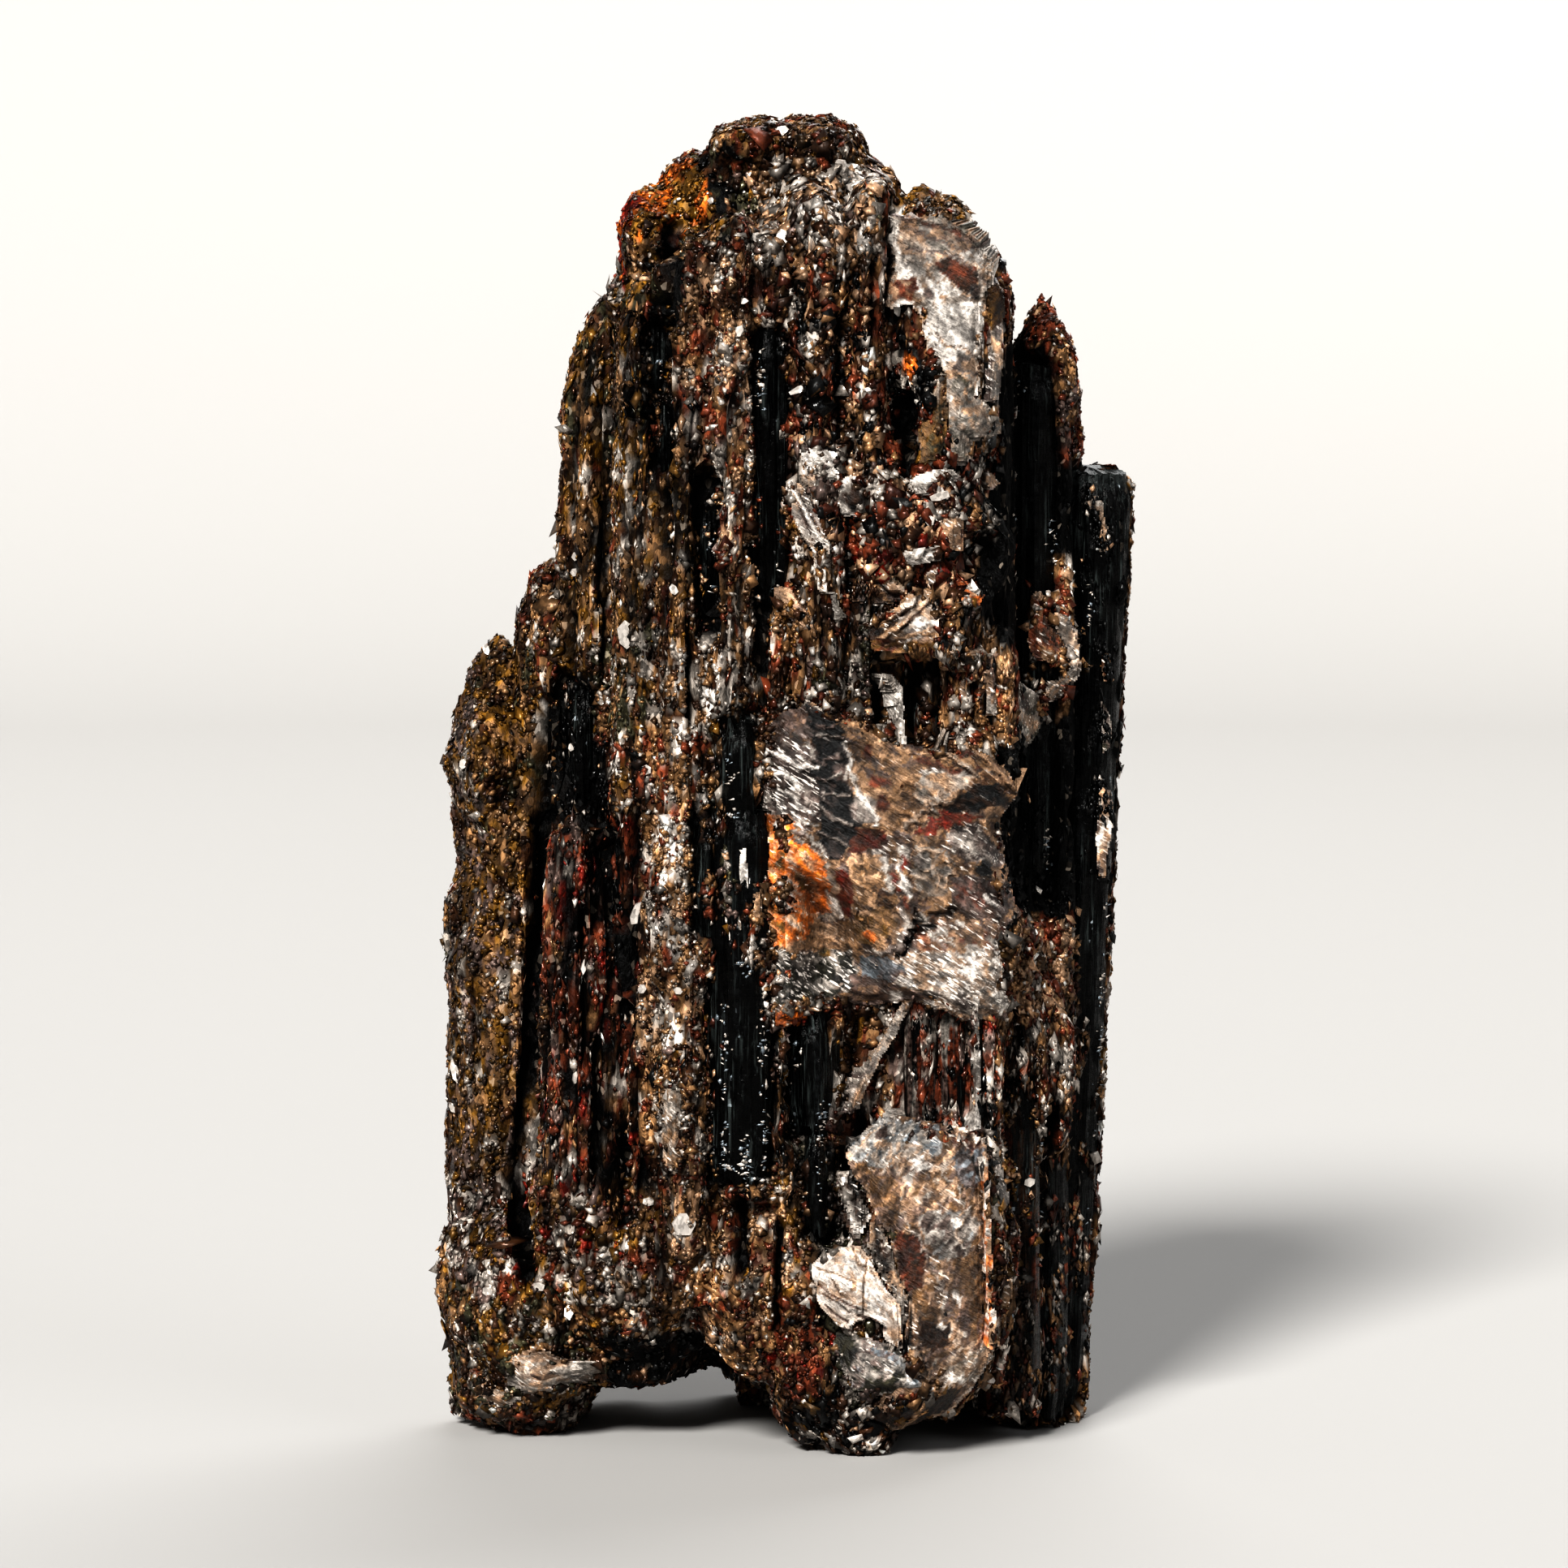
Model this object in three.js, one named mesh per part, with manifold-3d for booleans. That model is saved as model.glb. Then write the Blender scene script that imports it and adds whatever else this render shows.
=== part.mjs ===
// A black tourmaline specimen: a standing bundle of parallel striated prisms, grown into each other, with
// books of mica, a granular mica crust and small mica scales grown onto and between them.
// Millimetres, +Z up along the prisms, front towards -Y. The origin is on the ground, under the middle.
import * as THREE from "three";
import { mergeVertices } from "three/addons/utils/BufferGeometryUtils.js";
import Module from "manifold-3d";

const wasm = await Module();
wasm.setup();

// Overall size of the specimen as it stands.
const HEIGHT = 80;
const WIDTH = 42.8;
const DEPTH = 26;

// Section of a prism: sides around it, how far its ridges stand out and how three-sided it is.
const PRISM_SIDES = 10;
const RIDGE_SHARE = 0.06;
const TRIGONAL_SHARE = 0.07;

// A tip's upper ring: how far down the tip it lies, and how far to one side, as a share of the prism's width.
const TIP_RING_DROP = 0.3;
const TIP_RING_SHIFT = 0.12;

// The inner prisms that the outer ones have grown around.
const CORES = [
  { x: -0.8, y: 1.0, wide: 34, deep: 15, foot: 3.5, top: 45, tip: 8, blunt: 0.75 },
  { x: -0.2, y: 1.0, wide: 24, deep: 15, foot: 3.5, top: 72, tip: 14, blunt: 0.6 },
  { x: 0.2, y: 1.0, wide: 13, deep: 12, foot: 40, top: 77.5, tip: 4, blunt: 0.7 },
  { x: 5.4, y: -3.6, wide: 13, deep: 8.4, foot: 5, top: 53, tip: 4, blunt: 0.8 },
];

// Prisms are `wide` along X and `deep` along Y, and run from `foot` to `top`. `tip` is the height of the
// sloping end, `blunt` the share of the section left at its top, `lean` how far the top stands off along X.
const FRONT_PRISMS = [
  { x: -12.6, y: -5.4, wide: 4.8, deep: 5.4, foot: 12, top: 38.6, tip: 1.8, blunt: 0.6, lean: 0.3 },
  { x: -9.2, y: -6.3, wide: 3.6, deep: 5.2, foot: 10, top: 70.8, tip: 3.6, blunt: 0.6, lean: 0.9 },
  { x: -6.6, y: -7.6, wide: 3.6, deep: 5.4, foot: 9, top: 73.6, tip: 2.8, blunt: 0.65, lean: 0.6 },
  { x: -3.7, y: -8.2, wide: 3.5, deep: 5.0, foot: 42, top: 74.2, tip: 2.0, blunt: 0.7 },
  { x: -1.0, y: -7.3, wide: 2.4, deep: 5.2, foot: 40, top: 73.5, tip: 1.6, blunt: 0.7 },
  { x: 1.7, y: -8.2, wide: 3.8, deep: 5.0, foot: 46, top: 75.8, tip: 2.4, blunt: 0.65 },
  { x: 4.6, y: -7.8, wide: 2.9, deep: 5.0, foot: 46, top: 76.4, tip: 2.2, blunt: 0.7 },
  { x: 9.2, y: -5.4, wide: 6.4, deep: 6.4, foot: 28, top: 75.4, tip: 4.0, blunt: 0.5, lean: -0.6 },
  { x: -4.4, y: -9.0, wide: 2.5, deep: 4.4, foot: 29, top: 38.8, tip: 1.2, blunt: 0.6 },
  { x: -2.6, y: -9.2, wide: 3.3, deep: 4.8, foot: 15.8, top: 44.8, tip: 2.4, blunt: 0.55 },
  { x: -0.7, y: -8.8, wide: 2.3, deep: 4.6, foot: 16.2, top: 39.0, tip: 2.4, blunt: 0.5 },
  { x: 1.7, y: -8.3, wide: 3.5, deep: 5.0, foot: 12, top: 27.3, tip: 0.8, blunt: 0.8 },
  { x: -6.0, y: -8.8, wide: 3.0, deep: 4.4, foot: 12, top: 24.4, tip: 0.8, blunt: 0.75 },
  { x: 8.0, y: -7.6, wide: 2.0, deep: 3.6, foot: 16, top: 28.2, tip: 0.8, blunt: 0.7 },
  { x: 9.9, y: -7.5, wide: 2.1, deep: 3.6, foot: 16, top: 28.4, tip: 0.8, blunt: 0.7 },
  { x: 11.8, y: -7.2, wide: 2.0, deep: 3.6, foot: 16, top: 28.2, tip: 0.8, blunt: 0.7 },
  { x: 10.7, y: -7.2, wide: 1.9, deep: 3.4, foot: 41, top: 49.2, tip: 0.7, blunt: 0.7 },
  { x: 12.5, y: -6.6, wide: 1.9, deep: 3.4, foot: 38, top: 49.6, tip: 0.7, blunt: 0.7 },
];

const SIDE_PRISMS = [
  { x: -18.0, y: 1.8, wide: 5.4, deep: 6.4, foot: 0.6, top: 34.8, tip: 2.2, blunt: 0.75 },
  { x: -17.6, y: 2.8, wide: 5.2, deep: 6.0, foot: 24, top: 48.6, tip: 4.6, blunt: 0.5 },
  { x: -14.8, y: 1.0, wide: 3.8, deep: 7.0, foot: 2, top: 53.4, tip: 4.0, blunt: 0.5, lean: 0.4 },
  { x: -12.7, y: -0.6, wide: 4.6, deep: 7.4, foot: 8, top: 69.6, tip: 7.0, blunt: 0.45, lean: 1.6 },
  { x: -9.6, y: 1.8, wide: 5.0, deep: 8.0, foot: 6, top: 73.4, tip: 5.0, blunt: 0.5, lean: 0.8 },
  { x: -5.2, y: 2.2, wide: 5.4, deep: 8.0, foot: 30, top: 78.0, tip: 2.8, blunt: 0.5 },
  { x: -0.2, y: 2.2, wide: 7.4, deep: 8.0, foot: 30, top: 80.0, tip: 2.0, blunt: 0.75 },
  { x: 4.2, y: 1.2, wide: 5.0, deep: 8.0, foot: 30, top: 78.2, tip: 2.2, blunt: 0.5 },
  { x: 8.6, y: 0.4, wide: 4.6, deep: 8.0, foot: 20, top: 75.8, tip: 2.6, blunt: 0.5, lean: -0.7 },
  { x: 12.0, y: -1.6, wide: 3.6, deep: 7.0, foot: 20, top: 72.4, tip: 3.4, blunt: 0.5, lean: -0.4 },
  { x: 15.0, y: 2.4, wide: 5.4, deep: 6.4, foot: 18, top: 69.2, tip: 5.6, blunt: 0.4 },
  { x: 16.2, y: 4.4, wide: 2.8, deep: 5.0, foot: 30, top: 63.4, tip: 3.0, blunt: 0.5 },
  { x: 15.9, y: 4.6, wide: 5.3, deep: 6.0, foot: 0, top: 58.9, tip: 1.4, blunt: 0.8, lean: 2.8 },
  { x: 14.9, y: 1.2, wide: 4.4, deep: 5.4, foot: 0, top: 33.0, tip: 2.0, blunt: 0.6, lean: 0.6 },
  { x: 13.2, y: -3.2, wide: 4.0, deep: 6.0, foot: 1.4, top: 33.0, tip: 2.0, blunt: 0.6 },
];

const REAR_PRISMS = [
  { x: -14.8, y: 6.4, wide: 5.2, deep: 5.4, foot: 0, top: 44.5, tip: 2.6, blunt: 0.5 },
  { x: -10.2, y: 8.0, wide: 5.4, deep: 5.6, foot: 1.6, top: 62.0, tip: 3.0, blunt: 0.5 },
  { x: -5.4, y: 9.2, wide: 5.8, deep: 5.6, foot: 3.2, top: 70.5, tip: 3.0, blunt: 0.5 },
  { x: 0.2, y: 9.0, wide: 6.4, deep: 6.2, foot: 0, top: 75.4, tip: 3.4, blunt: 0.5 },
  { x: 5.4, y: 9.4, wide: 5.2, deep: 5.6, foot: 0.8, top: 66.0, tip: 2.6, blunt: 0.5 },
  { x: 10.0, y: 7.8, wide: 5.6, deep: 5.8, foot: 0, top: 69.0, tip: 3.2, blunt: 0.5 },
  { x: 14.0, y: 7.4, wide: 4.8, deep: 5.2, foot: 0.6, top: 60.0, tip: 2.4, blunt: 0.5 },
  { x: -2.4, y: 11.4, wide: 3.8, deep: 3.2, foot: 1.0, top: 54.0, tip: 2.0, blunt: 0.5 },
  { x: 7.8, y: 10.8, wide: 3.6, deep: 3.4, foot: 0, top: 35.0, tip: 1.8, blunt: 0.5 },
  { x: 16.6, y: 7.8, wide: 3.2, deep: 3.4, foot: 0, top: 41.0, tip: 1.6, blunt: 0.5 },
];

// Lumps of granular crust and stained feldspar: centre and half-sizes.
const LUMPS = [
  { at: [-15.5, -1.2, 8.8], half: [5.7, 6.0, 6.6], rough: 0.1 }, // lower left foot
  { at: [-15.8, 0.6, 3.8], half: [4.7, 6.0, 4.4], rough: 0.1 },
  { at: [-9.6, -3.6, 9.6], half: [4.8, 5.0, 5.4], rough: 0.12 },
  { at: [-1.4, -5.6, 10.4], half: [5.4, 6.0, 7.0], rough: 0.1 }, // lower middle foot
  { at: [3.2, -6.4, 4.9], half: [4.8, 5.0, 5.0], rough: 0.1 },
  { at: [4.2, -7.4, 2.5], half: [3.0, 3.4, 3.0], rough: 0.08 },
  { at: [-8.0, 1.2, 72.6], half: [2.5, 4.2, 3.2], rough: 0.06 }, // stained lump at the upper left
  { at: [-1.9, 1.4, 78.2], half: [3.0, 4.4, 1.7], rough: 0.08 },
  { at: [1.7, 1.0, 78.2], half: [2.7, 4.2, 1.7], rough: 0.08 },
  { at: [-18.1, 1.6, 40.8], half: [2.5, 4.2, 4.6], rough: 0.1 }, // left shoulder
  { at: [-18.8, 1.4, 28.8], half: [2.0, 3.6, 3.0], rough: 0.1 },
  { at: [-6.2, -8.8, 32.0], half: [2.4, 2.1, 6.4], rough: 0.1 }, // granular patch on the front
  { at: [6.6, -8.4, 56.0], half: [3.6, 2.3, 4.4], rough: 0.12 },
  { at: [10.6, -6.4, 54.0], half: [2.8, 2.8, 3.4], rough: 0.12 },
  { at: [15.0, -2.4, 22.0], half: [2.2, 2.8, 7.0], rough: 0.12 },
  { at: [9.4, 9.4, 16.0], half: [4.4, 3.4, 6.0], rough: 0.12 },
  { at: [-7.4, 9.8, 30.0], half: [4.6, 3.0, 7.0], rough: 0.12 },
  { at: [3.6, 10.2, 58.0], half: [3.6, 2.6, 5.0], rough: 0.12 },
];

// Mica books: stacked sheets, two unless `sheets` says more, with eight edges unless `sides` says otherwise.
// `half` is half the width and height of the lowest sheet and `thick` the whole stack. The sheets face -Y,
// turned by `yaw` about Z and tipped by `pitch`, in degrees, and `spin` varies their outline.
const BOOKS = [
  { at: [9.3, -8.4, 66.6], half: [3.3, 8.0], thick: 1.5, yaw: 8, pitch: 3, sheets: 3, spin: 0.3 },
  { at: [7.0, -9.2, 50.6], half: [4.4, 2.9], thick: 1.5, yaw: -6, pitch: 30, sides: 7, spin: 0.2 },
  { at: [2.4, -9.6, 40.8], half: [2.9, 5.2], thick: 1.3, yaw: 12, pitch: -5, spin: 0.6 },
  { at: [6.0, -9.6, 37.2], half: [3.2, 6.8], thick: 1.5, yaw: 5, pitch: 4, spin: 0.5 },
  { at: [9.8, -9.0, 40.0], half: [3.9, 3.9], thick: 1.5, yaw: 12, pitch: -14, sides: 7, spin: 0.8 },
  { at: [9.6, -9.3, 31.9], half: [4.2, 5.0], thick: 1.5, yaw: 6, pitch: 9, spin: 0.4 },
  { at: [8.4, -9.2, 11.3], half: [4.9, 9.7], thick: 4.4, yaw: 4, pitch: -2, sheets: 3, sides: 11, spin: 0.1 },
  { at: [9.4, -7.8, 10.6], half: [4.2, 9.0], thick: 3.2, yaw: 22, pitch: -2, sides: 9, spin: 0.2 },
  { at: [4.4, -11.0, 10.4], half: [2.7, 3.2], thick: 1.3, yaw: -8, pitch: 10, sides: 6, spin: 0.4 },
  { at: [6.0, -10.2, 5.0], half: [3.1, 3.0], thick: 2.4, yaw: 2, pitch: -22, spin: 0.3 },
  { at: [16.1, -0.6, 48.4], half: [1.9, 3.9], thick: 1.8, yaw: 28, pitch: 6, sides: 7, spin: 0.2 },
  { at: [15.9, 0.4, 64.6], half: [1.5, 3.6], thick: 1.6, yaw: 24, pitch: 10, sides: 7, spin: 0.2 },
  { at: [-15.6, -4.0, 4.6], half: [3.6, 2.9], thick: 1.8, yaw: -14, pitch: -18, spin: 0.5 },
  { at: [-11.2, 11.0, 24.0], half: [3.6, 7.4], thick: 1.6, yaw: 196, pitch: 3, spin: 0.2 },
  { at: [4.4, 12.3, 26.0], half: [3.8, 8.0], thick: 1.6, yaw: 178, pitch: -3, spin: 0.4 },
  { at: [11.6, 10.3, 56.0], half: [2.6, 6.0], thick: 1.4, yaw: 162, pitch: 4, sides: 7, spin: 0.6 },
  { at: [-3.4, 12.2, 62.4], half: [3.2, 5.4], thick: 1.4, yaw: 186, pitch: 6, spin: 0.1 },
  { at: [-20.2, 3.2, 19.0], half: [2.6, 6.2], thick: 1.3, yaw: -88, pitch: 0, sides: 7, spin: 0.3 },
];

// Grooves and slots between the prisms, cut as boxes: centre, size, and lean in degrees about Y.
const GROOVES = [
  { at: [-15.5, -4.6, 24.6], size: [1.0, 5.0, 27.0], lean: 4 }, // the long one beside the left foot
  { at: [6.4, -9.4, 73.2], size: [0.8, 5.0, 5.6], lean: 1 },
  { at: [5.8, -10.2, 67.6], size: [0.8, 3.6, 5.2], lean: 0 },
  { at: [-8.2, -8.8, 65.4], size: [1.0, 3.0, 5.6], lean: 2 },
  { at: [-4.7, -10.2, 55.4], size: [0.9, 2.4, 9.0], lean: 1 },
  { at: [-9.9, -8.8, 20.4], size: [0.7, 3.0, 14.0], lean: 1 },
  { at: [2.8, -10.4, 15.8], size: [1.2, 3.0, 5.4], lean: -1 },
  { at: [13.3, -7.0, 22.4], size: [0.7, 3.4, 10.0], lean: -1 },
];

// Hollows, cut as rough lumps: centre and half-sizes.
const PIT_ROUGH = 0.07;
const PITS = [
  { at: [-2.4, -4.6, 75.2], half: [2.5, 4.0, 1.9] }, // dark hollow under the top ledge
  { at: [3.0, -10.4, 61.6], half: [1.4, 1.2, 1.5] },
  { at: [11.6, -8.6, 53.6], half: [2.0, 2.0, 2.4] },
  { at: [6.4, -10.2, 46.2], half: [1.6, 1.4, 2.2] },
  { at: [-4.6, -5.0, 1.6], half: [2.8, 7.0, 5.2] }, // the notch between the two feet
  { at: [-20.6, 2.0, 34.4], half: [1.5, 4.2, 1.1] },
];

// In a book, how much smaller each sheet is than the one under it, and how far it is pushed to one side.
const SHEET_SHRINK = 0.13;
const SHEET_SLIDE = 0.09;

// How far the upper sheets of a book reach down below its middle, into the one under them, in millimetres.
const SHEET_OVERLAP = 0.1;

// Waves in the outline of a sheet, as shares of its size.
const OUTLINE_WAVES = [0.09, 0.07];

// Small mica scales on the long prisms of the front: the shortest prism that carries one, and their sizes.
const SCALE_HOST_LENGTH = 20;
const SCALE_SIZE = [0.6, 1.3];
const SCALE_THICK = 0.55;

// A small repeatable source of numbers between 0 and 1.
function numbers(seed) {
  let state = seed;
  return () => {
    state = (state * 1664525 + 1013904223) % 4294967296;
    return state / 4294967296;
  };
}

// Merges the shared vertices of a closed geometry and moves each one as `place` says.
function shaped(geometry, place) {
  geometry.deleteAttribute("normal");
  geometry.deleteAttribute("uv");
  const merged = mergeVertices(geometry, 1e-4);
  const position = merged.getAttribute("position");
  const point = new THREE.Vector3();
  for (let i = 0; i < position.count; i++) {
    place(point.fromBufferAttribute(position, i));
    position.setXYZ(i, point.x, point.y, point.z);
  }
  return merged;
}

// A closed geometry as a solid that can be joined or cut.
function solid(geometry) {
  return new wasm.Manifold(
    new wasm.Mesh({
      numProp: 3,
      vertProperties: new Float32Array(geometry.getAttribute("position").array),
      triVerts: new Uint32Array(geometry.index.array),
    }),
  );
}

// Half the section of a prism at an angle, as a share of its half width: three-sided, with upright ridges.
function sectionShare(angle, turn) {
  const ridge = Math.round((angle / (2 * Math.PI)) * PRISM_SIDES) % 2 === 0 ? 1 : -1;
  return 1 + TRIGONAL_SHARE * Math.cos(3 * (angle + turn)) + RIDGE_SHARE * ridge;
}

function prism({ x, y, wide, deep, foot, top, tip, blunt, lean = 0 }) {
  const turn = x * 0.7 + y;
  const geometry = new THREE.CylinderGeometry(1, 1, 1, PRISM_SIDES, 2).rotateX(Math.PI / 2);
  return solid(
    shaped(geometry, (p) => {
      const inTip = p.z > 0.25;
      const onAxis = Math.hypot(p.x, p.y) < 0.5;
      const share = onAxis ? 0 : sectionShare(Math.atan2(p.y, p.x), turn) * (inTip ? blunt : 1);
      let height = foot;
      if (inTip) height = onAxis ? top : top - tip * TIP_RING_DROP;
      else if (p.z > -0.25) height = top - tip;
      const along = (height - foot) / (top - foot);
      p.set(
        x + (p.x * share * wide) / 2 + lean * along + (inTip ? TIP_RING_SHIFT * wide * Math.sin(turn) : 0),
        y + (p.y * share * deep) / 2,
        height,
      );
    }),
  );
}

function lump({ at, half, rough }) {
  const phase = at[0] + 2 * at[1] + 3 * at[2];
  return solid(
    shaped(new THREE.IcosahedronGeometry(1, 1), (p) => {
      const across = Math.sin(5.1 * p.x + phase) * Math.sin(4.7 * p.y + 2 * phase);
      const upward = 0.8 * Math.sin(7.3 * p.z + 6 * p.x + phase);
      p.multiplyScalar(1 + rough * (across + upward));
      p.set(at[0] + p.x * half[0], at[1] + p.y * half[1], at[2] + p.z * half[2]);
    }),
  );
}

// One sheet with an irregular outline, lying in its own XY plane from z = low to z = high.
function sheet(halfWidth, halfHeight, low, high, sides, spin, frame) {
  const geometry = new THREE.CylinderGeometry(1, 1, 1, sides, 1).rotateX(Math.PI / 2);
  return solid(
    shaped(geometry, (p) => {
      const angle = Math.atan2(p.y, p.x);
      const slow = OUTLINE_WAVES[0] * Math.sin(2 * angle + 9 * spin);
      const quick = OUTLINE_WAVES[1] * Math.sin(5 * angle + 17 * spin);
      const share = 1 + slow + quick;
      p.set(p.x * share * halfWidth, p.y * share * halfHeight, p.z > 0 ? high : low);
      p.applyMatrix4(frame);
    }),
  );
}

// The frame of a sheet that faces -Y, turned by yaw about Z and tipped by pitch, with its middle at a point.
function sheetFrame(at, yaw, pitch) {
  const turned = new THREE.Euler(
    THREE.MathUtils.degToRad(90 - pitch),
    0,
    THREE.MathUtils.degToRad(yaw),
    "ZYX",
  );
  return new THREE.Matrix4().makeRotationFromEuler(turned).setPosition(...at);
}

// A stack of sheets, each a little smaller than the one under it and pushed to one side, which leaves ledges.
function book({ at, half, thick, yaw, pitch, sheets = 2, sides = 8, spin }) {
  const made = [];
  for (let i = 0; i < sheets; i++) {
    const share = 1 - SHEET_SHRINK * i;
    const frame = sheetFrame(at, yaw, pitch).multiply(
      new THREE.Matrix4().makeTranslation(
        SHEET_SLIDE * half[0] * i * Math.sin(6 * spin + 1),
        SHEET_SLIDE * half[1] * i * Math.cos(5 * spin),
        0,
      ),
    );
    const low = i === 0 ? -thick : -SHEET_OVERLAP;
    const high = thick * THREE.MathUtils.lerp(-0.15, 0.5, (i + 1) / sheets);
    made.push(sheet(half[0] * share, half[1] * share, low, high, sides, spin + SHEET_SHRINK * i, frame));
  }
  return made;
}

// A mica scale on the outward side of a prism, tilted a little away from its faces.
function scale({ x, y, wide, deep, foot, top, lean = 0 }, random) {
  const outward = Math.atan2(y, x * 0.6) + (random() - 0.5) * 1.2;
  const along = 0.1 + 0.8 * random();
  const size = THREE.MathUtils.lerp(...SCALE_SIZE, random());
  const at = [
    x + lean * along + (Math.cos(outward) * wide) / 2.1,
    y + (Math.sin(outward) * deep) / 2.1,
    THREE.MathUtils.lerp(foot, top, along),
  ];
  const yaw = THREE.MathUtils.radToDeg(outward) + 90 + (random() - 0.5) * 50;
  const frame = sheetFrame(at, yaw, (random() - 0.5) * 50);
  return sheet(size, size * (1 + random()), -SCALE_THICK, SCALE_THICK / 2, 4, random(), frame);
}

function groove({ at, size, lean }) {
  const box = new THREE.BoxGeometry(...size)
    .rotateY(THREE.MathUtils.degToRad(lean))
    .translate(...at);
  return solid(shaped(box, () => {}));
}

function pit({ at, half }) {
  return lump({ at, half, rough: PIT_ROUGH });
}

// The space above the flat ground that the feet rest on.
function standingSpace() {
  const box = new THREE.BoxGeometry(2 * WIDTH, 2 * DEPTH, 2 * HEIGHT).translate(0, 0, HEIGHT);
  return solid(shaped(box, () => {}));
}

function join(solids) {
  return solids.reduce((whole, one) => whole.add(one));
}

// The largest body, without the small gaps that the joined crystals close off inside it.
function outerBody(whole) {
  return whole.decompose().reduce((kept, one) => (one.volume() > kept.volume() ? one : kept));
}

function specimen() {
  const random = numbers(20);
  const hosts = FRONT_PRISMS.filter(({ foot, top }) => top - foot > SCALE_HOST_LENGTH);
  const crystals = join([...CORES, ...FRONT_PRISMS, ...SIDE_PRISMS, ...REAR_PRISMS].map(prism));
  const crust = join(LUMPS.map(lump));
  const cuts = join([...GROOVES.map(groove), ...PITS.map(pit)]);
  const mica = join([...BOOKS.flatMap(book), ...hosts.map((host) => scale(host, random))]);
  return outerBody(crystals.add(crust).subtract(cuts).add(mica).intersect(standingSpace()));
}

// A solid as a three.js geometry with flat faces.
function geometryOf(made) {
  const mesh = made.getMesh();
  const position = new Float32Array(mesh.numVert * 3);
  for (let i = 0; i < mesh.numVert; i++) {
    position.set(mesh.vertProperties.subarray(i * mesh.numProp, i * mesh.numProp + 3), i * 3);
  }
  const geometry = new THREE.BufferGeometry();
  geometry.setAttribute("position", new THREE.BufferAttribute(position, 3));
  geometry.setIndex(new THREE.BufferAttribute(mesh.triVerts, 1));
  return geometry;
}

// Sets a geometry to the overall size, standing on the ground with its middle over the origin.
function fitted(geometry) {
  geometry.computeBoundingBox();
  const size = geometry.boundingBox.getSize(new THREE.Vector3());
  geometry.center().translate(0, 0, size.z / 2);
  return geometry.scale(WIDTH / size.x, DEPTH / size.y, HEIGHT / size.z);
}

const stone = new THREE.MeshStandardMaterial({ color: 0x3a2a20, roughness: 0.5, metalness: 0.1 });
const tourmaline = new THREE.Mesh(fitted(geometryOf(specimen())), stone);
tourmaline.name = "tourmaline_specimen";

const group = new THREE.Group();
group.add(tourmaline);

export default group;
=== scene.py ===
"""A black tourmaline specimen: striated black prisms, a crust of mica flakes, and mica sheets and books.

Sizes are millimetres unless a comment says otherwise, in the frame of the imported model: +Z up along the
prisms, the front towards -Y, and the origin on the ground under the middle. MM turns them into metres.
"""
import logging
import math
from contextlib import contextmanager
from dataclasses import dataclass, field, replace
from enum import Enum
from typing import Callable, Iterator, Optional, Sequence

import bpy
import numpy as np
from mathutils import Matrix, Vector
from mathutils.bvhtree import BVHTree


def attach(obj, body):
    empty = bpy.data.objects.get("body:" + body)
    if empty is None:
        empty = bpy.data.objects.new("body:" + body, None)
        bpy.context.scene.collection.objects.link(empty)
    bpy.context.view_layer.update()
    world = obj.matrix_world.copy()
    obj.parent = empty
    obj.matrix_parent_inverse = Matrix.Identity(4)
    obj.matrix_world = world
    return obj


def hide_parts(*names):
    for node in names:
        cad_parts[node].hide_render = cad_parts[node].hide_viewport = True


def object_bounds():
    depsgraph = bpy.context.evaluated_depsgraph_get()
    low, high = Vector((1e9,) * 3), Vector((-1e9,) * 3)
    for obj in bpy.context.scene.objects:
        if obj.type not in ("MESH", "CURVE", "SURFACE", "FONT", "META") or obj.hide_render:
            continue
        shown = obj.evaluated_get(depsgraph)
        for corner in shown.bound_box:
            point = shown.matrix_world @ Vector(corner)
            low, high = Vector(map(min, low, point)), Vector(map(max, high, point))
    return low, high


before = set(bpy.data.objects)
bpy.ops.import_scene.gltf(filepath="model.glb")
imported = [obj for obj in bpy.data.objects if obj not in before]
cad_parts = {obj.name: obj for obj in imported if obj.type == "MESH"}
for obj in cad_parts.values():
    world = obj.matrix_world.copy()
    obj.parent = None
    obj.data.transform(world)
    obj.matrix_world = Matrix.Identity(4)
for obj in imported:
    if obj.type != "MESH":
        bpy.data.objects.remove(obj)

CAD_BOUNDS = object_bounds()

LOG = logging.getLogger("specimen")
MM = 0.001
SEED = 20
NODE = "tourmaline_specimen"
BODY = "root"
TINT = "tint"

# The photo's view: how far away and how high the camera stands, what it aims at, and its lens.
CAMERA_DISTANCE = 420.0
CAMERA_ELEVATION = math.radians(5.0)
CAMERA_AIM = (0.0, 0.0, 39.526)
CAMERA_LENS = 158.63
CAMERA_SENSOR = 36.0
CAMERA_CLIPS = (0.01, 20.0)

# Where rays at the front start, how low any piece goes, and how high a prism goes.
RAY_START = -60.0
GROUND = 0.02
TOP = 80.0

Array = np.ndarray


class Pick(Enum):
    """What is selected in edit mode."""

    POINTS = "VERT"
    EDGES = "EDGE"
    FACES = "FACE"


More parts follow.
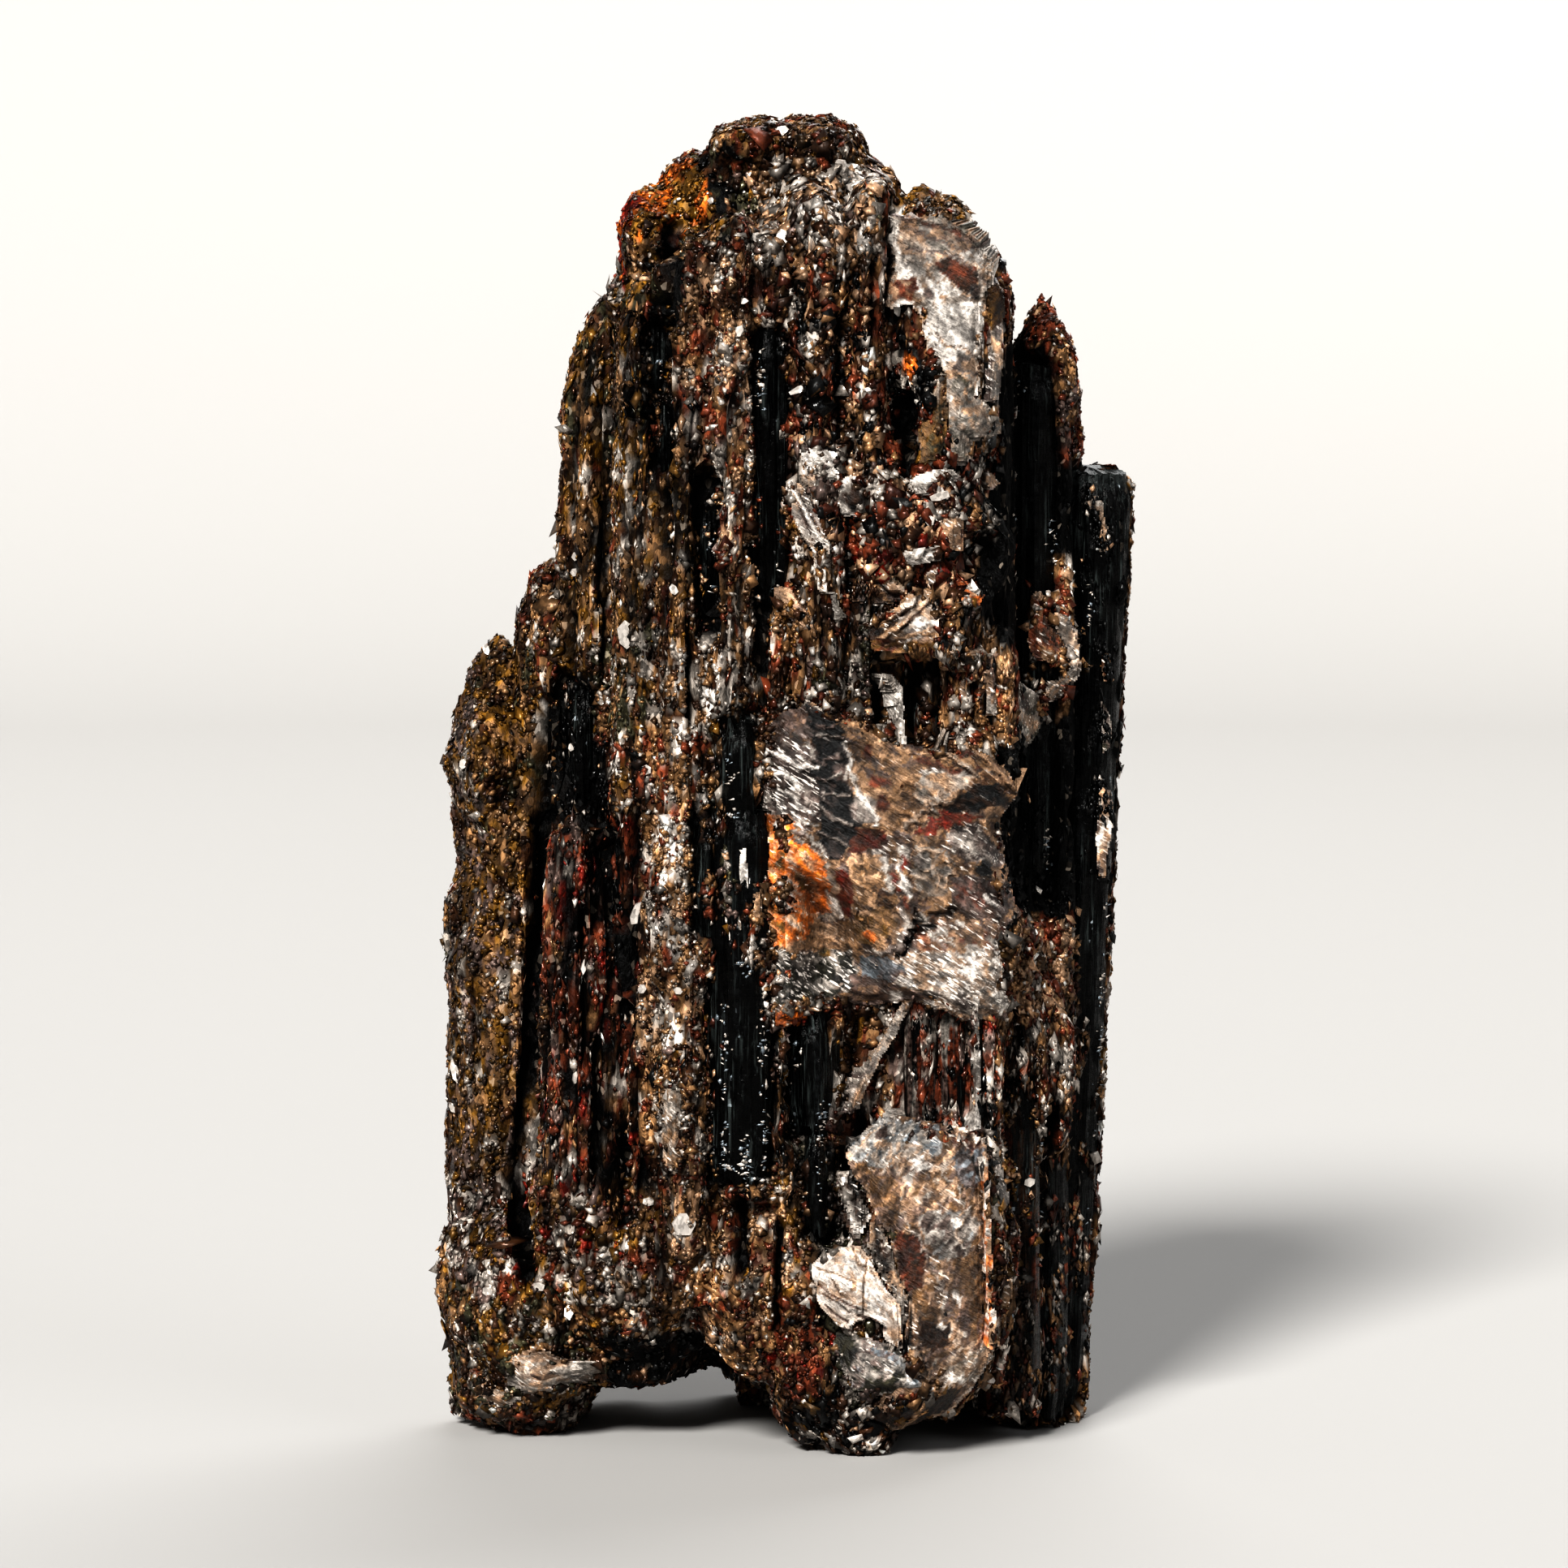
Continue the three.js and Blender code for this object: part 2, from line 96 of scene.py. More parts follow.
class Tone(Enum):
    """The colours of the stone and its mica, as sRGB from 0 to 255."""

    COAL = (4, 4, 4)
    INK = (16, 17, 18)
    UMBER = (54, 34, 20)
    BRONZE = (118, 90, 62)
    SILVER = (152, 144, 136)
    PEARL = (218, 210, 202)
    RUST = (94, 48, 30)
    OCHRE = (98, 70, 26)
    ORANGE = (184, 100, 36)
    RED = (106, 32, 20)
    OLIVE = (60, 57, 42)
    MAUVE = (95, 80, 74)
    TAN = (160, 130, 104)
    STEEL = (116, 124, 130)

    def linear(self) -> Array:
        """Returns the tone as linear RGB from 0 to 1, by the sRGB standard's own curve."""
        share = np.array(self.value) / 255.0
        return np.where(share <= 0.04045, share / 12.92, ((share + 0.055) / 1.055) ** 2.4)


@dataclass(frozen=True)
class Mix:
    """Shares of several tones, written as words such as "rust 3 coal 1"."""

    words: str

    def draw(self, chance: Array) -> Array:
        """Picks a tone for each number.

        Args:
            chance: numbers from 0 to 1.

        Returns:
            One linear RGB row for each number.
        """
        parts = self.words.split()
        tones = np.array([Tone[word.upper()].linear() for word in parts[0::2]])
        shares = np.cumsum([float(word) for word in parts[1::2]])
        picked = np.searchsorted(shares / shares[-1], chance, side="right")
        return tones[np.minimum(picked, len(tones) - 1)]

    def blend(self, chance: Array) -> Array:
        """Runs softly from the first tone at 0 to the last at 1.

        Args:
            chance: numbers from 0 to 1.

        Returns:
            One linear RGB row for each number.
        """
        parts = self.words.split()
        tones = np.array([Tone[word.upper()].linear() for word in parts[0::2]])
        shares = np.array([float(word) for word in parts[1::2]])
        middles = (np.cumsum(shares) - shares / 2) / shares.sum()
        return np.stack([np.interp(chance, middles, tones[:, band]) for band in range(3)], axis=1)


class Noise:
    """Smooth and cellular noise at points in millimetres, the same on every run."""

    # What mixes a cell's three numbers into one: a factor for each, and then shifts and factors in turn.
    MASK = np.uint64(0xFFFFFFFF)
    AXES = tuple(np.uint64(factor) for factor in (0x8DA6B343, 0xD8163841, 0xCB1AB31F))
    STIRS = ((15, 0x2C1B3C6D), (12, 0x297A2D39), (15, 0x85EBCA6B))

    def __init__(self, seed: int) -> None:
        """Keeps the seed."""
        self.seed = seed

    def at_cell(self, cell: Array, channel: int) -> Array:
        """Gives each whole-number cell a number of its own.

        Args:
            cell: rows of three whole numbers.
            channel: which of the cell's numbers is wanted.

        Returns:
            One number from 0 to 1 for each row.
        """
        whole = cell.astype(np.int64).astype(np.uint64)
        mixed = whole[:, 0] * self.AXES[0] ^ whole[:, 1] * self.AXES[1] ^ whole[:, 2] * self.AXES[2]
        mixed ^= np.uint64(self.seed * 7919 + channel * 104729)
        mixed &= self.MASK
        for shift, factor in self.STIRS:
            mixed ^= mixed >> np.uint64(shift)
            mixed = (mixed * np.uint64(factor)) & self.MASK
        return (mixed >> np.uint64(8)).astype(float) / float(1 << 24)

    def smooth(self, points: Array, size: Sequence[float], channel: int) -> Array:
        """Gives a soft random height at each point. Each use has a channel number of its own.

        Args:
            points: rows of x, y and z.
            size: the size of the noise's humps along x, y and z.
            channel: which noise of this seed is wanted.

        Returns:
            One number from -1 to 1 for each point.
        """
        place = points / np.array(size)
        base = np.floor(place)
        part = place - base
        part = part * part * (3 - 2 * part)
        total = np.zeros(len(points))
        for corner in np.ndindex(2, 2, 2):
            weight = np.prod(np.where(np.array(corner) == 1, part, 1 - part), axis=1)
            total += weight * self.at_cell(base + np.array(corner), channel)
        return total * 2 - 1

    def layered(self, points: Array, size: Sequence[float], layers: int, channel: int) -> Array:
        """Adds ever finer and weaker layers of smooth noise.

        Args:
            points: rows of x, y and z.
            size: the size of the first layer's humps along x, y and z.
            layers: how many layers there are.
            channel: the first layer's channel.

        Returns:
            One number from about -1 to 1 for each point.
        """
        total = np.zeros(len(points))
        reach = 0.0
        for layer in range(layers):
            strength = 0.5**layer
            total += strength * self.smooth(points, np.array(size) * strength, channel + layer)
            reach += strength
        return total / reach

    def cells(self, points: Array, size: Sequence[float], channel: int) -> tuple[Array, Array]:
        """Finds the nearest of scattered cell centres, and the border between the cells.

        Args:
            points: rows of x, y and z.
            size: how far apart the centres are along x, y and z.
            channel: which noise of this seed is wanted.

        Returns:
            The cell of each point as three whole numbers, and how much further off the next centre is,
            which is 0 on the border between two cells.
        """
        place = points / np.array(size)
        base = np.floor(place)
        best, second = np.full(len(points), 1e9), np.full(len(points), 1e9)
        owner = base.copy()
        for step in np.ndindex(3, 3, 3):
            cell = base + np.array(step) - 1
            centre = cell + np.stack([self.at_cell(cell, channel + axis) for axis in range(3)], axis=1)
            away = np.linalg.norm(place - centre, axis=1)
            nearer = away < best
            second = np.where(nearer, best, np.minimum(second, away))
            best[nearer] = away[nearer]
            owner[nearer] = cell[nearer]
        return owner, second - best


def eased(value: Array, low: float, high: float) -> Array:
    """Returns 0 below low, 1 above high and a soft step between."""
    share = np.clip((value - low) / (high - low), 0.0, 1.0)
    return share * share * (3 - 2 * share)


def in_outline(x: Array, z: Array, outline: Sequence[tuple[float, float]]) -> Array:
    """Tells which points lie inside a closed outline.

    Args:
        x: the points' x.
        z: the points' z.
        outline: the outline's corners as x and z.

    Returns:
        True or False for each point.
    """
    inside = np.zeros(len(x), bool)
    corners = np.array(outline, float)
    for (x0, z0), (x1, z1) in zip(corners, np.roll(corners, -1, axis=0)):
        if z0 == z1:
            continue
        crosses = (z0 > z) != (z1 > z)
        inside ^= crosses & (x < (x1 - x0) * (z - z0) / (z1 - z0) + x0)
    return inside


@contextmanager
def edit_mode(pick: Pick) -> Iterator[None]:
    """Opens the active object in edit mode, and closes it again.

    Args:
        pick: what is selected in it.

    Yields:
        Nothing, while edit mode is open.
    """
    bpy.ops.object.mode_set(mode="EDIT")
    bpy.ops.mesh.select_mode(type=pick.value)
    yield
    bpy.ops.object.mode_set(mode="OBJECT")


def deselect_all() -> None:
    """Selects nothing, so that the next operator acts on its own object alone."""
    bpy.ops.object.select_all(action="DESELECT")


def make_active(obj: bpy.types.Object) -> None:
    """Selects one object alone and makes it the active one.

    Args:
        obj: the object.
    """
    deselect_all()
    obj.select_set(True)
    bpy.context.view_layer.objects.active = obj


def apply_modifier(obj: bpy.types.Object, kind: str, **settings: object) -> None:
    """Adds a modifier and applies it to the mesh.

    Args:
        obj: the mesh's object.
        kind: the modifier's type.
        settings: its settings by name.
    """
    make_active(obj)
    modifier = obj.modifiers.new(kind.lower(), kind)
    for key, value in settings.items():
        setattr(modifier, key, value)
    bpy.ops.object.modifier_apply(modifier=modifier.name)


def apply_place(obj: bpy.types.Object) -> None:
    """Moves an object's place, turn and scale into its mesh."""
    make_active(obj)
    bpy.ops.object.transform_apply(location=True, rotation=True, scale=True)


def join(parts: Sequence[bpy.types.Object], name: str) -> bpy.types.Object:
    """Joins objects into the first one and names it.

    Args:
        parts: the objects.
        name: the new name of the object and its mesh.

    Returns:
        The joined object.
    """
    deselect_all()
    for part in parts:
        part.select_set(True)
    bpy.context.view_layer.objects.active = parts[0]
    if len(parts) > 1:
        bpy.ops.object.join()
    joined = bpy.context.view_layer.objects.active
    joined.name = name
    joined.data.name = name
    return joined


def read_points(obj: bpy.types.Object) -> Array:
    """Reads where a mesh's points are.

    Args:
        obj: the mesh's object.

    Returns:
        Rows of x, y and z in millimetres.
    """
    flat = np.empty(len(obj.data.vertices) * 3, np.float32)
    obj.data.vertices.foreach_get("co", flat)
    return flat.reshape(-1, 3).astype(float) / MM


def read_normals(obj: bpy.types.Object) -> Array:
    """Reads the normals at a mesh's points.

    Args:
        obj: the mesh's object.

    Returns:
        Rows of x, y and z.
    """
    flat = np.empty(len(obj.data.vertices) * 3, np.float32)
    obj.data.vertices.foreach_get("normal", flat)
    return flat.reshape(-1, 3).astype(float)


def write_points(obj: bpy.types.Object, points: Array) -> None:
    """Moves the mesh's points to these places in millimetres."""
    obj.data.vertices.foreach_set("co", (points * MM).astype(np.float32).ravel())
    obj.data.update()


def write_tint(obj: bpy.types.Object, colours: Array, mark: Array) -> None:
    """Keeps a linear colour for each point of a mesh, and one more number for its finish.

    Args:
        obj: the mesh's object.
        colours: linear RGB rows.
        mark: from 0 to 1, kept as the fourth number. What it changes is up to the finish: how much painted
        shade darkens the body in its gaps and under bare prisms, how glossy flakes and prisms are, or how
        many short bright lines, painted highlights, a sheet has.
    """
    if TINT not in obj.data.attributes:
        obj.data.attributes.new(TINT, "FLOAT_COLOR", "POINT")
    rows = np.concatenate([np.clip(colours, 0, 1), np.clip(mark, 0, 1)[:, None]], axis=1)
    obj.data.attributes[TINT].data.foreach_set("color", rows.astype(np.float32).ravel())


def held_near_box(points: Array, margins: tuple[float, float, float]) -> Array:
    """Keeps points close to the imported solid's box and above the ground.

    Args:
        points: rows of x, y and z.
        margins: how far past the box they may go in x and y, and above it.

    Returns:
        The points, moved where they were further out.
    """
    lowest, highest = (np.array(corner) / MM for corner in CAD_BOUNDS)
    aside, deep, above = margins
    return np.clip(points, lowest + (-aside, -deep, GROUND), highest + (aside, deep, above))


def mesh_object(name: str, points: Array, faces: Array) -> bpy.types.Object:
    """Makes an object from points in millimetres and faces of equal size.

    Args:
        name: the object's name.
        points: rows of x, y and z.
        faces: rows of point numbers.

    Returns:
        The new object, linked to the scene.
    """
    mesh = bpy.data.meshes.new(name)
    count, corners = faces.shape
    mesh.vertices.add(len(points))
    mesh.vertices.foreach_set("co", (points * MM).astype(np.float32).ravel())
    mesh.loops.add(count * corners)
    mesh.loops.foreach_set("vertex_index", faces.astype(np.int32).ravel())
    mesh.polygons.add(count)
    mesh.polygons.foreach_set("loop_start", np.arange(0, count * corners, corners, dtype=np.int32))
    mesh.update(calc_edges=True)
    mesh.validate()
    obj = bpy.data.objects.new(name, mesh)
    bpy.context.scene.collection.objects.link(obj)
    return obj


@dataclass(frozen=True)
class Patch:
    """An area of the front with its own mix of mica.

    x and z give its middle, half_x and half_z its reach. cover is the share of it that flakes hide, size
    the flakes' usual width, and aspect how much taller than wide they are and how clearly ribs show.
    """

    name: str
    x: float
    z: float
    half_x: float
    half_z: float
    mix: Mix
    cover: float
    size: float
    aspect: float


@dataclass(frozen=True)
class Groove:
    """A gap between two ribs of the front, from its upper to its lower end, darkened by painted shade."""

    x0: float
    z0: float
    x1: float
    z1: float
    width: float


def patch(name: str, x: float, z: float, half_x: float, half_z: float, words: str, *look: float) -> Patch:
    """Returns a patch whose mix is given in words and whose look is its cover, size and aspect."""
    return Patch(name, x, z, half_x, half_z, Mix(words), *look)


# What covers the parts of the specimen that no patch names.
BACKGROUND = (
    patch("brown", 0, 0, 0, 0, "umber 3 bronze 4 rust 2 silver 1 ochre 1", 0.9, 0.5, 1.6),
    patch("gold", 0, 0, 0, 0, "bronze 4 silver 2 ochre 2 umber 3 pearl 0.3", 0.95, 0.45, 1.3),
    patch("rusty", 0, 0, 0, 0, "rust 3 umber 3 bronze 2 coal 1 silver 1", 0.85, 0.5, 1.5),
    patch("ribbed", 0, 0, 0, 0, "coal 2 umber 4 rust 1 bronze 2 silver 1", 0.6, 0.45, 2.2),
    patch("grey", 0, 0, 0, 0, "silver 3 mauve 2 olive 2 umber 2 ochre 1", 0.95, 0.5, 1.2),
)

# What covers the front, as each patch's middle, reach, mix, cover, size and aspect. Where two overlap, the
# later one counts.
PATCHES = (
    patch("cap", 0.2, 78.8, 7.4, 2.0, "umber 4 bronze 4 rust 2 ochre 1", 0.95, 0.5, 1.2),
    patch("hollow", -4.3, 75.7, 1.6, 2.4, "coal 4 olive 2 umber 3", 0.4, 0.4, 1.2),
    patch("red_bulge", -9.2, 73.2, 1.8, 2.6, "red 5 rust 2 orange 2", 1.05, 0.35, 1.0),
    patch("orange_bulge", -6.9, 74.9, 2.0, 2.4, "orange 3 ochre 6 umber 1", 1.05, 0.35, 1.0),
    patch(
        "flaky_top", 2.1, 74.1, 3.9, 2.8, "bronze 3 silver 4 umber 2 tan 2 mauve 1 pearl 0.5", 1.0, 0.7, 1.1
    ),
    patch("left_top", -8.0, 70.0, 2.0, 2.6, "ochre 4 umber 3 coal 1 olive 2 bronze 1", 0.85, 0.45, 1.6),
    patch(
        "upper_left_face", -10.7, 62.0, 2.6, 6.6, "ochre 3 umber 4 bronze 2 olive 2 silver 0.5", 0.9, 0.45,
        2.0,
    ),
    patch("pink_flakes", -4.0, 68.2, 2.2, 4.1, "bronze 2 rust 3 tan 3 umber 2 silver 1", 0.95, 0.42, 1.2),
    patch("tan_patch", -3.2, 64.0, 1.4, 2.6, "tan 4 silver 2 rust 2", 1.0, 0.5, 1.3),
    patch(
        "upper_middle", 2.8, 65.7, 3.1, 5.6, "umber 4 bronze 3 rust 3 coal 2 silver 1 tan 1", 0.85, 0.6, 1.3
    ),
    patch("rust_rim", 7.2, 63.6, 1.3, 2.8, "rust 4 orange 0.6 silver 2 coal 3 umber 1", 0.8, 0.6, 1.4),
    patch("white_flakes", 2.3, 59.0, 2.1, 1.9, "silver 4 mauve 2 umber 2 tan 1", 1.0, 0.7, 1.2),
    patch("rust_pit", 7.6, 55.8, 4.6, 3.6, "rust 5 coal 2 silver 2 red 0.2 tan 2 umber 2", 0.8, 0.7, 1.2),
    patch("left_middle", -9.2, 54.3, 4.1, 6.0, "umber 2 ochre 3 bronze 4 rust 1 silver 1", 0.9, 0.42, 2.0),
    patch("middle_column", -2.9, 56.2, 2.2, 7.8, "rust 3 bronze 4 silver 3 tan 3 umber 1", 0.9, 0.42, 1.7),
    patch("grey_patch", -9.7, 46.0, 1.7, 2.6, "olive 3 silver 2 umber 2 bronze 2 ochre 1", 0.9, 0.45, 1.4),
    patch("glitter", -4.6, 46.3, 3.4, 2.7, "silver 3 bronze 3 umber 3 pearl 0.6", 1.0, 0.38, 1.2),
    patch("left_shoulder", -17.1, 41.2, 2.0, 7.3, "ochre 4 umber 3 bronze 3 olive 1", 0.95, 0.45, 1.2),
    patch("left_rim", -19.6, 31.5, 1.1, 17.0, "bronze 3 mauve 3 ochre 3 umber 2 silver 1", 1.0, 0.45, 1.2),
    patch(
        "left_foot_column", -17.4, 24.7, 1.9, 9.2, "ochre 4 umber 1 mauve 2 bronze 4 silver 1", 0.95, 0.42,
        1.2,
    ),
    patch("dark_band", -12.2, 42.4, 1.4, 4.2, "coal 8 umber 1", 0.2, 0.4, 2.4),
    patch("upper_gold", -6.1, 41.2, 1.9, 3.0, "bronze 4 silver 2 rust 2 pearl 0.4 umber 1", 1.0, 0.38, 1.2),
    patch("gold", -6.8, 31.3, 2.2, 7.2, "bronze 4 silver 3 tan 2 umber 2 rust 1 pearl 0.4", 1.0, 0.36, 1.2),
    patch(
        "red_column", -12.6, 26.9, 2.0, 11.4, "red 1.4 umber 3 coal 2 rust 4 mauve 2 silver 1 bronze 1",
        0.8, 0.45, 2.2,
    ),
    patch("dark_strip", -9.7, 31.3, 1.1, 7.2, "coal 4 red 1 rust 3 umber 2", 0.5, 0.4, 2.4),
    patch(
        "lower_ribs", -9.3, 19.4, 1.7, 5.0, "umber 3 rust 3 red 0.5 silver 1 bronze 2 coal 1", 0.8, 0.42,
        2.2,
    ),
    patch("flat_top_column", -6.0, 19.4, 2.1, 4.0, "bronze 4 silver 2 umber 3 rust 1", 1.0, 0.42, 1.6),
    patch(
        "centre_foot", -2.5, 12.0, 4.2, 4.8, "bronze 4 tan 2 silver 2 rust 2 ochre 1 umber 1", 0.95, 0.45,
        1.4,
    ),
    patch("left_foot_grey", -18.8, 12.1, 2.1, 3.0, "silver 3 mauve 3 ochre 1 umber 2", 1.0, 0.55, 1.1),
    patch(
        "left_foot_mixed", -12.4, 11.9, 4.4, 4.2,
        "umber 2 rust 3 red 0.4 silver 2 ochre 2 mauve 1 bronze 2", 0.95, 0.5, 1.2,
    ),
    patch(
        "left_foot_low", -15.3, 5.4, 5.6, 4.0, "olive 2 umber 3 silver 1 ochre 2 bronze 2", 0.95, 0.55, 1.1
    ),
    # Painted shade: a dark coal patch low on the front, where the part behind lies in shade.
    patch("underside", -5.8, 4.6, 4.8, 2.6, "coal 7 umber 3", 0.35, 0.45, 1.2),
    patch(
        "centre_foot_low", -1.3, 6.8, 2.9, 3.0, "bronze 3 umber 2 rust 2 tan 1 silver 1 coal 1", 0.95, 0.45,
        1.2,
    ),
    patch("red_spot", 0.9, 5.5, 1.8, 1.8, "rust 5 red 1.5 bronze 2 umber 4", 1.0, 0.4, 1.2),
    patch("lowest_tip", 3.9, 1.8, 3.2, 1.7, "coal 3 umber 3 silver 2 ochre 1", 0.9, 0.6, 1.2),
    patch("right_patch", 16.6, 29.3, 2.9, 3.4, "rust 3 bronze 4 tan 4 silver 2", 1.3, 0.5, 1.2),
    patch(
        "right_columns", 15.8, 14.3, 3.0, 11.9, "coal 1 umber 2 silver 2.4 rust 3 bronze 4", 1.1, 0.45, 2.2
    ),
    patch("right_recess", 16.8, 50.2, 5.4, 18.4, "coal 1", 0.02, 0.4, 1.9),
    patch("right_crust", 17.3, 64.4, 1.1, 5.2, "rust 5 bronze 3 mauve 2 coal 1", 1.0, 0.45, 1.2),
    patch("right_crest", 14.8, 68.6, 3.0, 2.4, "rust 4 bronze 3 umber 3 coal 1", 1.0, 0.45, 1.2),
    patch("cluster", 15.9, 48.6, 1.7, 4.2, "silver 3 bronze 3 rust 2 tan 1", 1.0, 0.6, 1.2),
    patch("under_slab", 11.3, 58.4, 1.5, 3.6, "silver 3 rust 2 coal 3 bronze 2", 0.9, 0.6, 1.2),
    patch("striped_window", 9.6, 45.6, 4.2, 3.0, "coal 1 rust 3 bronze 4 tan 1 silver 1", 0.85, 0.4, 2.4),
    patch("between_sheets", 5.4, 36.0, 7.6, 9.8, "bronze 3 silver 2 umber 3 rust 2", 1.0, 0.5, 1.2),
    patch("orange_edge", 0.9, 25.9, 1.5, 0.9, "orange 4 red 1 rust 2", 1.0, 0.45, 1.0),
    patch("dark_window", 9.6, 23.2, 3.2, 4.2, "coal 2 rust 3 red 0.4 mauve 3 silver 2", 0.75, 0.4, 2.4),
    patch("beside_book", 14.0, 15.0, 1.5, 5.6, "ochre 2 umber 3 bronze 2 rust 1 silver 1", 0.9, 0.45, 1.2),
)

# Each groove as x and z of its upper end, x and z of its lower end, and its width.
GROOVES = tuple(
    Groove(*row)
    for row in (
        (-7.7, 68.2, -7.8, 62.8, 1.6), (-7.3, 61.9, -7.2, 59.5, 1.1), (-4.6, 58.2, -4.6, 50.0, 1.4),
        (6.4, 74.7, 6.4, 70.7, 0.6), (5.3, 70.7, 5.3, 66.2, 0.7), (-6.6, 72.8, -6.7, 68.4, 1.3),
        (3.4, 67.6, 3.3, 61.8, 0.6), (7.3, 62.9, 7.4, 59.5, 1.1), (-11.0, 56.2, -11.1, 51.2, 0.6),
        (-10.7, 50.7, -10.8, 47.4, 0.5), (-12.8, 49.7, -12.9, 43.6, 0.5), (-11.7, 44.8, -11.8, 38.6, 1.5),
        (-11.0, 38.7, -11.1, 31.7, 0.6), (-14.4, 44.0, -15.2, 26.4, 1.3), (-13.4, 45.9, -13.7, 38.1, 1.0),
        (-1.4, 53.1, -1.4, 45.0, 0.6), (-8.9, 38.7, -8.9, 36.1, 0.7), (-9.4, 31.7, -9.4, 28.4, 0.9),
        (-15.2, 27.4, -15.6, 21.5, 1.2), (-15.7, 22.0, -16.4, 15.0, 0.9), (-16.4, 15.4, -15.6, 10.9, 1.3),
        (-15.2, 23.0, -15.2, 17.4, 0.5), (-11.2, 24.7, -11.3, 16.6, 0.6), (-9.7, 17.9, -9.8, 14.5, 1.2),
        (-8.7, 23.0, -8.7, 19.4, 0.7), (-7.2, 20.3, -7.2, 17.4, 0.5), (-2.6, 15.3, -2.6, 11.9, 1.0),
        (-0.3, 14.0, -0.4, 8.0, 0.6), (2.0, 17.1, 2.0, 13.2, 1.0), (18.1, 53.1, 18.0, 35.7, 0.9),
        (13.1, 41.5, 13.1, 36.1, 1.0), (15.3, 18.1, 15.3, 9.2, 0.6), (16.2, 20.0, 16.2, 14.1, 0.8),
        (16.4, 8.2, 16.4, 2.3, 1.1), (14.6, 7.3, 14.4, 2.8, 0.7), (5.5, 47.8, 5.5, 43.4, 0.6),
        (7.5, 47.7, 7.5, 43.2, 0.5), (8.9, 47.5, 8.9, 43.2, 0.6), (11.2, 47.5, 11.2, 44.4, 0.5),
        (-10.4, 37.6, -10.4, 32.2, 0.5), (-12.1, 32.7, -12.1, 23.9, 0.4), (-3.5, 62.8, -3.5, 59.9, 0.5),
        (-5.6, 49.2, -5.6, 44.4, 0.5), (-3.5, 53.1, -3.5, 45.4, 0.5), (-7.0, 57.9, -7.0, 53.1, 0.5),
        (-9.1, 63.7, -9.1, 57.9, 0.5), (-11.1, 63.7, -11.1, 57.9, 0.5),
    )
)


@dataclass(frozen=True)
class Bare:
    """The space of a prism that stands free of crust."""

    x: float
    y: float
    half_width: float
    half_depth: float
    foot: float
    top: float
    lean: float

    def at(self, points: Array) -> Array:
        """Says which points lie in the space or close before it.

        Args:
            points: rows of x, y and z.

        Returns:
            For each point 1 inside and 0 elsewhere, with a soft step between.
        """
        height = (points[:, 2] - self.foot) / (self.top - self.foot)
        aside = np.abs(points[:, 0] - self.x - self.lean * (height - 0.5)) - self.half_width
        past = np.maximum(points[:, 2] - self.top, self.foot - points[:, 2])
        beside = np.abs(points[:, 1] - self.y) < self.half_depth + 0.8
        return (1 - eased(aside, -0.25, 0.1)) * (1 - eased(past, -0.4, 0.2)) * beside


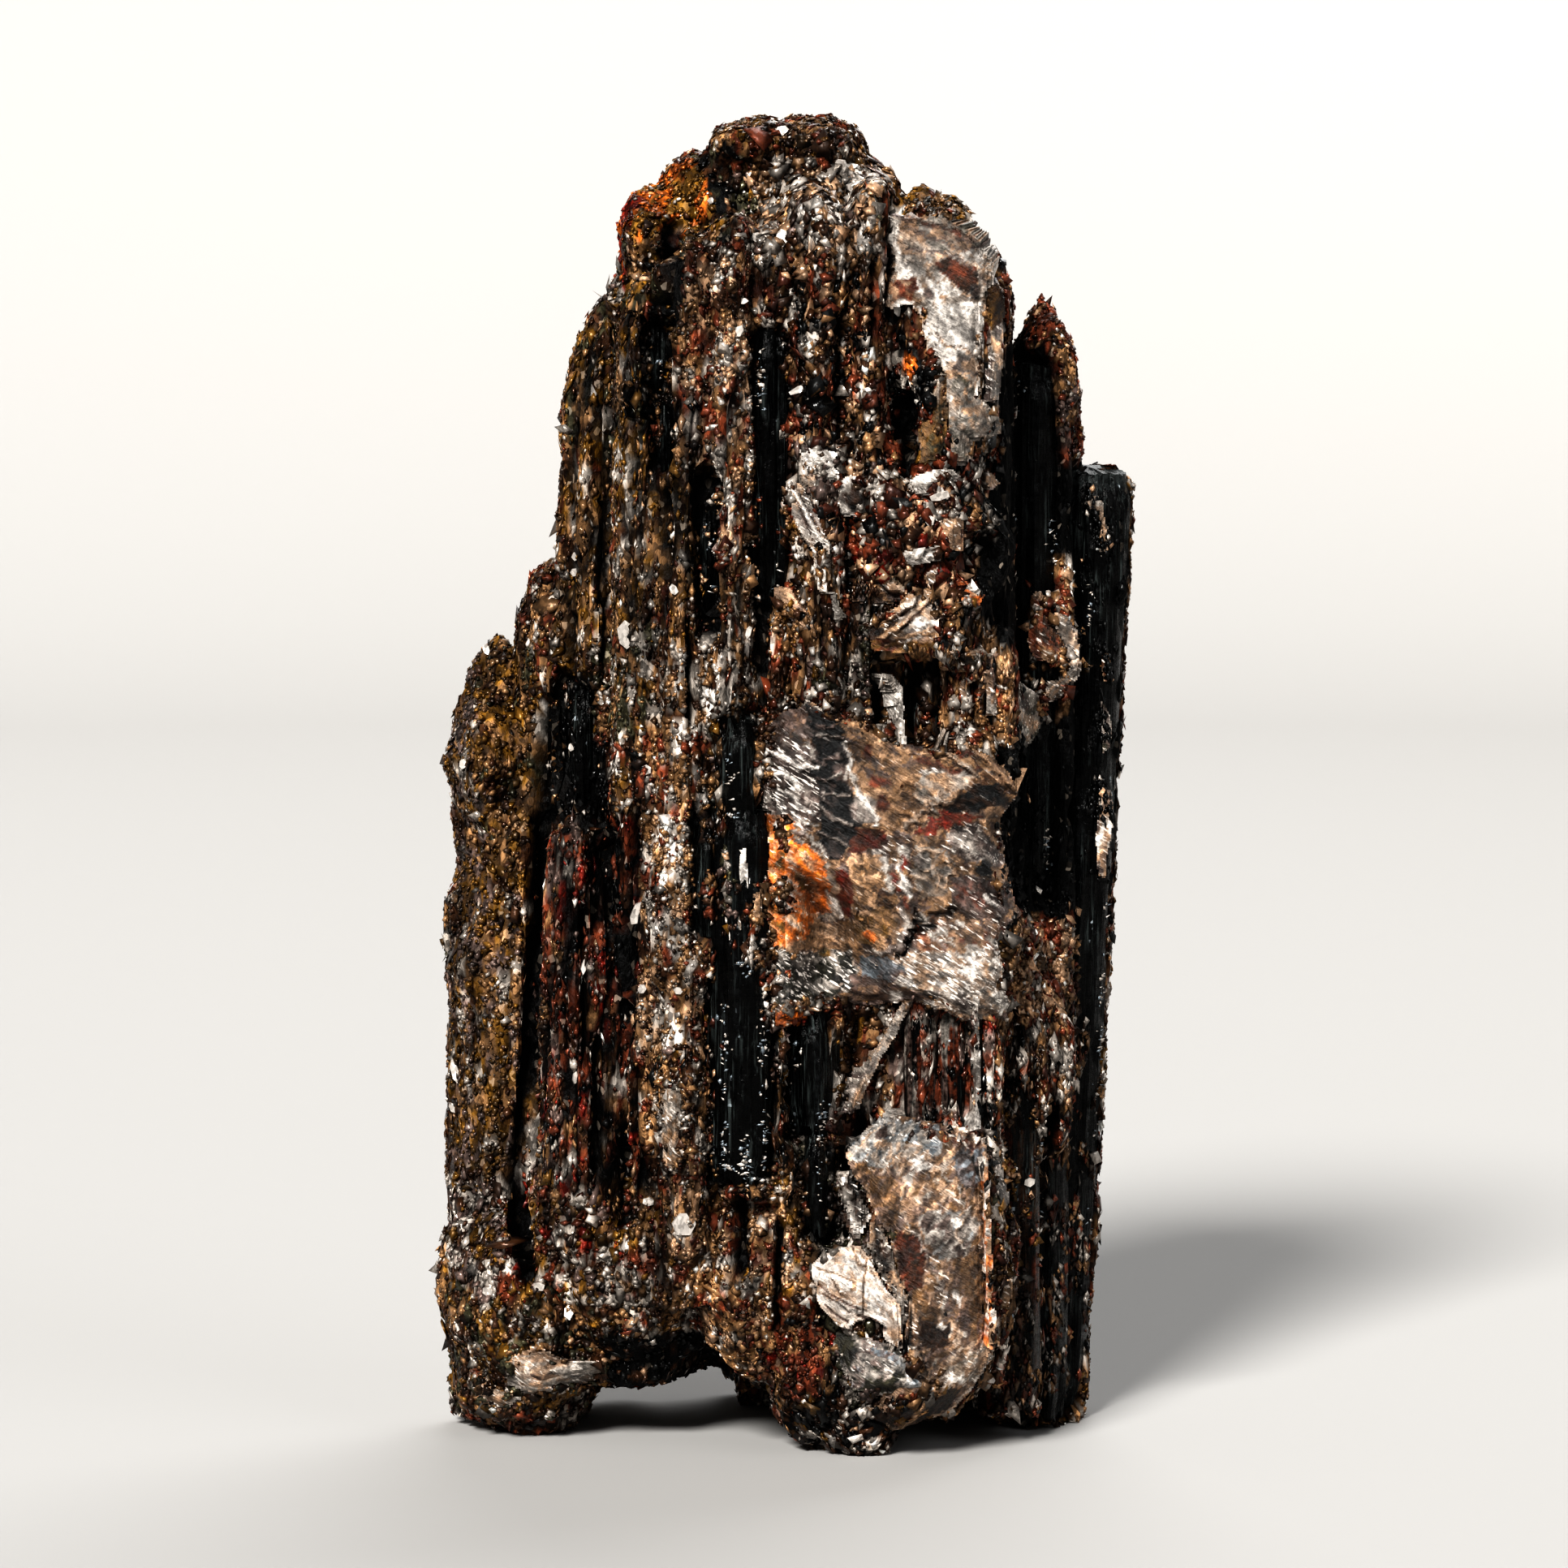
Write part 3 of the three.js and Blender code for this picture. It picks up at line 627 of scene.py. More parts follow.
@dataclass
class CrustPlan:
    """Says what covers any point of the specimen: its patch, ribs, gaps and colours.

    front_reach is how far back the front goes, facing and gap_facing how far its normals may turn from it,
    ragged how uneven the patches' borders are, and borders where one background mix gives way to the next.
    """

    noise: Noise
    bare: tuple[Bare, ...] = ()
    front_reach: float = 3.0
    facing: float = 0.45
    gap_facing: float = 0.5
    ragged: float = 0.8
    borders: tuple[float, ...] = (-0.55, -0.1, 0.25, 0.6)

    def patches(self, points: Array, normals: Array) -> Array:
        """Finds each point's patch.

        Args:
            points: rows of x, y and z.
            normals: the surface's normals there.

        Returns:
            For each point a number into BACKGROUND + PATCHES.
        """
        broad = self.noise.smooth(points, (5, 5, 14), 3) + 0.5 * self.noise.smooth(points, (1.6, 1.6, 5), 4)
        found = np.searchsorted(np.array(self.borders), broad)
        x = points[:, 0] + self.ragged * self.noise.smooth(points, (1.4, 1.4, 2.4), 5)
        z = points[:, 2] + self.ragged * 1.8 * self.noise.smooth(points, (1.2, 1.2, 2.6), 6)
        front = (points[:, 1] < self.front_reach) & (normals[:, 1] < self.facing)
        for number, area in enumerate(PATCHES, start=len(BACKGROUND)):
            inside = (np.abs(x - area.x) < area.half_x) & (np.abs(z - area.z) < area.half_z)
            found[inside & front] = number
        return found

    def ribs(self, points: Array) -> Array:
        """Finds how high the upright ribs are.

        Args:
            points: rows of x, y and z.

        Returns:
            For each point from about -1 in a gap to 1 on a crest.
        """
        wide = self.noise.smooth(points, (1.5, 1.5, 17), 30)
        middle = self.noise.smooth(points, (0.8, 0.8, 5.5), 31)
        fine = self.noise.smooth(points, (0.4, 0.4, 2.4), 32)
        owner, border = self.noise.cells(points, (1.3, 1.3, 9), 33)
        column = 0.5 * (self.noise.at_cell(owner, 37) - 0.5) - 1.1 * (1 - eased(border, 0.0, 0.26))
        return 0.25 + 0.4 * wide + 0.35 * middle + 0.15 * fine + column

    def gaps(self, points: Array, normals: Array) -> Array:
        """Finds the gaps of the front, where shade is painted.

        Args:
            points: rows of x, y and z.
            normals: the surface's normals there.

        Returns:
            How deep in a gap each point is, from 0 to 1.
        """
        deep = np.zeros(len(points))
        x = points[:, 0] + 0.14 * self.noise.smooth(points, (0.8, 0.8, 3.0), 8)
        for gap in GROOVES:
            along = np.clip((gap.z0 - points[:, 2]) / (gap.z0 - gap.z1), 0, 1)
            past = np.maximum(points[:, 2] - gap.z0, gap.z1 - points[:, 2])
            away = np.hypot(x - (gap.x0 + (gap.x1 - gap.x0) * along), np.maximum(past, 0) * 0.6)
            deep = np.maximum(deep, 1 - eased(away, gap.width * 0.3, gap.width * 0.6))
        return np.where((normals[:, 1] < self.gap_facing) & (points[:, 1] < self.front_reach), deep, 0)

    def bareness(self, points: Array) -> Array:
        """Finds where a prism stands free of crust, with ragged edges.

        Args:
            points: rows of x, y and z.

        Returns:
            For each point from 0 in the crust to 1 on a bare prism.
        """
        bare = np.zeros(len(points))
        ragged = points.copy()
        ragged[:, 0] += 0.5 * self.noise.layered(points, (0.9, 0.9, 1.5), 2, 54)
        ragged[:, 2] += 0.9 * self.noise.layered(points, (0.8, 0.8, 1.2), 2, 56)
        for area in self.bare:
            bare = np.maximum(bare, area.at(ragged))
        return bare

    def look(self, found: Array, name: str) -> Array:
        """Returns one value of each point's patch, such as its aspect."""
        return np.array([getattr(area, name) for area in BACKGROUND + PATCHES])[found]

    def clumps(self, points: Array) -> tuple[Array, Array]:
        """Finds the clump that each point lies in, well under a millimetre wide.

        Args:
            points: rows of x, y and z.

        Returns:
            A number from 0 to 1 for each point's clump, and from 0 on its rim to 1 inside.
        """
        warp = np.stack(
            [self.noise.layered(points, (0.7, 0.7, 0.9), 2, 40 + 2 * axis) for axis in range(3)], axis=1
        )
        owner, border = self.noise.cells(points + 0.5 * warp, (0.66, 0.66, 0.9), 20)
        return self.noise.at_cell(owner, 24), eased(border, 0.0, 0.34)

    def colours(self, found: Array, chance: Array, loose: Array) -> Array:
        """Picks a colour at each point.

        Args:
            found: each point's patch number.
            chance: the number of each point's clump.
            loose: from 0 to 1, added to the clumps' numbers so that single flakes stray from them.

        Returns:
            Linear RGB rows.
        """
        chance = (chance + loose) % 1.0
        colours = np.zeros((len(found), 3))
        for number, area in enumerate(BACKGROUND + PATCHES):
            here = found == number
            if here.any():
                colours[here] = area.mix.draw(chance[here])
        return colours

    def light(self, points: Array, inside: Array) -> Array:
        """Finds how light the crust is: it varies at random, with painted shade on the sunken rims of the
        clumps.

        Args:
            points: rows of x, y and z.
            inside: from 0 on a clump's rim to 1 inside it, for each point.

        Returns:
            One factor for each point.
        """
        broad = self.noise.layered(points, (2.2, 2.2, 5.0), 2, 46)
        fine = self.noise.layered(points, (0.75, 0.75, 1.1), 3, 49)
        return np.exp(1.0 * broad + 1.0 * fine) * (0.42 + 0.8 * inside)


@dataclass
class CrystalBody:
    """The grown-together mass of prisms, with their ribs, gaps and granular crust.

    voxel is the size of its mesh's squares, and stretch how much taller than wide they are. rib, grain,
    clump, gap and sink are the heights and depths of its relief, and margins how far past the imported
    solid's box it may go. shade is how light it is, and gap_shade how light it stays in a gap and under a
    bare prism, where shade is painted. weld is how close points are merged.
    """

    plan: CrustPlan
    voxel: float = 0.26
    stretch: float = 3.2
    rib: float = 0.4
    grain: float = 0.16
    clump: float = 0.22
    gap: float = 1.1
    sink: float = 1.0
    margins: tuple[float, float, float] = (0.4, 0.3, 0.0)
    shade: float = 1.25
    gap_shade: float = 0.02
    weld: float = 0.001
    smooth_angle: float = 38.0

    def build(self) -> bpy.types.Object:
        """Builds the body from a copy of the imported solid.

        Returns:
            The finished body.
        """
        body = self._merged_copy()
        self._even_mesh(body)
        self._relief(body)
        make_active(body)
        bpy.ops.object.shade_smooth_by_angle(angle=math.radians(self.smooth_angle))
        return body

    def _merged_copy(self) -> bpy.types.Object:
        """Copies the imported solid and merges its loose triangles.

        Returns:
            The copy.
        """
        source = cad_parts[NODE]
        body = bpy.data.objects.new("crystal_body", source.data.copy())
        bpy.context.scene.collection.objects.link(body)
        body.data.materials.clear()
        make_active(body)
        with edit_mode(Pick.POINTS):
            bpy.ops.mesh.select_all(action="SELECT")
            bpy.ops.mesh.remove_doubles(threshold=self.weld * MM)
        return body

    def _even_mesh(self, body: bpy.types.Object) -> None:
        """Meshes the body evenly, with points closer together across the ribs than along them.

        Args:
            body: the merged copy.
        """
        squeeze = np.array([1.0, 1.0, 1.0 / self.stretch])
        write_points(body, read_points(body) * squeeze)
        apply_modifier(body, "REMESH", mode="VOXEL", voxel_size=self.voxel * MM, adaptivity=0.0)
        write_points(body, read_points(body) / squeeze)
        apply_modifier(body, "SMOOTH", factor=0.5, iterations=2)

    def _relief(self, body: bpy.types.Object) -> None:
        """Raises ribs and grains, sinks the gaps between ribs, and colours the crust, with painted shade in
        the rib troughs, the gaps and under bare prisms.

        Args:
            body: the evenly meshed body.
        """
        plan, noise = self.plan, self.plan.noise
        points, normals = read_points(body), read_normals(body)
        found = plan.patches(points, normals)
        deep, bare = plan.gaps(points, normals), plan.bareness(points)
        upright = 1 - eased(np.abs(normals[:, 2]), 0.5, 0.9)
        ribbed = np.clip(0.35 + (plan.look(found, "aspect") - 1.2) * 0.7, 0.3, 1.0) * upright
        ribs = plan.ribs(points)
        lumps = noise.layered(points, (1.1, 1.1, 1.6), 3, 34)
        chance, inside = plan.clumps(points)
        height = self.rib * ribbed * ribs + self.grain * (1.5 - ribbed) * lumps - self.gap * deep * upright
        height += self.clump * (1.3 - ribbed) * (inside - 0.7)
        height = np.where(bare > 0, height * (1 - bare) - self.sink * bare, height)
        moved = points + normals * height[:, None]
        write_points(body, held_near_box(moved, self.margins))
        colours = plan.colours(found, chance, np.zeros(len(points)))
        # Painted shade: darker in the troughs of the ribs, on the rims of the clumps, in the gaps and where
        # a bare prism stands.
        light = self.shade * plan.light(points, inside) * (1 - ribbed * (1 - eased(ribs, -0.75, 0.2)))
        sunk = np.clip(np.maximum(deep * 1.3, bare), 0, 1)
        light = np.maximum(light, 0.02) * (1 - (1 - self.gap_shade) * sunk)
        write_tint(body, colours * light[:, None], np.where((deep > 0.5) | (bare > 0.5), 1.0, 0.2))


@dataclass
class FlakeCrust:
    """Many thousands of small mica flakes on the body, each a closed low pyramid on four corners.

    crest is a flake's height, and size its width beside that of its patch. Flakes with an aspect above
    ribbed_aspect stand upright, and some are slivers, narrower and longer by sliver_shape. reach is how
    far their corners are from the middle, stray_share the share in a tone of their own, and bright_share
    the share in bright_mix. rim_density and rim_spread are for the flakes along edges, and strewn holds
    boxes as x, z of two corners with the number of flakes on a square millimetre.
    """

    plan: CrustPlan
    count: int = 150000
    pieces: int = 5
    crest: float = 0.075
    tilt: float = 0.22
    size: float = 0.8
    size_spread: float = 0.36
    length_spread: float = 0.2
    ribbed_aspect: float = 1.5
    sliver_share: float = 0.12
    sliver_shape: tuple[float, float] = (0.6, 1.4)
    reach: tuple[float, float] = (0.42, 0.78)
    crest_range: tuple[float, float] = (0.5, 1.6)
    crest_shift: float = 0.16
    margins: tuple[float, float, float] = (0.6, 0.4, 0.3)
    stray_share: float = 0.3
    bright_share: float = 0.06
    bright_mix: Mix = Mix("silver 3 tan 3 pearl 2")
    rim_density: float = 14.0
    rim_spread: float = 0.25
    strewn: tuple[tuple[float, float, float, float, float], ...] = (
        (12.2, 1.6, 18.6, 25.0, 13.0),
        (14.0, 25.0, 18.0, 34.0, 15.0),
        (16.8, 34.0, 19.6, 57.0, 1.5),
        (13.2, 34.0, 16.0, 46.0, 2.0),
        (7.2, 18.8, 12.6, 27.6, 3.0),
        (-13.0, 38.4, -11.0, 46.0, 4.0),
    )
    rng: np.random.Generator = field(default_factory=lambda: np.random.default_rng(SEED))

    def build(self, body: bpy.types.Object) -> list[bpy.types.Object]:
        """Scatters the flakes over the body.

        Args:
            body: the crystal body that they lie on.

        Returns:
            The pieces, from the foot to the top.
        """
        plan = self.plan
        places, normals = self._scatter(body)
        found = plan.patches(places, normals)
        ribbed = np.clip(0.2 + (plan.look(found, "aspect") - 1.2) * 0.8, 0.15, 1.0)
        crested = 1 - ribbed * (1 - eased(plan.ribs(places), -0.35, 0.15))
        cover = plan.look(found, "cover") * crested
        cover *= (1 - plan.gaps(places, normals)) ** 3 * (1 - plan.bareness(places)) ** 4
        kept = self.rng.random(len(places)) < cover
        places, normals, found = places[kept], normals[kept], found[kept]
        groups = np.array_split(np.argsort(places[:, 2]), self.pieces)
        made = []
        for number, group in enumerate(groups, start=1):
            made.append(self._flakes(f"mica_flakes_{number}", places[group], normals[group], found[group]))
        return made

    def rims(
        self, outlines: Sequence[Sequence[tuple[float, float]]], dressed: "Dressed"
    ) -> bpy.types.Object:
        """Scatters flakes along edges on the front, so that the crust laps over them, and over the boxes.

        Args:
            outlines: closed outlines of corners as x and z.
            dressed: the fronts that the flakes lie on.

        Returns:
            The piece of flakes.
        """
        places = []
        for outline in outlines:
            starts = np.array(outline)
            ends = np.roll(starts, -1, axis=0)
            lengths = np.linalg.norm(ends - starts, axis=1)
            count = int(lengths.sum() * self.rim_density)
            side = self.rng.choice(len(starts), count, p=lengths / lengths.sum())
            along = self.rng.random((count, 1))
            spots = starts[side] * (1 - along) + ends[side] * along
            spots += self.rng.normal(0, self.rim_spread, (count, 2))
            places.extend((x, dressed.front(x, z), z) for x, z in spots)
        for x0, z0, x1, z1, density in self.strewn:
            count = int((x1 - x0) * (z1 - z0) * density)
            spots = self.rng.uniform((x0, z0), (x1, z1), (count, 2))
            places.extend((x, dressed.front(x, z), z) for x, z in spots)
        spots = np.array([place for place in places if place[1] is not None], float)
        spots = spots[self.plan.noise.layered(spots, (1.2, 1.2, 1.8), 2, 58) > -0.02]
        normals = np.tile([0.0, -1.0, 0.0], (len(spots), 1))
        return self._flakes("mica_flakes_rims", spots, normals, self.plan.patches(spots, normals))

    def _scatter(self, body: bpy.types.Object) -> tuple[Array, Array]:
        """Picks places all over the body, evenly by area.

        Args:
            body: the crystal body.

        Returns:
            The places and the normals there.
        """
        mesh = body.data
        mesh.calc_loop_triangles()
        corners = np.empty(len(mesh.loop_triangles) * 3, np.int32)
        mesh.loop_triangles.foreach_get("vertices", corners)
        points = read_points(body)[corners.reshape(-1, 3)]
        cross = np.cross(points[:, 1] - points[:, 0], points[:, 2] - points[:, 0])
        area = np.linalg.norm(cross, axis=1)
        smooth = read_normals(body)[corners.reshape(-1, 3)].mean(axis=1)
        picked = self.rng.choice(len(area), self.count, p=area / area.sum())
        share = self.rng.random((self.count, 2))
        over = share.sum(axis=1) > 1
        share[over] = 1 - share[over]
        first, second, third = points[picked].transpose(1, 0, 2)
        places = first + (second - first) * share[:, :1] + (third - first) * share[:, 1:]
        normals = smooth[picked]
        return places, normals / np.linalg.norm(normals, axis=1, keepdims=True)

    def _flakes(self, name: str, places: Array, normals: Array, found: Array) -> bpy.types.Object:
        """Builds one piece of flakes and colours them.

        Args:
            name: the piece's name.
            places: rows of x, y and z.
            normals: the surface's normals there.
            found: the number of each place's patch.

        Returns:
            The piece.
        """
        rng, count = self.rng, len(places)
        aspect = 1 + 0.7 * (self.plan.look(found, "aspect") - 1)
        tilted = normals + rng.normal(0, self.tilt, (count, 3)) * np.array([1.0, 1.0, 0.8])
        tilted /= np.linalg.norm(tilted, axis=1, keepdims=True)
        upright = np.tile([0.0, 0.0, 1.0], (count, 1)) + rng.normal(0, 0.14, (count, 3))
        loose = (aspect < self.ribbed_aspect) | (np.abs(tilted[:, 2]) > 0.85)
        upright[loose] = rng.normal(0, 1, (loose.sum(), 3))
        across = np.cross(upright, tilted)
        across /= np.linalg.norm(across, axis=1, keepdims=True)
        along = np.cross(tilted, across)
        size = self.size * self.plan.look(found, "size") * np.exp(rng.normal(0, self.size_spread, count))
        wide = size / np.sqrt(aspect)
        tall = size * np.sqrt(aspect) * np.exp(rng.normal(0, self.length_spread, count))
        sliver = (aspect > self.ribbed_aspect) & (rng.random(count) < self.sliver_share)
        wide[sliver] *= self.sliver_shape[0]
        tall[sliver] *= self.sliver_shape[1]
        angle = np.arange(4) * np.pi / 2 + rng.uniform(-0.4, 0.4, (count, 4))
        reach = rng.uniform(*self.reach, (count, 4))
        middle = places + tilted * rng.uniform(0.0, 0.08, (count, 1))
        rim = middle[:, None] + across[:, None] * (np.cos(angle) * reach * wide[:, None])[..., None]
        rim += along[:, None] * (np.sin(angle) * reach * tall[:, None])[..., None]
        crest = middle + tilted * (self.crest * rng.uniform(*self.crest_range, (count, 1)))
        crest += across * (rng.normal(0, self.crest_shift, (count, 1)) * wide[:, None])
        crest += along * (rng.normal(0, self.crest_shift, (count, 1)) * tall[:, None])
        points = np.concatenate([rim, crest[:, None]], axis=1).reshape(-1, 3)
        points = held_near_box(points, self.margins)
        pyramid = np.array([(0, 1, 4), (1, 2, 4), (2, 3, 4), (3, 0, 4), (0, 3, 2), (0, 2, 1)])
        faces = (pyramid[None] + (np.arange(count) * 5)[:, None, None]).reshape(-1, 3)
        made = mesh_object(name, points, faces)
        self._tint(made, places, found, ribs=self.plan.ribs(places))
        return made

    def _tint(self, made: bpy.types.Object, places: Array, found: Array, ribs: Array) -> None:
        """Colours the flakes: most as their surroundings, some astray, a few bright, with painted light and
        shade.

        Args:
            made: the piece of flakes.
            places: where they lie.
            found: the number of each place's patch.
            ribs: how high the ribs are there.
        """
        rng, count = self.rng, len(places)
        loose = np.where(rng.random(count) < self.stray_share, rng.random(count), 0.0)
        chance, inside = self.plan.clumps(places)
        colours = self.plan.colours(found, chance, loose)
        # Painted light and shade: the clouds carry the shade on the clumps' rims, and flakes on rib crests
        # are lighter, in troughs darker.
        clouds = self.plan.light(places, inside)
        light = clouds * np.exp(rng.normal(0.1, 0.28, count)) * (0.95 + 0.4 * np.clip(ribs, -1, 1))
        light = np.clip(light, 0.1, 1.6)
        # A few flakes take bright_mix, partly pale mica and partly a painted highlight, fewer of them on
        # the left.
        dull = eased(places[:, 0], -15.0, -9.0) * 0.8 + 0.2
        bright = rng.random(count) < self.bright_share * np.clip(clouds, 0.3, 2.0) * dull
        colours[bright] = self.bright_mix.draw(rng.random(bright.sum()))
        rows = np.concatenate([colours * light[:, None], rng.random((count, 1))], axis=1)
        rows = np.repeat(rows, 5, axis=0)
        write_tint(made, rows[:, :3], rows[:, 3])


class Skin:
    """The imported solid's outside, for laying pieces onto its front and back."""

    def __init__(self) -> None:
        """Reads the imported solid's triangles."""
        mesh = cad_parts[NODE].data
        points = [vertex.co / MM for vertex in mesh.vertices]
        self.tree = BVHTree.FromPolygons(points, [tuple(face.vertices) for face in mesh.polygons])

    def front(self, x: float, z: float, side: float = 1.0) -> Optional[float]:
        """Returns the front's y here, or None beside it. A side of -1 gives the back's, sign changed."""
        place = self.tree.ray_cast(Vector((x, RAY_START * side, z)), Vector((0.0, side, 0.0)))[0]
        return None if place is None else place.y * side

    def bed(self, low: Array, high: Array, side: float, step: float = 0.7) -> "Bed":
        """Lays a smooth surface just before the front or the back, over a box in x and z.

        Args:
            low: the box's lower corner.
            high: its upper corner.
            side: 1 for the front, -1 for the back.
            step: how far apart the surface's depths are.

        Returns:
            The surface.
        """
        shape = np.maximum(((high - low) / step).astype(int) + 2, 4)
        xs, zs = (np.linspace(low[axis], high[axis], shape[axis]) for axis in range(2))
        rows = [[self.front(x, z, side) for x in xs] for z in zs]
        depth = np.array([[np.nan if y is None else y for y in row] for row in rows])
        depth = np.where(np.isnan(depth), np.nanmin(depth), depth)
        depth = self._spread(depth, np.min)
        for _ in range(2):
            depth = self._spread(depth, np.mean)
        return Bed(xs, zs, depth)

    def _spread(self, depth: Array, kind: Callable[..., Array]) -> Array:
        """Replaces each depth with the least or the mean of itself and its eight neighbours.

        Args:
            depth: rows of depths.
            kind: the least or the mean, as a function.

        Returns:
            The new rows.
        """
        padded = np.pad(depth, 1, mode="edge")
        rows, columns = depth.shape
        near = [padded[i : i + rows, j : j + columns] for i in range(3) for j in range(3)]
        return kind(np.stack(near), axis=0)


@dataclass
class Bed:
    """A smooth surface given by depths on a grid of x and z."""

    xs: Array
    zs: Array
    depth: Array

    def at(self, x: Array, z: Array) -> Array:
        """Finds how deep the surface lies.

        Args:
            x: the places' x.
            z: the places' z.

        Returns:
            The surface's y at each place.
        """
        column = np.clip((x - self.xs[0]) / (self.xs[1] - self.xs[0]), 0, len(self.xs) - 1.001)
        row = np.clip((z - self.zs[0]) / (self.zs[1] - self.zs[0]), 0, len(self.zs) - 1.001)
        i, j = row.astype(int), column.astype(int)
        up, over = row - i, column - j
        lower = self.depth[i, j] * (1 - over) + self.depth[i, j + 1] * over
        upper = self.depth[i + 1, j] * (1 - over) + self.depth[i + 1, j + 1] * over
        return lower * (1 - up) + upper * up


@dataclass(frozen=True)
class Stain:
    """A soft round cloud of other tones in a sheet.

    x and z give its middle, light is how bright it is, and dash how many bright lines it has, painted
    highlights. Below 0, it has as many as the sheet around it.
    """

    x: float
    z: float
    reach_x: float
    reach_z: float
    mix: Mix
    light: float = 1.0
    dash: float = -1.0


@dataclass(frozen=True)
class Area:
    """A part of a sheet inside an outline, in tones of its own.

    light is how bright it is, and dash how many bright lines it has, painted highlights.
    """

    outline: tuple[tuple[float, float], ...]
    mix: Mix
    light: float
    dash: float


def near_line(x: Array, z: Array, corners: Sequence[tuple[float, float]], width: float) -> Array:
    """Says which places lie on a line.

    Args:
        x: the places' x.
        z: the places' z.
        corners: the line's corners as x and z.
        width: how far from the line its soft edge ends.

    Returns:
        For each place 1 on the line and 0 away from it.
    """
    best = np.full(len(x), 1e9)
    for (x0, z0), (x1, z1) in zip(corners, corners[1:]):
        length = (x1 - x0) ** 2 + (z1 - z0) ** 2
        along = np.clip(((x - x0) * (x1 - x0) + (z - z0) * (z1 - z0)) / length, 0, 1)
        best = np.minimum(best, np.hypot(x - x0 - along * (x1 - x0), z - z0 - along * (z1 - z0)))
    return 1 - eased(best, width * 0.3, width)


@dataclass(frozen=True)
class Crease:
    """A raised or sunken streak in a sheet, along corners in x and z, in tones of its own.

    light is how bright it is, and height how far it stands out, or is sunk where it is below 0. The pale
    colour of raised streaks is partly a painted highlight, and the dark of sunken ones partly painted
    shade.
    """

    corners: tuple[tuple[float, float], ...]
    width: float
    light: float
    height: float
    mix: Mix


@dataclass(frozen=True)
class Wrinkles:
    """The wrinkles of a sheet at its points.

    flat holds the points' places in its plane, and fine their places along and across its grain. crest and
    fold are how high its wrinkles and folds are there, frayed how far stains run along the grain, and stray
    rows of how far noise moves a place. x and z are where stains and streaks are looked up, and near says
    for each streak which points lie on it.
    """

    flat: Array
    fine: Array
    crest: Array
    fold: Array
    frayed: Array
    stray: Array
    x: Array
    z: Array
    near: list[Array]


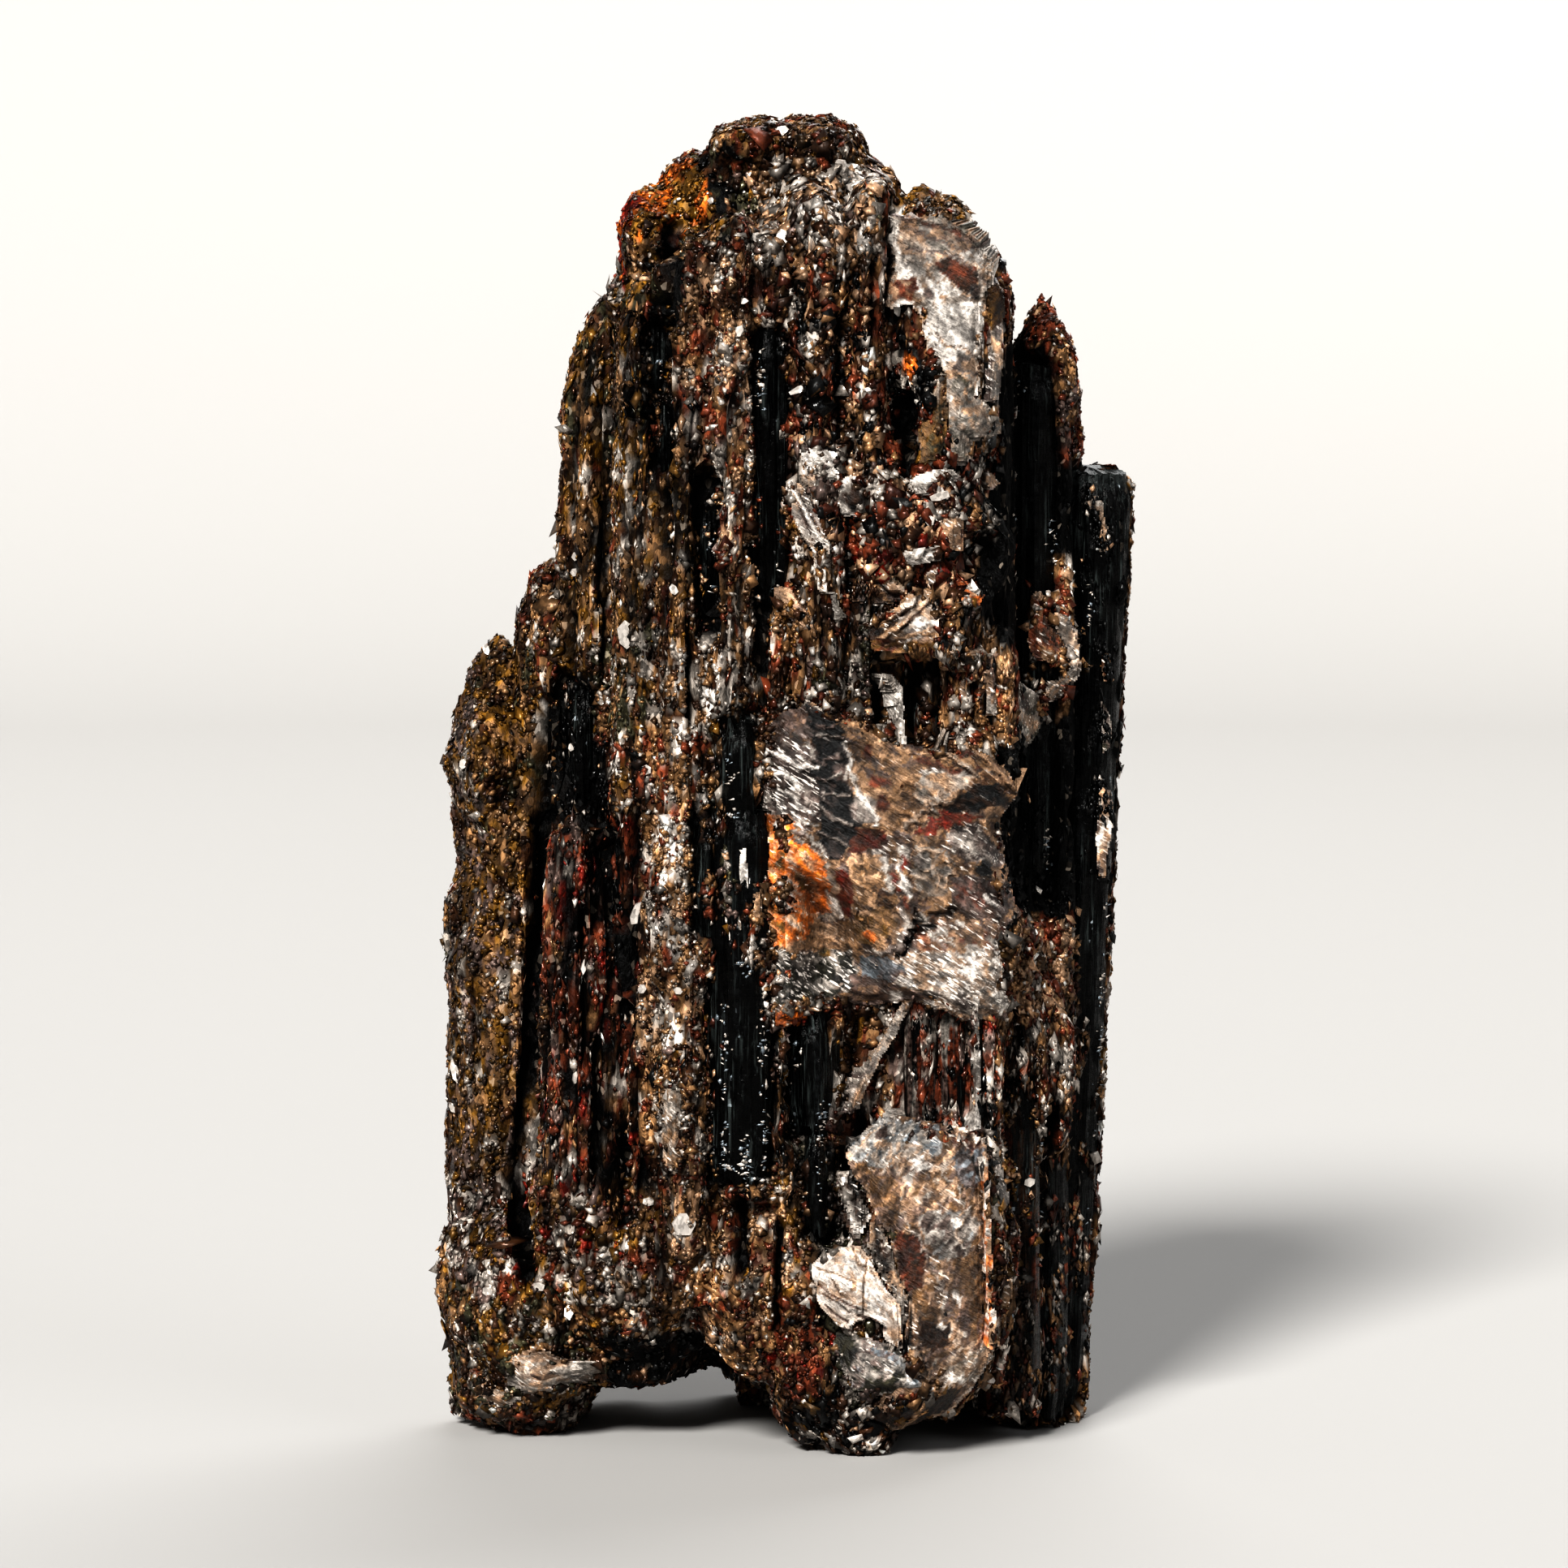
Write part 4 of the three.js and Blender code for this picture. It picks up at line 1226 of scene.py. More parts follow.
@dataclass
class MicaSheet:
    """A ragged stack of mica leaves that lies on the front of the specimen.

    outline holds its corners as x and z. leaves is how many sheets show at its edge, relief how strong its
    fine wrinkles are, grain the direction that they run in, in degrees from X, ruffle how strong its coarse
    folds are, dash how many short bright lines it has, as painted highlights, fray how far its stains run
    along the grain, cracks how clearly it is broken into angular pieces, mottle how blotchy it is, and
    shard how long its flecks are. Its colour is lighter on the crests of its wrinkles and folds and darker
    in their troughs, a painted light and shade. base and leaf are how thick the lowest leaf and the others
    are, step the size of their mesh's squares, and shrink how much smaller each leaf is than the one under
    it. ragged is how uneven its edge is, tuck how far its rim is tucked in over rim_reach, and drift how
    far leaves slip on each other.
    lift is how far it stands off its bed, bright how light it is, and front_limit the least y. The crust's
    flakes lap over the edge of a crusted one. With behind it is on the back.
    """

    name: str
    mix: Mix
    outline: tuple[tuple[float, float], ...]
    areas: tuple[Area, ...] = ()
    stains: tuple[Stain, ...] = ()
    creases: tuple[Crease, ...] = ()
    leaves: int = 2
    lift: float = 0.15
    relief: float = 0.07
    grain: float = -35.0
    ruffle: float = 0.0
    bright: float = 1.0
    dash: float = 0.4
    base: float = 1.1
    step: float = 0.1
    leaf: float = 0.13
    shrink: float = 0.07
    ragged: float = 0.2
    tuck: float = 0.45
    fray: float = 0.5
    cracks: float = 0.0
    mottle: float = 0.8
    shard: float = 0.9
    rim_reach: float = 0.9
    drift: float = 0.1
    front_limit: float = -13.3
    smooth_angle: float = 30.0
    crusted: bool = True
    behind: bool = False

    def build(self, skin: Skin, noise: Noise) -> bpy.types.Object:
        """Builds the stack.

        Args:
            skin: the solid that carries it.
            noise: the noise for its edges, wrinkles and colours.

        Returns:
            The finished sheet.
        """
        corners = np.array(self.outline)
        bed = skin.bed(corners.min(axis=0) - 0.5, corners.max(axis=0) + 0.5, -1.0 if self.behind else 1.0)
        middle = corners.mean(axis=0)
        leaves = []
        for number in range(self.leaves):
            turned = np.array([math.sin(7 * number + middle[0]), math.cos(5 * number + middle[1])])
            drift = self.drift * number * turned
            shrunk = middle + (corners - middle) * (1 - self.shrink * number) + drift
            leaves.append(self._leaf(number, shrunk, bed, noise))
        return join(leaves, self.name)

    def _leaf(self, number: int, corners: Array, bed: Bed, noise: Noise) -> bpy.types.Object:
        """Builds one leaf of the stack as a closed thin plate.

        Args:
            number: which leaf, 0 for the lowest.
            corners: its outline as x and z.
            bed: the surface that the stack lies on.
            noise: the noise for its edge, wrinkles and colours.

        Returns:
            The leaf.
        """
        low, high = corners.min(axis=0) - 0.3, corners.max(axis=0) + 0.3
        size, middle = high - low, (low + high) / 2
        deselect_all()
        bpy.ops.mesh.primitive_grid_add(
            x_subdivisions=max(3, int(size[0] / self.step)),
            y_subdivisions=max(3, int(size[1] / self.step)),
            size=1.0,
            location=(middle[0] * MM, 0.0, middle[1] * MM),
            rotation=(math.pi / 2, 0.0, 0.0),
        )
        leaf = bpy.context.active_object
        leaf.scale = (size[0] * MM, size[1] * MM, 1.0)
        apply_place(leaf)
        points = read_points(leaf)
        flat = points * np.array([1.0, 0.0, 1.0]) + np.array([0.0, number * 3.7, 0.0])
        ragged_x = points[:, 0] + self.ragged * noise.layered(flat, (0.9, 1.0, 0.9), 2, 50)
        ragged_z = points[:, 2] + self.ragged * noise.layered(flat, (0.9, 1.0, 0.9), 2, 52)
        outside = ~in_outline(ragged_x, ragged_z, corners)
        with edit_mode(Pick.POINTS):
            bpy.ops.mesh.select_all(action="DESELECT")
        leaf.data.vertices.foreach_set("select", outside)
        with edit_mode(Pick.POINTS):
            bpy.ops.mesh.delete(type="VERT")
        self._shape(leaf, bed, noise, number, corners)
        thick = self.base if number == 0 else self.leaf * 0.8
        side = 1.0 if self.behind else -1.0
        apply_modifier(leaf, "SOLIDIFY", thickness=thick * MM, offset=side, use_even_offset=False)
        make_active(leaf)
        with edit_mode(Pick.FACES):
            bpy.ops.mesh.select_all(action="SELECT")
            bpy.ops.mesh.normals_make_consistent(inside=False)
        bpy.ops.object.shade_smooth_by_angle(angle=math.radians(self.smooth_angle))
        return leaf

    def _shape(self, leaf: bpy.types.Object, bed: Bed, noise: Noise, number: int, corners: Array) -> None:
        """Lays a leaf on its bed with its rim tucked in, wrinkles it and colours it.

        Args:
            leaf: the flat leaf.
            bed: the surface that the stack lies on.
            noise: the noise for its wrinkles and colours.
            number: which leaf, 0 for the lowest.
            corners: its outline as x and z.
        """
        points = read_points(leaf)
        wrinkles = self._wrinkles(points * np.array([1.0, 0.0, 1.0]), noise)
        depth = bed.at(points[:, 0], points[:, 2]) - self.lift - number * self.leaf
        depth -= self.relief * wrinkles.crest + self.ruffle * wrinkles.fold
        closed = (*corners, corners[0])
        depth += self.tuck * near_line(points[:, 0], points[:, 2], closed, self.rim_reach)
        for crease, share in zip(self.creases, wrinkles.near):
            depth -= share * crease.height
        points[:, 1] = np.maximum(depth, self.front_limit) * (-1.0 if self.behind else 1.0)
        write_points(leaf, points)
        self._colour(leaf, wrinkles, noise, number)

    def _wrinkles(self, flat: Array, noise: Noise) -> Wrinkles:
        """Finds the wrinkles, the folds and how far the borders of stains stray.

        Args:
            flat: places in the sheet's plane.
            noise: the noise for them.

        Returns:
            The wrinkles at each place.
        """
        turn = math.radians(self.grain)
        along = flat[:, 0] * math.cos(turn) + flat[:, 2] * math.sin(turn)
        across = -flat[:, 0] * math.sin(turn) + flat[:, 2] * math.cos(turn)
        bent = across + 0.5 * noise.smooth(flat, (2.5, 1.0, 2.5), 60)
        fine = np.stack([along, np.zeros(len(flat)), bent], axis=1)
        crest = 1 - 2 * np.abs(noise.smooth(fine, (1.7, 1.0, 0.5), 61))
        crest = 0.65 * crest + 0.35 * noise.smooth(fine, (0.8, 1.0, 0.26), 62)
        fold = 1 - 2 * np.abs(noise.smooth(fine, (3.2, 1.0, 1.6), 63))
        frayed = noise.layered(fine, (1.1, 1.0, 0.24), 2, 66)
        wave = [noise.layered(flat, (0.7, 1.0, 0.7), 2, 84 + 3 * axis) for axis in range(2)]
        x = flat[:, 0] + self.fray * (frayed * math.cos(turn) + 0.5 * wave[0])
        z = flat[:, 2] + self.fray * (frayed * math.sin(turn) + 0.5 * wave[1])
        near = [near_line(x, z, crease.corners, crease.width) for crease in self.creases]
        stray = np.stack([wave[0], 0 * wave[0], wave[1]], axis=1)
        return Wrinkles(flat, fine, crest, fold, frayed, stray, x, z, near)

    def _colour(self, leaf: bpy.types.Object, wrinkles: Wrinkles, noise: Noise, number: int) -> None:
        """Colours a leaf, with its areas, stains and streaks.

        Args:
            leaf: the leaf.
            wrinkles: the wrinkles at its points.
            noise: the noise for its colours.
            number: which leaf, 0 for the lowest.
        """
        flat = wrinkles.flat + np.array([0.0, number * 2.3, 0.0])
        shards, _ = noise.cells(wrinkles.fine + 0.3 * wrinkles.stray, (self.shard, 9.0, 0.34), 101)
        shard = noise.at_cell(shards, 104) - 0.5
        cloud = 0.5 + 1.1 * self.mottle * noise.layered(flat, (1.8, 1.0, 1.8), 4, 71)
        cloud = np.clip(cloud + 0.6 * shard, 0, 1)
        colours, dash = self._tones(wrinkles, cloud)
        light = self._light(wrinkles, noise, flat, shard)
        colours = colours * light[:, None]
        for crease, share in zip(self.creases, wrinkles.near):
            tones = crease.mix.blend(cloud) * crease.light * light[:, None] ** 0.5
            colours = colours * (1 - share[:, None]) + tones * share[:, None]
        write_tint(leaf, colours, dash)

    def _tones(self, wrinkles: Wrinkles, cloud: Array) -> tuple[Array, Array]:
        """Picks the tones of the sheet, its areas and its stains.

        Args:
            wrinkles: the wrinkles at a leaf's points.
            cloud: where each point is in its mix, from 0 to 1.

        Returns:
            Linear RGB rows, and how many bright lines each point has.
        """
        x, z = wrinkles.x, wrinkles.z
        colours, dash = self.mix.blend(cloud), np.full(len(cloud), self.dash)
        for area in self.areas:
            inside = in_outline(x, z, area.outline)
            colours[inside] = area.mix.blend(cloud[inside]) * area.light
            dash[inside] = area.dash
        for stain in self.stains:
            away = np.hypot((x - stain.x) / stain.reach_x, (z - stain.z) / stain.reach_z)
            share = 1 - eased(away + 0.3 * wrinkles.stray[:, 2], 0.7, 1.15)
            colours = colours * (1 - share[:, None]) + stain.mix.blend(cloud) * stain.light * share[:, None]
            dash = np.where((stain.dash >= 0) & (share > 0.5), stain.dash, dash)
        return colours, dash

    def _light(self, wrinkles: Wrinkles, noise: Noise, flat: Array, shard: Array) -> Array:
        """Finds how light the sheet is: painted light and shade on its wrinkles and folds, its cracks and
        its flecks.

        Args:
            wrinkles: the wrinkles at a leaf's points.
            noise: the noise for the cracks and the blotches.
            flat: the points' places in the sheet's plane, apart for each leaf.
            shard: the number of each point's fleck, from -0.5 to 0.5.

        Returns:
            One factor for each point.
        """
        # Painted light and shade: lighter on the crests of the wrinkles and folds, darker in their troughs.
        folded = 0.35 * np.clip(wrinkles.fold, -1, 1) * (self.ruffle > 0)
        light = 0.6 + 0.7 * eased(wrinkles.crest, 0.1, 0.95) + folded
        if self.cracks:
            pieces, border = noise.cells(flat + 0.25 * wrinkles.stray, (1.0, 9.0, 1.3), 95)
            tone = 1 + 0.7 * (noise.at_cell(pieces, 98) - 0.5) + 0.8 * (1 - eased(border, 0.02, 0.14))
            light *= 1 + self.cracks * (tone - 1)
        light *= self.bright * (1 + 0.5 * shard)
        blotch = 1.1 * noise.layered(flat, (0.7, 1.0, 0.7), 3, 75) + 0.5 * wrinkles.frayed
        return light * np.exp(self.mottle * blotch)


def trace(text: str) -> tuple[tuple[float, float], ...]:
    """Reads corners that are written as "x,z x,z"."""
    return tuple((float(x), float(z)) for x, z in (pair.split(",") for pair in text.split()))


def sheet(
    name: str, words: str, outline: str, *parts: Area | Stain | Crease, **look: object
) -> MicaSheet:
    """Plans a sheet.

    Args:
        name: the sheet's name.
        words: its mix in words.
        outline: its corners as "x,z x,z".
        parts: its areas, stains and streaks.
        look: its other values by name.

    Returns:
        The sheet.
    """
    areas, stains, creases = (
        tuple(part for part in parts if isinstance(part, kind)) for kind in (Area, Stain, Crease)
    )
    return MicaSheet(name, Mix(words), trace(outline), areas, stains, creases, **look)


def area(words: str, light: float, dash: float, outline: str) -> Area:
    """Returns an area whose mix and outline are given in words."""
    return Area(trace(outline), Mix(words), light, dash)


def stain(x: float, z: float, reach_x: float, reach_z: float, words: str, *look: float) -> Stain:
    """Returns a stain whose mix is given in words and whose look is its light and its dashes."""
    return Stain(x, z, reach_x, reach_z, Mix(words), *look)


def streak(words: str, width: float, light: float, height: float, corners: str) -> Crease:
    """Returns a streak in tones of its own."""
    return Crease(trace(corners), width, light, height, Mix(words))


# The sheets and books of the front as traced, and then two on the back, which the photo doesn't show.
SHEETS = (
    sheet(
        "upper_slab", "mauve 1 silver 2 tan 1 silver 3 pearl 1",
        "6.5,73.6 6.9,74.2 7.2,73.9 8.6,74.1 9.6,73.9 11.0,73.2 11.8,72.3 12.5,71.2 12.4,70.0 12.1,68.8"
        " 12.0,65.9 12.1,64.5 11.8,63.2 12.8,62.2 13.0,61.2 12.3,60.5 11.4,60.6 10.9,59.3 10.0,59.3"
        " 9.9,61.0 9.7,64.6 9.2,65.2 8.5,66.0 8.2,67.2 8.1,68.3 7.5,69.0 6.2,68.6 6.2,70.0 6.6,70.6"
        " 6.4,72.4",
        area(
            "olive 1 silver 2 tan 1 mauve 1", 1.0, 0.0,
            "6.6,74.2 9.6,74.0 11.2,73.2 12.0,72.0 9.0,71.9 6.6,71.6",
        ),
        area(
            "umber 3 rust 1", 0.9, 0.0,
            "8.7,71.3 9.6,71.6 10.4,71.2 11.4,71.0 11.3,70.2 10.8,69.3 10.0,70.1 9.3,70.5",
        ),
        area(
            "silver 1 pearl 2 silver 1", 1.0, 0.1,
            "8.4,68.6 10.0,68.9 11.9,69.0 11.9,66.1 10.6,65.9 9.6,65.2 8.4,66.4",
        ),
        area(
            "olive 1 silver 3 tan 1", 0.9, 0.0,
            "9.9,64.6 11.2,63.9 11.7,63.0 12.8,62.0 12.4,60.6 10.4,59.3 9.9,61.0",
        ),
        area("mauve 1 tan 2 rust 1", 0.9, 0.0, "6.2,70.2 7.8,70.4 7.8,69.0 6.2,68.8"),
        stain(8.5, 69.5, 0.4, 0.4, "ink 1 mauve 1"),
        stain(11.3, 69.5, 0.4, 0.5, "ink 1 mauve 1"),
        stain(6.9, 68.8, 0.5, 0.4, "pearl 1"),
        streak("pearl 1", 0.3, 1.0, 0.05, "6.6,73.7 6.5,72.4 6.8,71.2"),
        streak("pearl 1", 0.28, 1.0, 0.05, "9.0,68.8 9.8,67.7"),
        streak("pearl 1", 0.22, 1.0, 0.05, "8.5,70.2 9.0,69.4"),
        streak("pearl 1", 0.24, 1.0, 0.05, "10.1,66.9 10.9,66.3"),
        streak("umber 1 tan 1", 0.12, 1.0, -0.1, "9.0,67.1 9.7,66.2 10.4,66.4 11.8,65.4"),
        streak("umber 2 rust 1", 0.2, 0.9, -0.1, "7.8,73.8 9.0,73.4 10.4,73.0"),
        streak("umber 1 olive 1", 0.22, 0.8, -0.1, "10.1,64.7 10.8,64.0"),
        streak("mauve 1", 0.1, 0.9, -0.05, "7.2,72.0 9.0,71.9 10.6,71.4 11.9,70.0"),
        streak("mauve 1", 0.1, 0.9, -0.05, "8.2,72.9 9.8,72.2 11.4,72.0"),
        leaves=3, step=0.13, crusted=False, ruffle=0.07, dash=0.08, cracks=0.35, shrink=0.03, mottle=0.4,
        shard=0.6, fray=0.3, bright=0.82, ragged=0.12,
    ),
    sheet(
        "slab_side", "mauve 2 silver 2 tan 2",
        "12.0,69.6 12.6,70.2 13.1,69.0 12.9,66.2 12.9,64.4 12.7,62.8 12.1,63.0 12.2,65.0",
        area("umber 2 ochre 1", 0.9, 0.0, "11.9,70.4 13.2,70.4 13.2,67.6 11.9,67.8"),
        step=0.11, crusted=False, grain=85, lift=0.5, ragged=0.1, tuck=0.2,
    ),
    sheet(
        "olive_leaf", "umber 2 olive 2 bronze 2 ochre 1 olive 1",
        "8.6,65.1 9.6,65.0 9.9,63.0 9.9,60.4 9.4,59.3 8.0,59.3 7.9,60.9 8.4,63.0",
        streak("pearl 1", 0.34, 1.0, 0.3, "8.0,64.9 8.4,64.0 8.6,63.2 8.3,62.6"),
        streak("tan 1 silver 1", 0.24, 1.0, 0.2, "9.5,64.9 9.2,64.1 8.9,63.2"),
        step=0.16, crusted=False, grain=75, lift=0.2, bright=1.1, dash=0.0, mottle=0.5,
    ),
    sheet(
        "white_flake", "silver 2 pearl 3",
        "0.8,60.2 1.6,60.5 2.6,60.3 3.2,60.2 2.9,59.4 3.4,58.9 2.9,58.5 2.4,58.5 2.0,59.1 1.4,59.0"
        " 1.0,59.7",
        crusted=False, grain=-50, lift=0.4, dash=0.1, bright=0.9, cracks=0.6,
    ),
    sheet(
        "white_flake_low", "silver 3 tan 1 silver 1",
        "0.8,58.8 1.9,58.9 2.1,58.1 2.7,57.4 2.6,56.9 2.0,56.9 1.6,57.3 1.5,57.9 0.9,58.3",
        crusted=False, grain=-50, lift=0.4, dash=0.1, bright=0.9,
    ),
    sheet(
        "ring_flake", "silver 3 pearl 2 tan 1",
        "3.3,58.6 4.0,58.8 5.2,58.3 5.5,57.2 5.3,55.9 4.4,56.2 3.4,56.3 3.1,57.4",
        stain(4.3, 57.4, 0.9, 0.9, "umber 2 coal 1", 0.7),
        grain=-80, lift=0.1, dash=0.1, bright=0.9,
    ),
    sheet(
        "pale_blade", "mauve 1 silver 4 tan 1 pearl 1",
        "0.0,58.4 0.9,58.3 1.4,57.8 2.0,56.9 2.2,56.2 2.5,55.3 2.8,54.9 3.0,54.0 2.4,54.6 2.4,53.2 2.6,51.7"
        " 2.0,51.8 1.8,53.2 1.6,54.4 1.1,55.0 0.7,55.8 0.3,56.6 0.2,57.4",
        streak("umber 2 mauve 1", 0.1, 0.8, -0.12, "0.3,57.9 0.9,56.9 1.3,56.0 1.7,54.9"),
        streak("umber 2 mauve 1", 0.08, 0.8, -0.12, "0.9,57.7 1.5,56.6 2.0,55.6"),
        streak("umber 1", 0.08, 0.8, -0.12, "2.0,54.4 2.1,53.2 2.2,52.2"),
        streak("pearl 1", 0.12, 1.1, 0.1, "0.6,57.9 1.2,56.8 1.8,55.6 2.4,54.6"),
        streak("pearl 1", 0.1, 1.1, 0.1, "2.3,54.0 2.4,52.6 2.5,51.8"),
        leaves=3, crusted=False, grain=-62, relief=0.16, lift=0.4, fray=0.15, dash=0.9, shrink=0.04,
    ),
    sheet(
        "fan_left", "umber 1 mauve 1 bronze 3 tan 1",
        "3.9,52.0 4.6,52.5 5.2,53.0 6.0,53.0 7.4,52.0 7.0,51.2 5.6,51.0 4.0,51.3",
        streak("tan 3 silver 1", 0.26, 1.1, 0.3, "5.1,53.0 6.2,52.4 7.4,51.7"),
        streak("tan 2 olive 1", 0.16, 1.0, 0.2, "5.8,52.9 6.4,52.7 7.2,52.1"),
        streak("umber 1 coal 1", 0.2, 0.7, -0.2, "4.9,52.5 6.0,52.0 6.8,51.6"),
        step=0.11, grain=-28, lift=0.1,
    ),
    sheet(
        "fan_middle", "umber 1 bronze 2 tan 2 mauve 1 silver 1",
        "4.6,49.6 5.4,50.5 6.6,51.0 7.2,51.9 8.0,51.8 8.9,51.3 9.5,50.6 9.3,49.8 9.4,48.9 10.4,48.3"
        " 10.3,47.8 9.2,48.3 7.0,48.3 5.0,48.4",
        area("umber 3 coal 2", 0.7, 0.0, "4.8,49.5 5.4,49.9 6.2,49.6 5.9,49.1 5.0,49.0"),
        area("rust 1 ochre 2 bronze 1", 1.0, 0.0, "4.8,49.0 6.0,49.1 7.6,48.9 9.0,48.9 9.0,48.2 5.0,48.3"),
        area("mauve 1 silver 2 tan 2", 1.0, 0.2, "6.9,51.4 8.2,51.7 9.4,50.6 9.3,49.6 7.0,49.3"),
        streak("tan 1 pearl 1", 0.26, 1.1, 0.35, "4.8,49.8 5.6,50.4 6.6,50.7 7.3,51.3"),
        streak("tan 2 silver 1", 0.2, 1.1, 0.3, "5.8,49.2 6.5,49.6 7.4,50.4"),
        streak("pearl 1", 0.3, 1.0, 0.1, "7.6,50.1 8.4,50.0 9.0,49.9"),
        streak("tan 1 bronze 1", 0.14, 1.0, 0.15, "6.2,48.9 7.4,49.3 8.6,49.3"),
        streak("umber 1", 0.14, 0.8, -0.15, "7.0,49.8 7.8,50.6 8.6,51.2"),
        streak("umber 1", 0.14, 0.8, -0.15, "6.9,50.4 7.4,51.0 7.8,51.6"),
        streak("tan 1 silver 1", 0.22, 1.1, 0.2, "9.2,48.9 9.8,48.4 10.5,48.0"),
        leaves=3, step=0.11, grain=28, lift=0.3, shrink=0.05, ruffle=0.12,
    ),
    sheet(
        "fan_low", "umber 2 olive 2 bronze 2 tan 2",
        "9.1,48.6 10.0,48.3 12.2,48.2 12.1,47.3 11.0,47.0 9.4,47.1",
        streak("tan 1 silver 1", 0.16, 1.0, 0.2, "9.2,48.5 10.6,48.1 12.0,48.0"),
        step=0.11, grain=-5, lift=0.2,
    ),
    sheet(
        "left_blade", "bronze 2 tan 3 mauve 1",
        "-0.7,52.2 0.2,52.1 0.9,51.2 1.7,50.3 1.8,49.5 1.3,49.4 0.4,50.1 -0.1,50.8 -0.5,51.4",
        grain=-48, lift=0.2, dash=0.1,
    ),
    sheet(
        "small_blade", "silver 3 olive 1 pearl 1",
        "2.8,51.7 3.2,51.9 3.4,51.0 3.8,50.2 3.0,50.0 2.9,50.9",
        crusted=False, grain=-70, lift=0.3,
    ),
    sheet(
        "olive_pane", "olive 2 bronze 1 tan 1 ochre 1",
        "2.1,46.8 3.3,46.5 3.7,45.4 3.3,44.8 2.2,45.3 2.0,46.0",
        streak("tan 1 pearl 1", 0.2, 1.0, 0.2, "2.1,46.7 3.3,46.4"),
        grain=-15, lift=0.1, dash=0.1,
    ),
    sheet(
        "pale_arch", "umber 1 mauve 1 tan 2 silver 2",
        "10.4,44.4 10.4,46.4 11.2,47.1 12.4,48.1 13.2,48.2 13.2,46.6 12.7,44.4 12.0,44.3 12.0,46.2"
        " 11.5,46.5 10.9,46.1 10.9,44.4",
        streak("coal 1 umber 1", 0.16, 0.8, -0.2, "12.7,48.0 12.7,46.6 12.6,44.6"),
        crusted=False, grain=88, lift=0.25, dash=0.3, shrink=0.03, ragged=0.12,
    ),
    sheet(
        "crumpled_sheet", "umber 2 mauve 2 bronze 3 tan 2 umber 1 mauve 2 silver 2",
        "-1.1,43.6 -0.3,44.6 1.6,45.5 3.6,44.6 5.2,44.1 7.0,42.9 9.8,42.4 10.8,43.7 12.0,42.4 13.4,41.2"
        " 14.0,39.8 12.9,38.2 13.2,35.9 13.9,33.0 13.2,30.6 13.2,28.2 13.7,27.0 13.3,25.8 12.0,26.2"
        " 10.6,26.2 9.4,27.0 7.4,27.4 5.0,26.7 3.4,27.0 1.6,26.8 1.2,26.4 -0.9,25.9 -0.9,29.6 -1.0,34.9"
        " -0.9,38.6 -1.1,41.2",
        area("umber 2 mauve 2 bronze 1", 0.9, 0.2, "-1.2,44.3 1.6,45.4 1.6,43.0 -1.2,42.8"),
        area(
            "umber 2 mauve 3 silver 2", 0.9, 1.0,
            "-1.2,43.2 0.2,43.3 2.0,42.4 2.9,41.5 2.4,39.5 2.9,38.2 0.5,38.4 -1.2,38.6",
        ),
        area(
            "mauve 2 bronze 3 tan 3", 0.95, 0.1,
            "3.7,44.6 5.6,44.0 7.0,42.6 8.0,41.4 8.2,39.4 7.0,37.8 4.6,37.6 4.0,40.2",
        ),
        area(
            "olive 1 silver 3 tan 2", 1.0, 0.1,
            "7.9,41.1 9.8,41.3 11.5,41.3 11.2,40.5 9.6,39.8 8.4,39.2 7.8,39.8",
        ),
        area(
            "rust 1 umber 2 bronze 3 tan 2", 1.0, 0.1,
            "6.8,43.4 8.4,43.0 10.8,43.8 12.8,41.4 10.8,41.2 8.6,41.8",
        ),
        area(
            "bronze 2 umber 2 tan 2", 1.0, 0.1,
            "7.0,38.0 8.4,38.4 9.4,39.6 12.4,41.2 13.6,40.2 11.4,40.0 9.8,38.8",
        ),
        # A dark band just under the pale fold band: painted shadow.
        area(
            "ink 2 umber 2 coal 1", 0.8, 0.1,
            "9.5,39.1 10.3,39.8 11.6,40.5 13.2,40.4 13.3,39.2 11.6,38.9 9.9,38.8",
        ),
        area(
            "rust 4 red 1 umber 1", 1.1, 0.1,
            "7.7,37.5 8.6,38.3 9.4,38.9 10.8,38.8 11.7,38.5 10.2,38.1 9.2,37.9 8.6,37.5",
        ),
        area(
            "ink 1 mauve 3 silver 2", 0.9, 0.5, "9.8,38.0 11.6,38.1 12.8,36.8 12.8,35.8 10.8,35.8 9.9,36.4"
        ),
        area(
            "umber 3 mauve 2 rust 1 coal 1", 0.8, 0.3,
            "10.1,35.0 12.2,34.7 13.6,34.4 13.2,32.4 11.0,32.3 9.8,33.2",
        ),
        area(
            "mauve 1 silver 2 bronze 2", 0.9, 0.1, "7.7,36.9 9.6,36.6 10.1,35.4 9.7,34.0 8.0,33.6 7.6,35.2"
        ),
        area(
            "mauve 2 tan 2 rust 1 silver 1", 0.9, 0.6,
            "7.8,31.9 10.2,32.3 13.2,32.3 13.2,30.4 9.0,30.4 7.4,30.8",
        ),
        area(
            "mauve 1 silver 3 tan 1 pearl 0.6", 0.9, 1.0,
            "6.6,30.5 9.0,30.5 13.2,30.4 13.6,26.8 11.6,26.2 9.6,27.0 6.4,29.2",
        ),
        area("ink 2 steel 1 mauve 2", 0.9, 0.2, "4.5,30.2 6.2,30.3 7.2,29.4 6.4,28.6 5.0,28.4 4.6,28.9"),
        area(
            "umber 3 mauve 2 bronze 2", 0.9, 0.1,
            "3.6,29.4 4.6,29.0 6.6,28.6 9.0,27.8 7.6,27.2 5.0,26.6 3.4,27.2",
        ),
        area(
            "olive 2 coal 2 silver 2 tan 1", 0.9, 1.0,
            "-1.0,30.7 1.6,30.3 3.9,30.4 4.4,29.2 3.6,27.9 1.8,27.6 -1.0,27.4",
        ),
        area("mauve 1 bronze 2 tan 3", 0.9, 0.1, "1.6,32.1 3.4,31.8 4.4,31.1 3.9,30.4 1.6,30.5 0.8,31.1"),
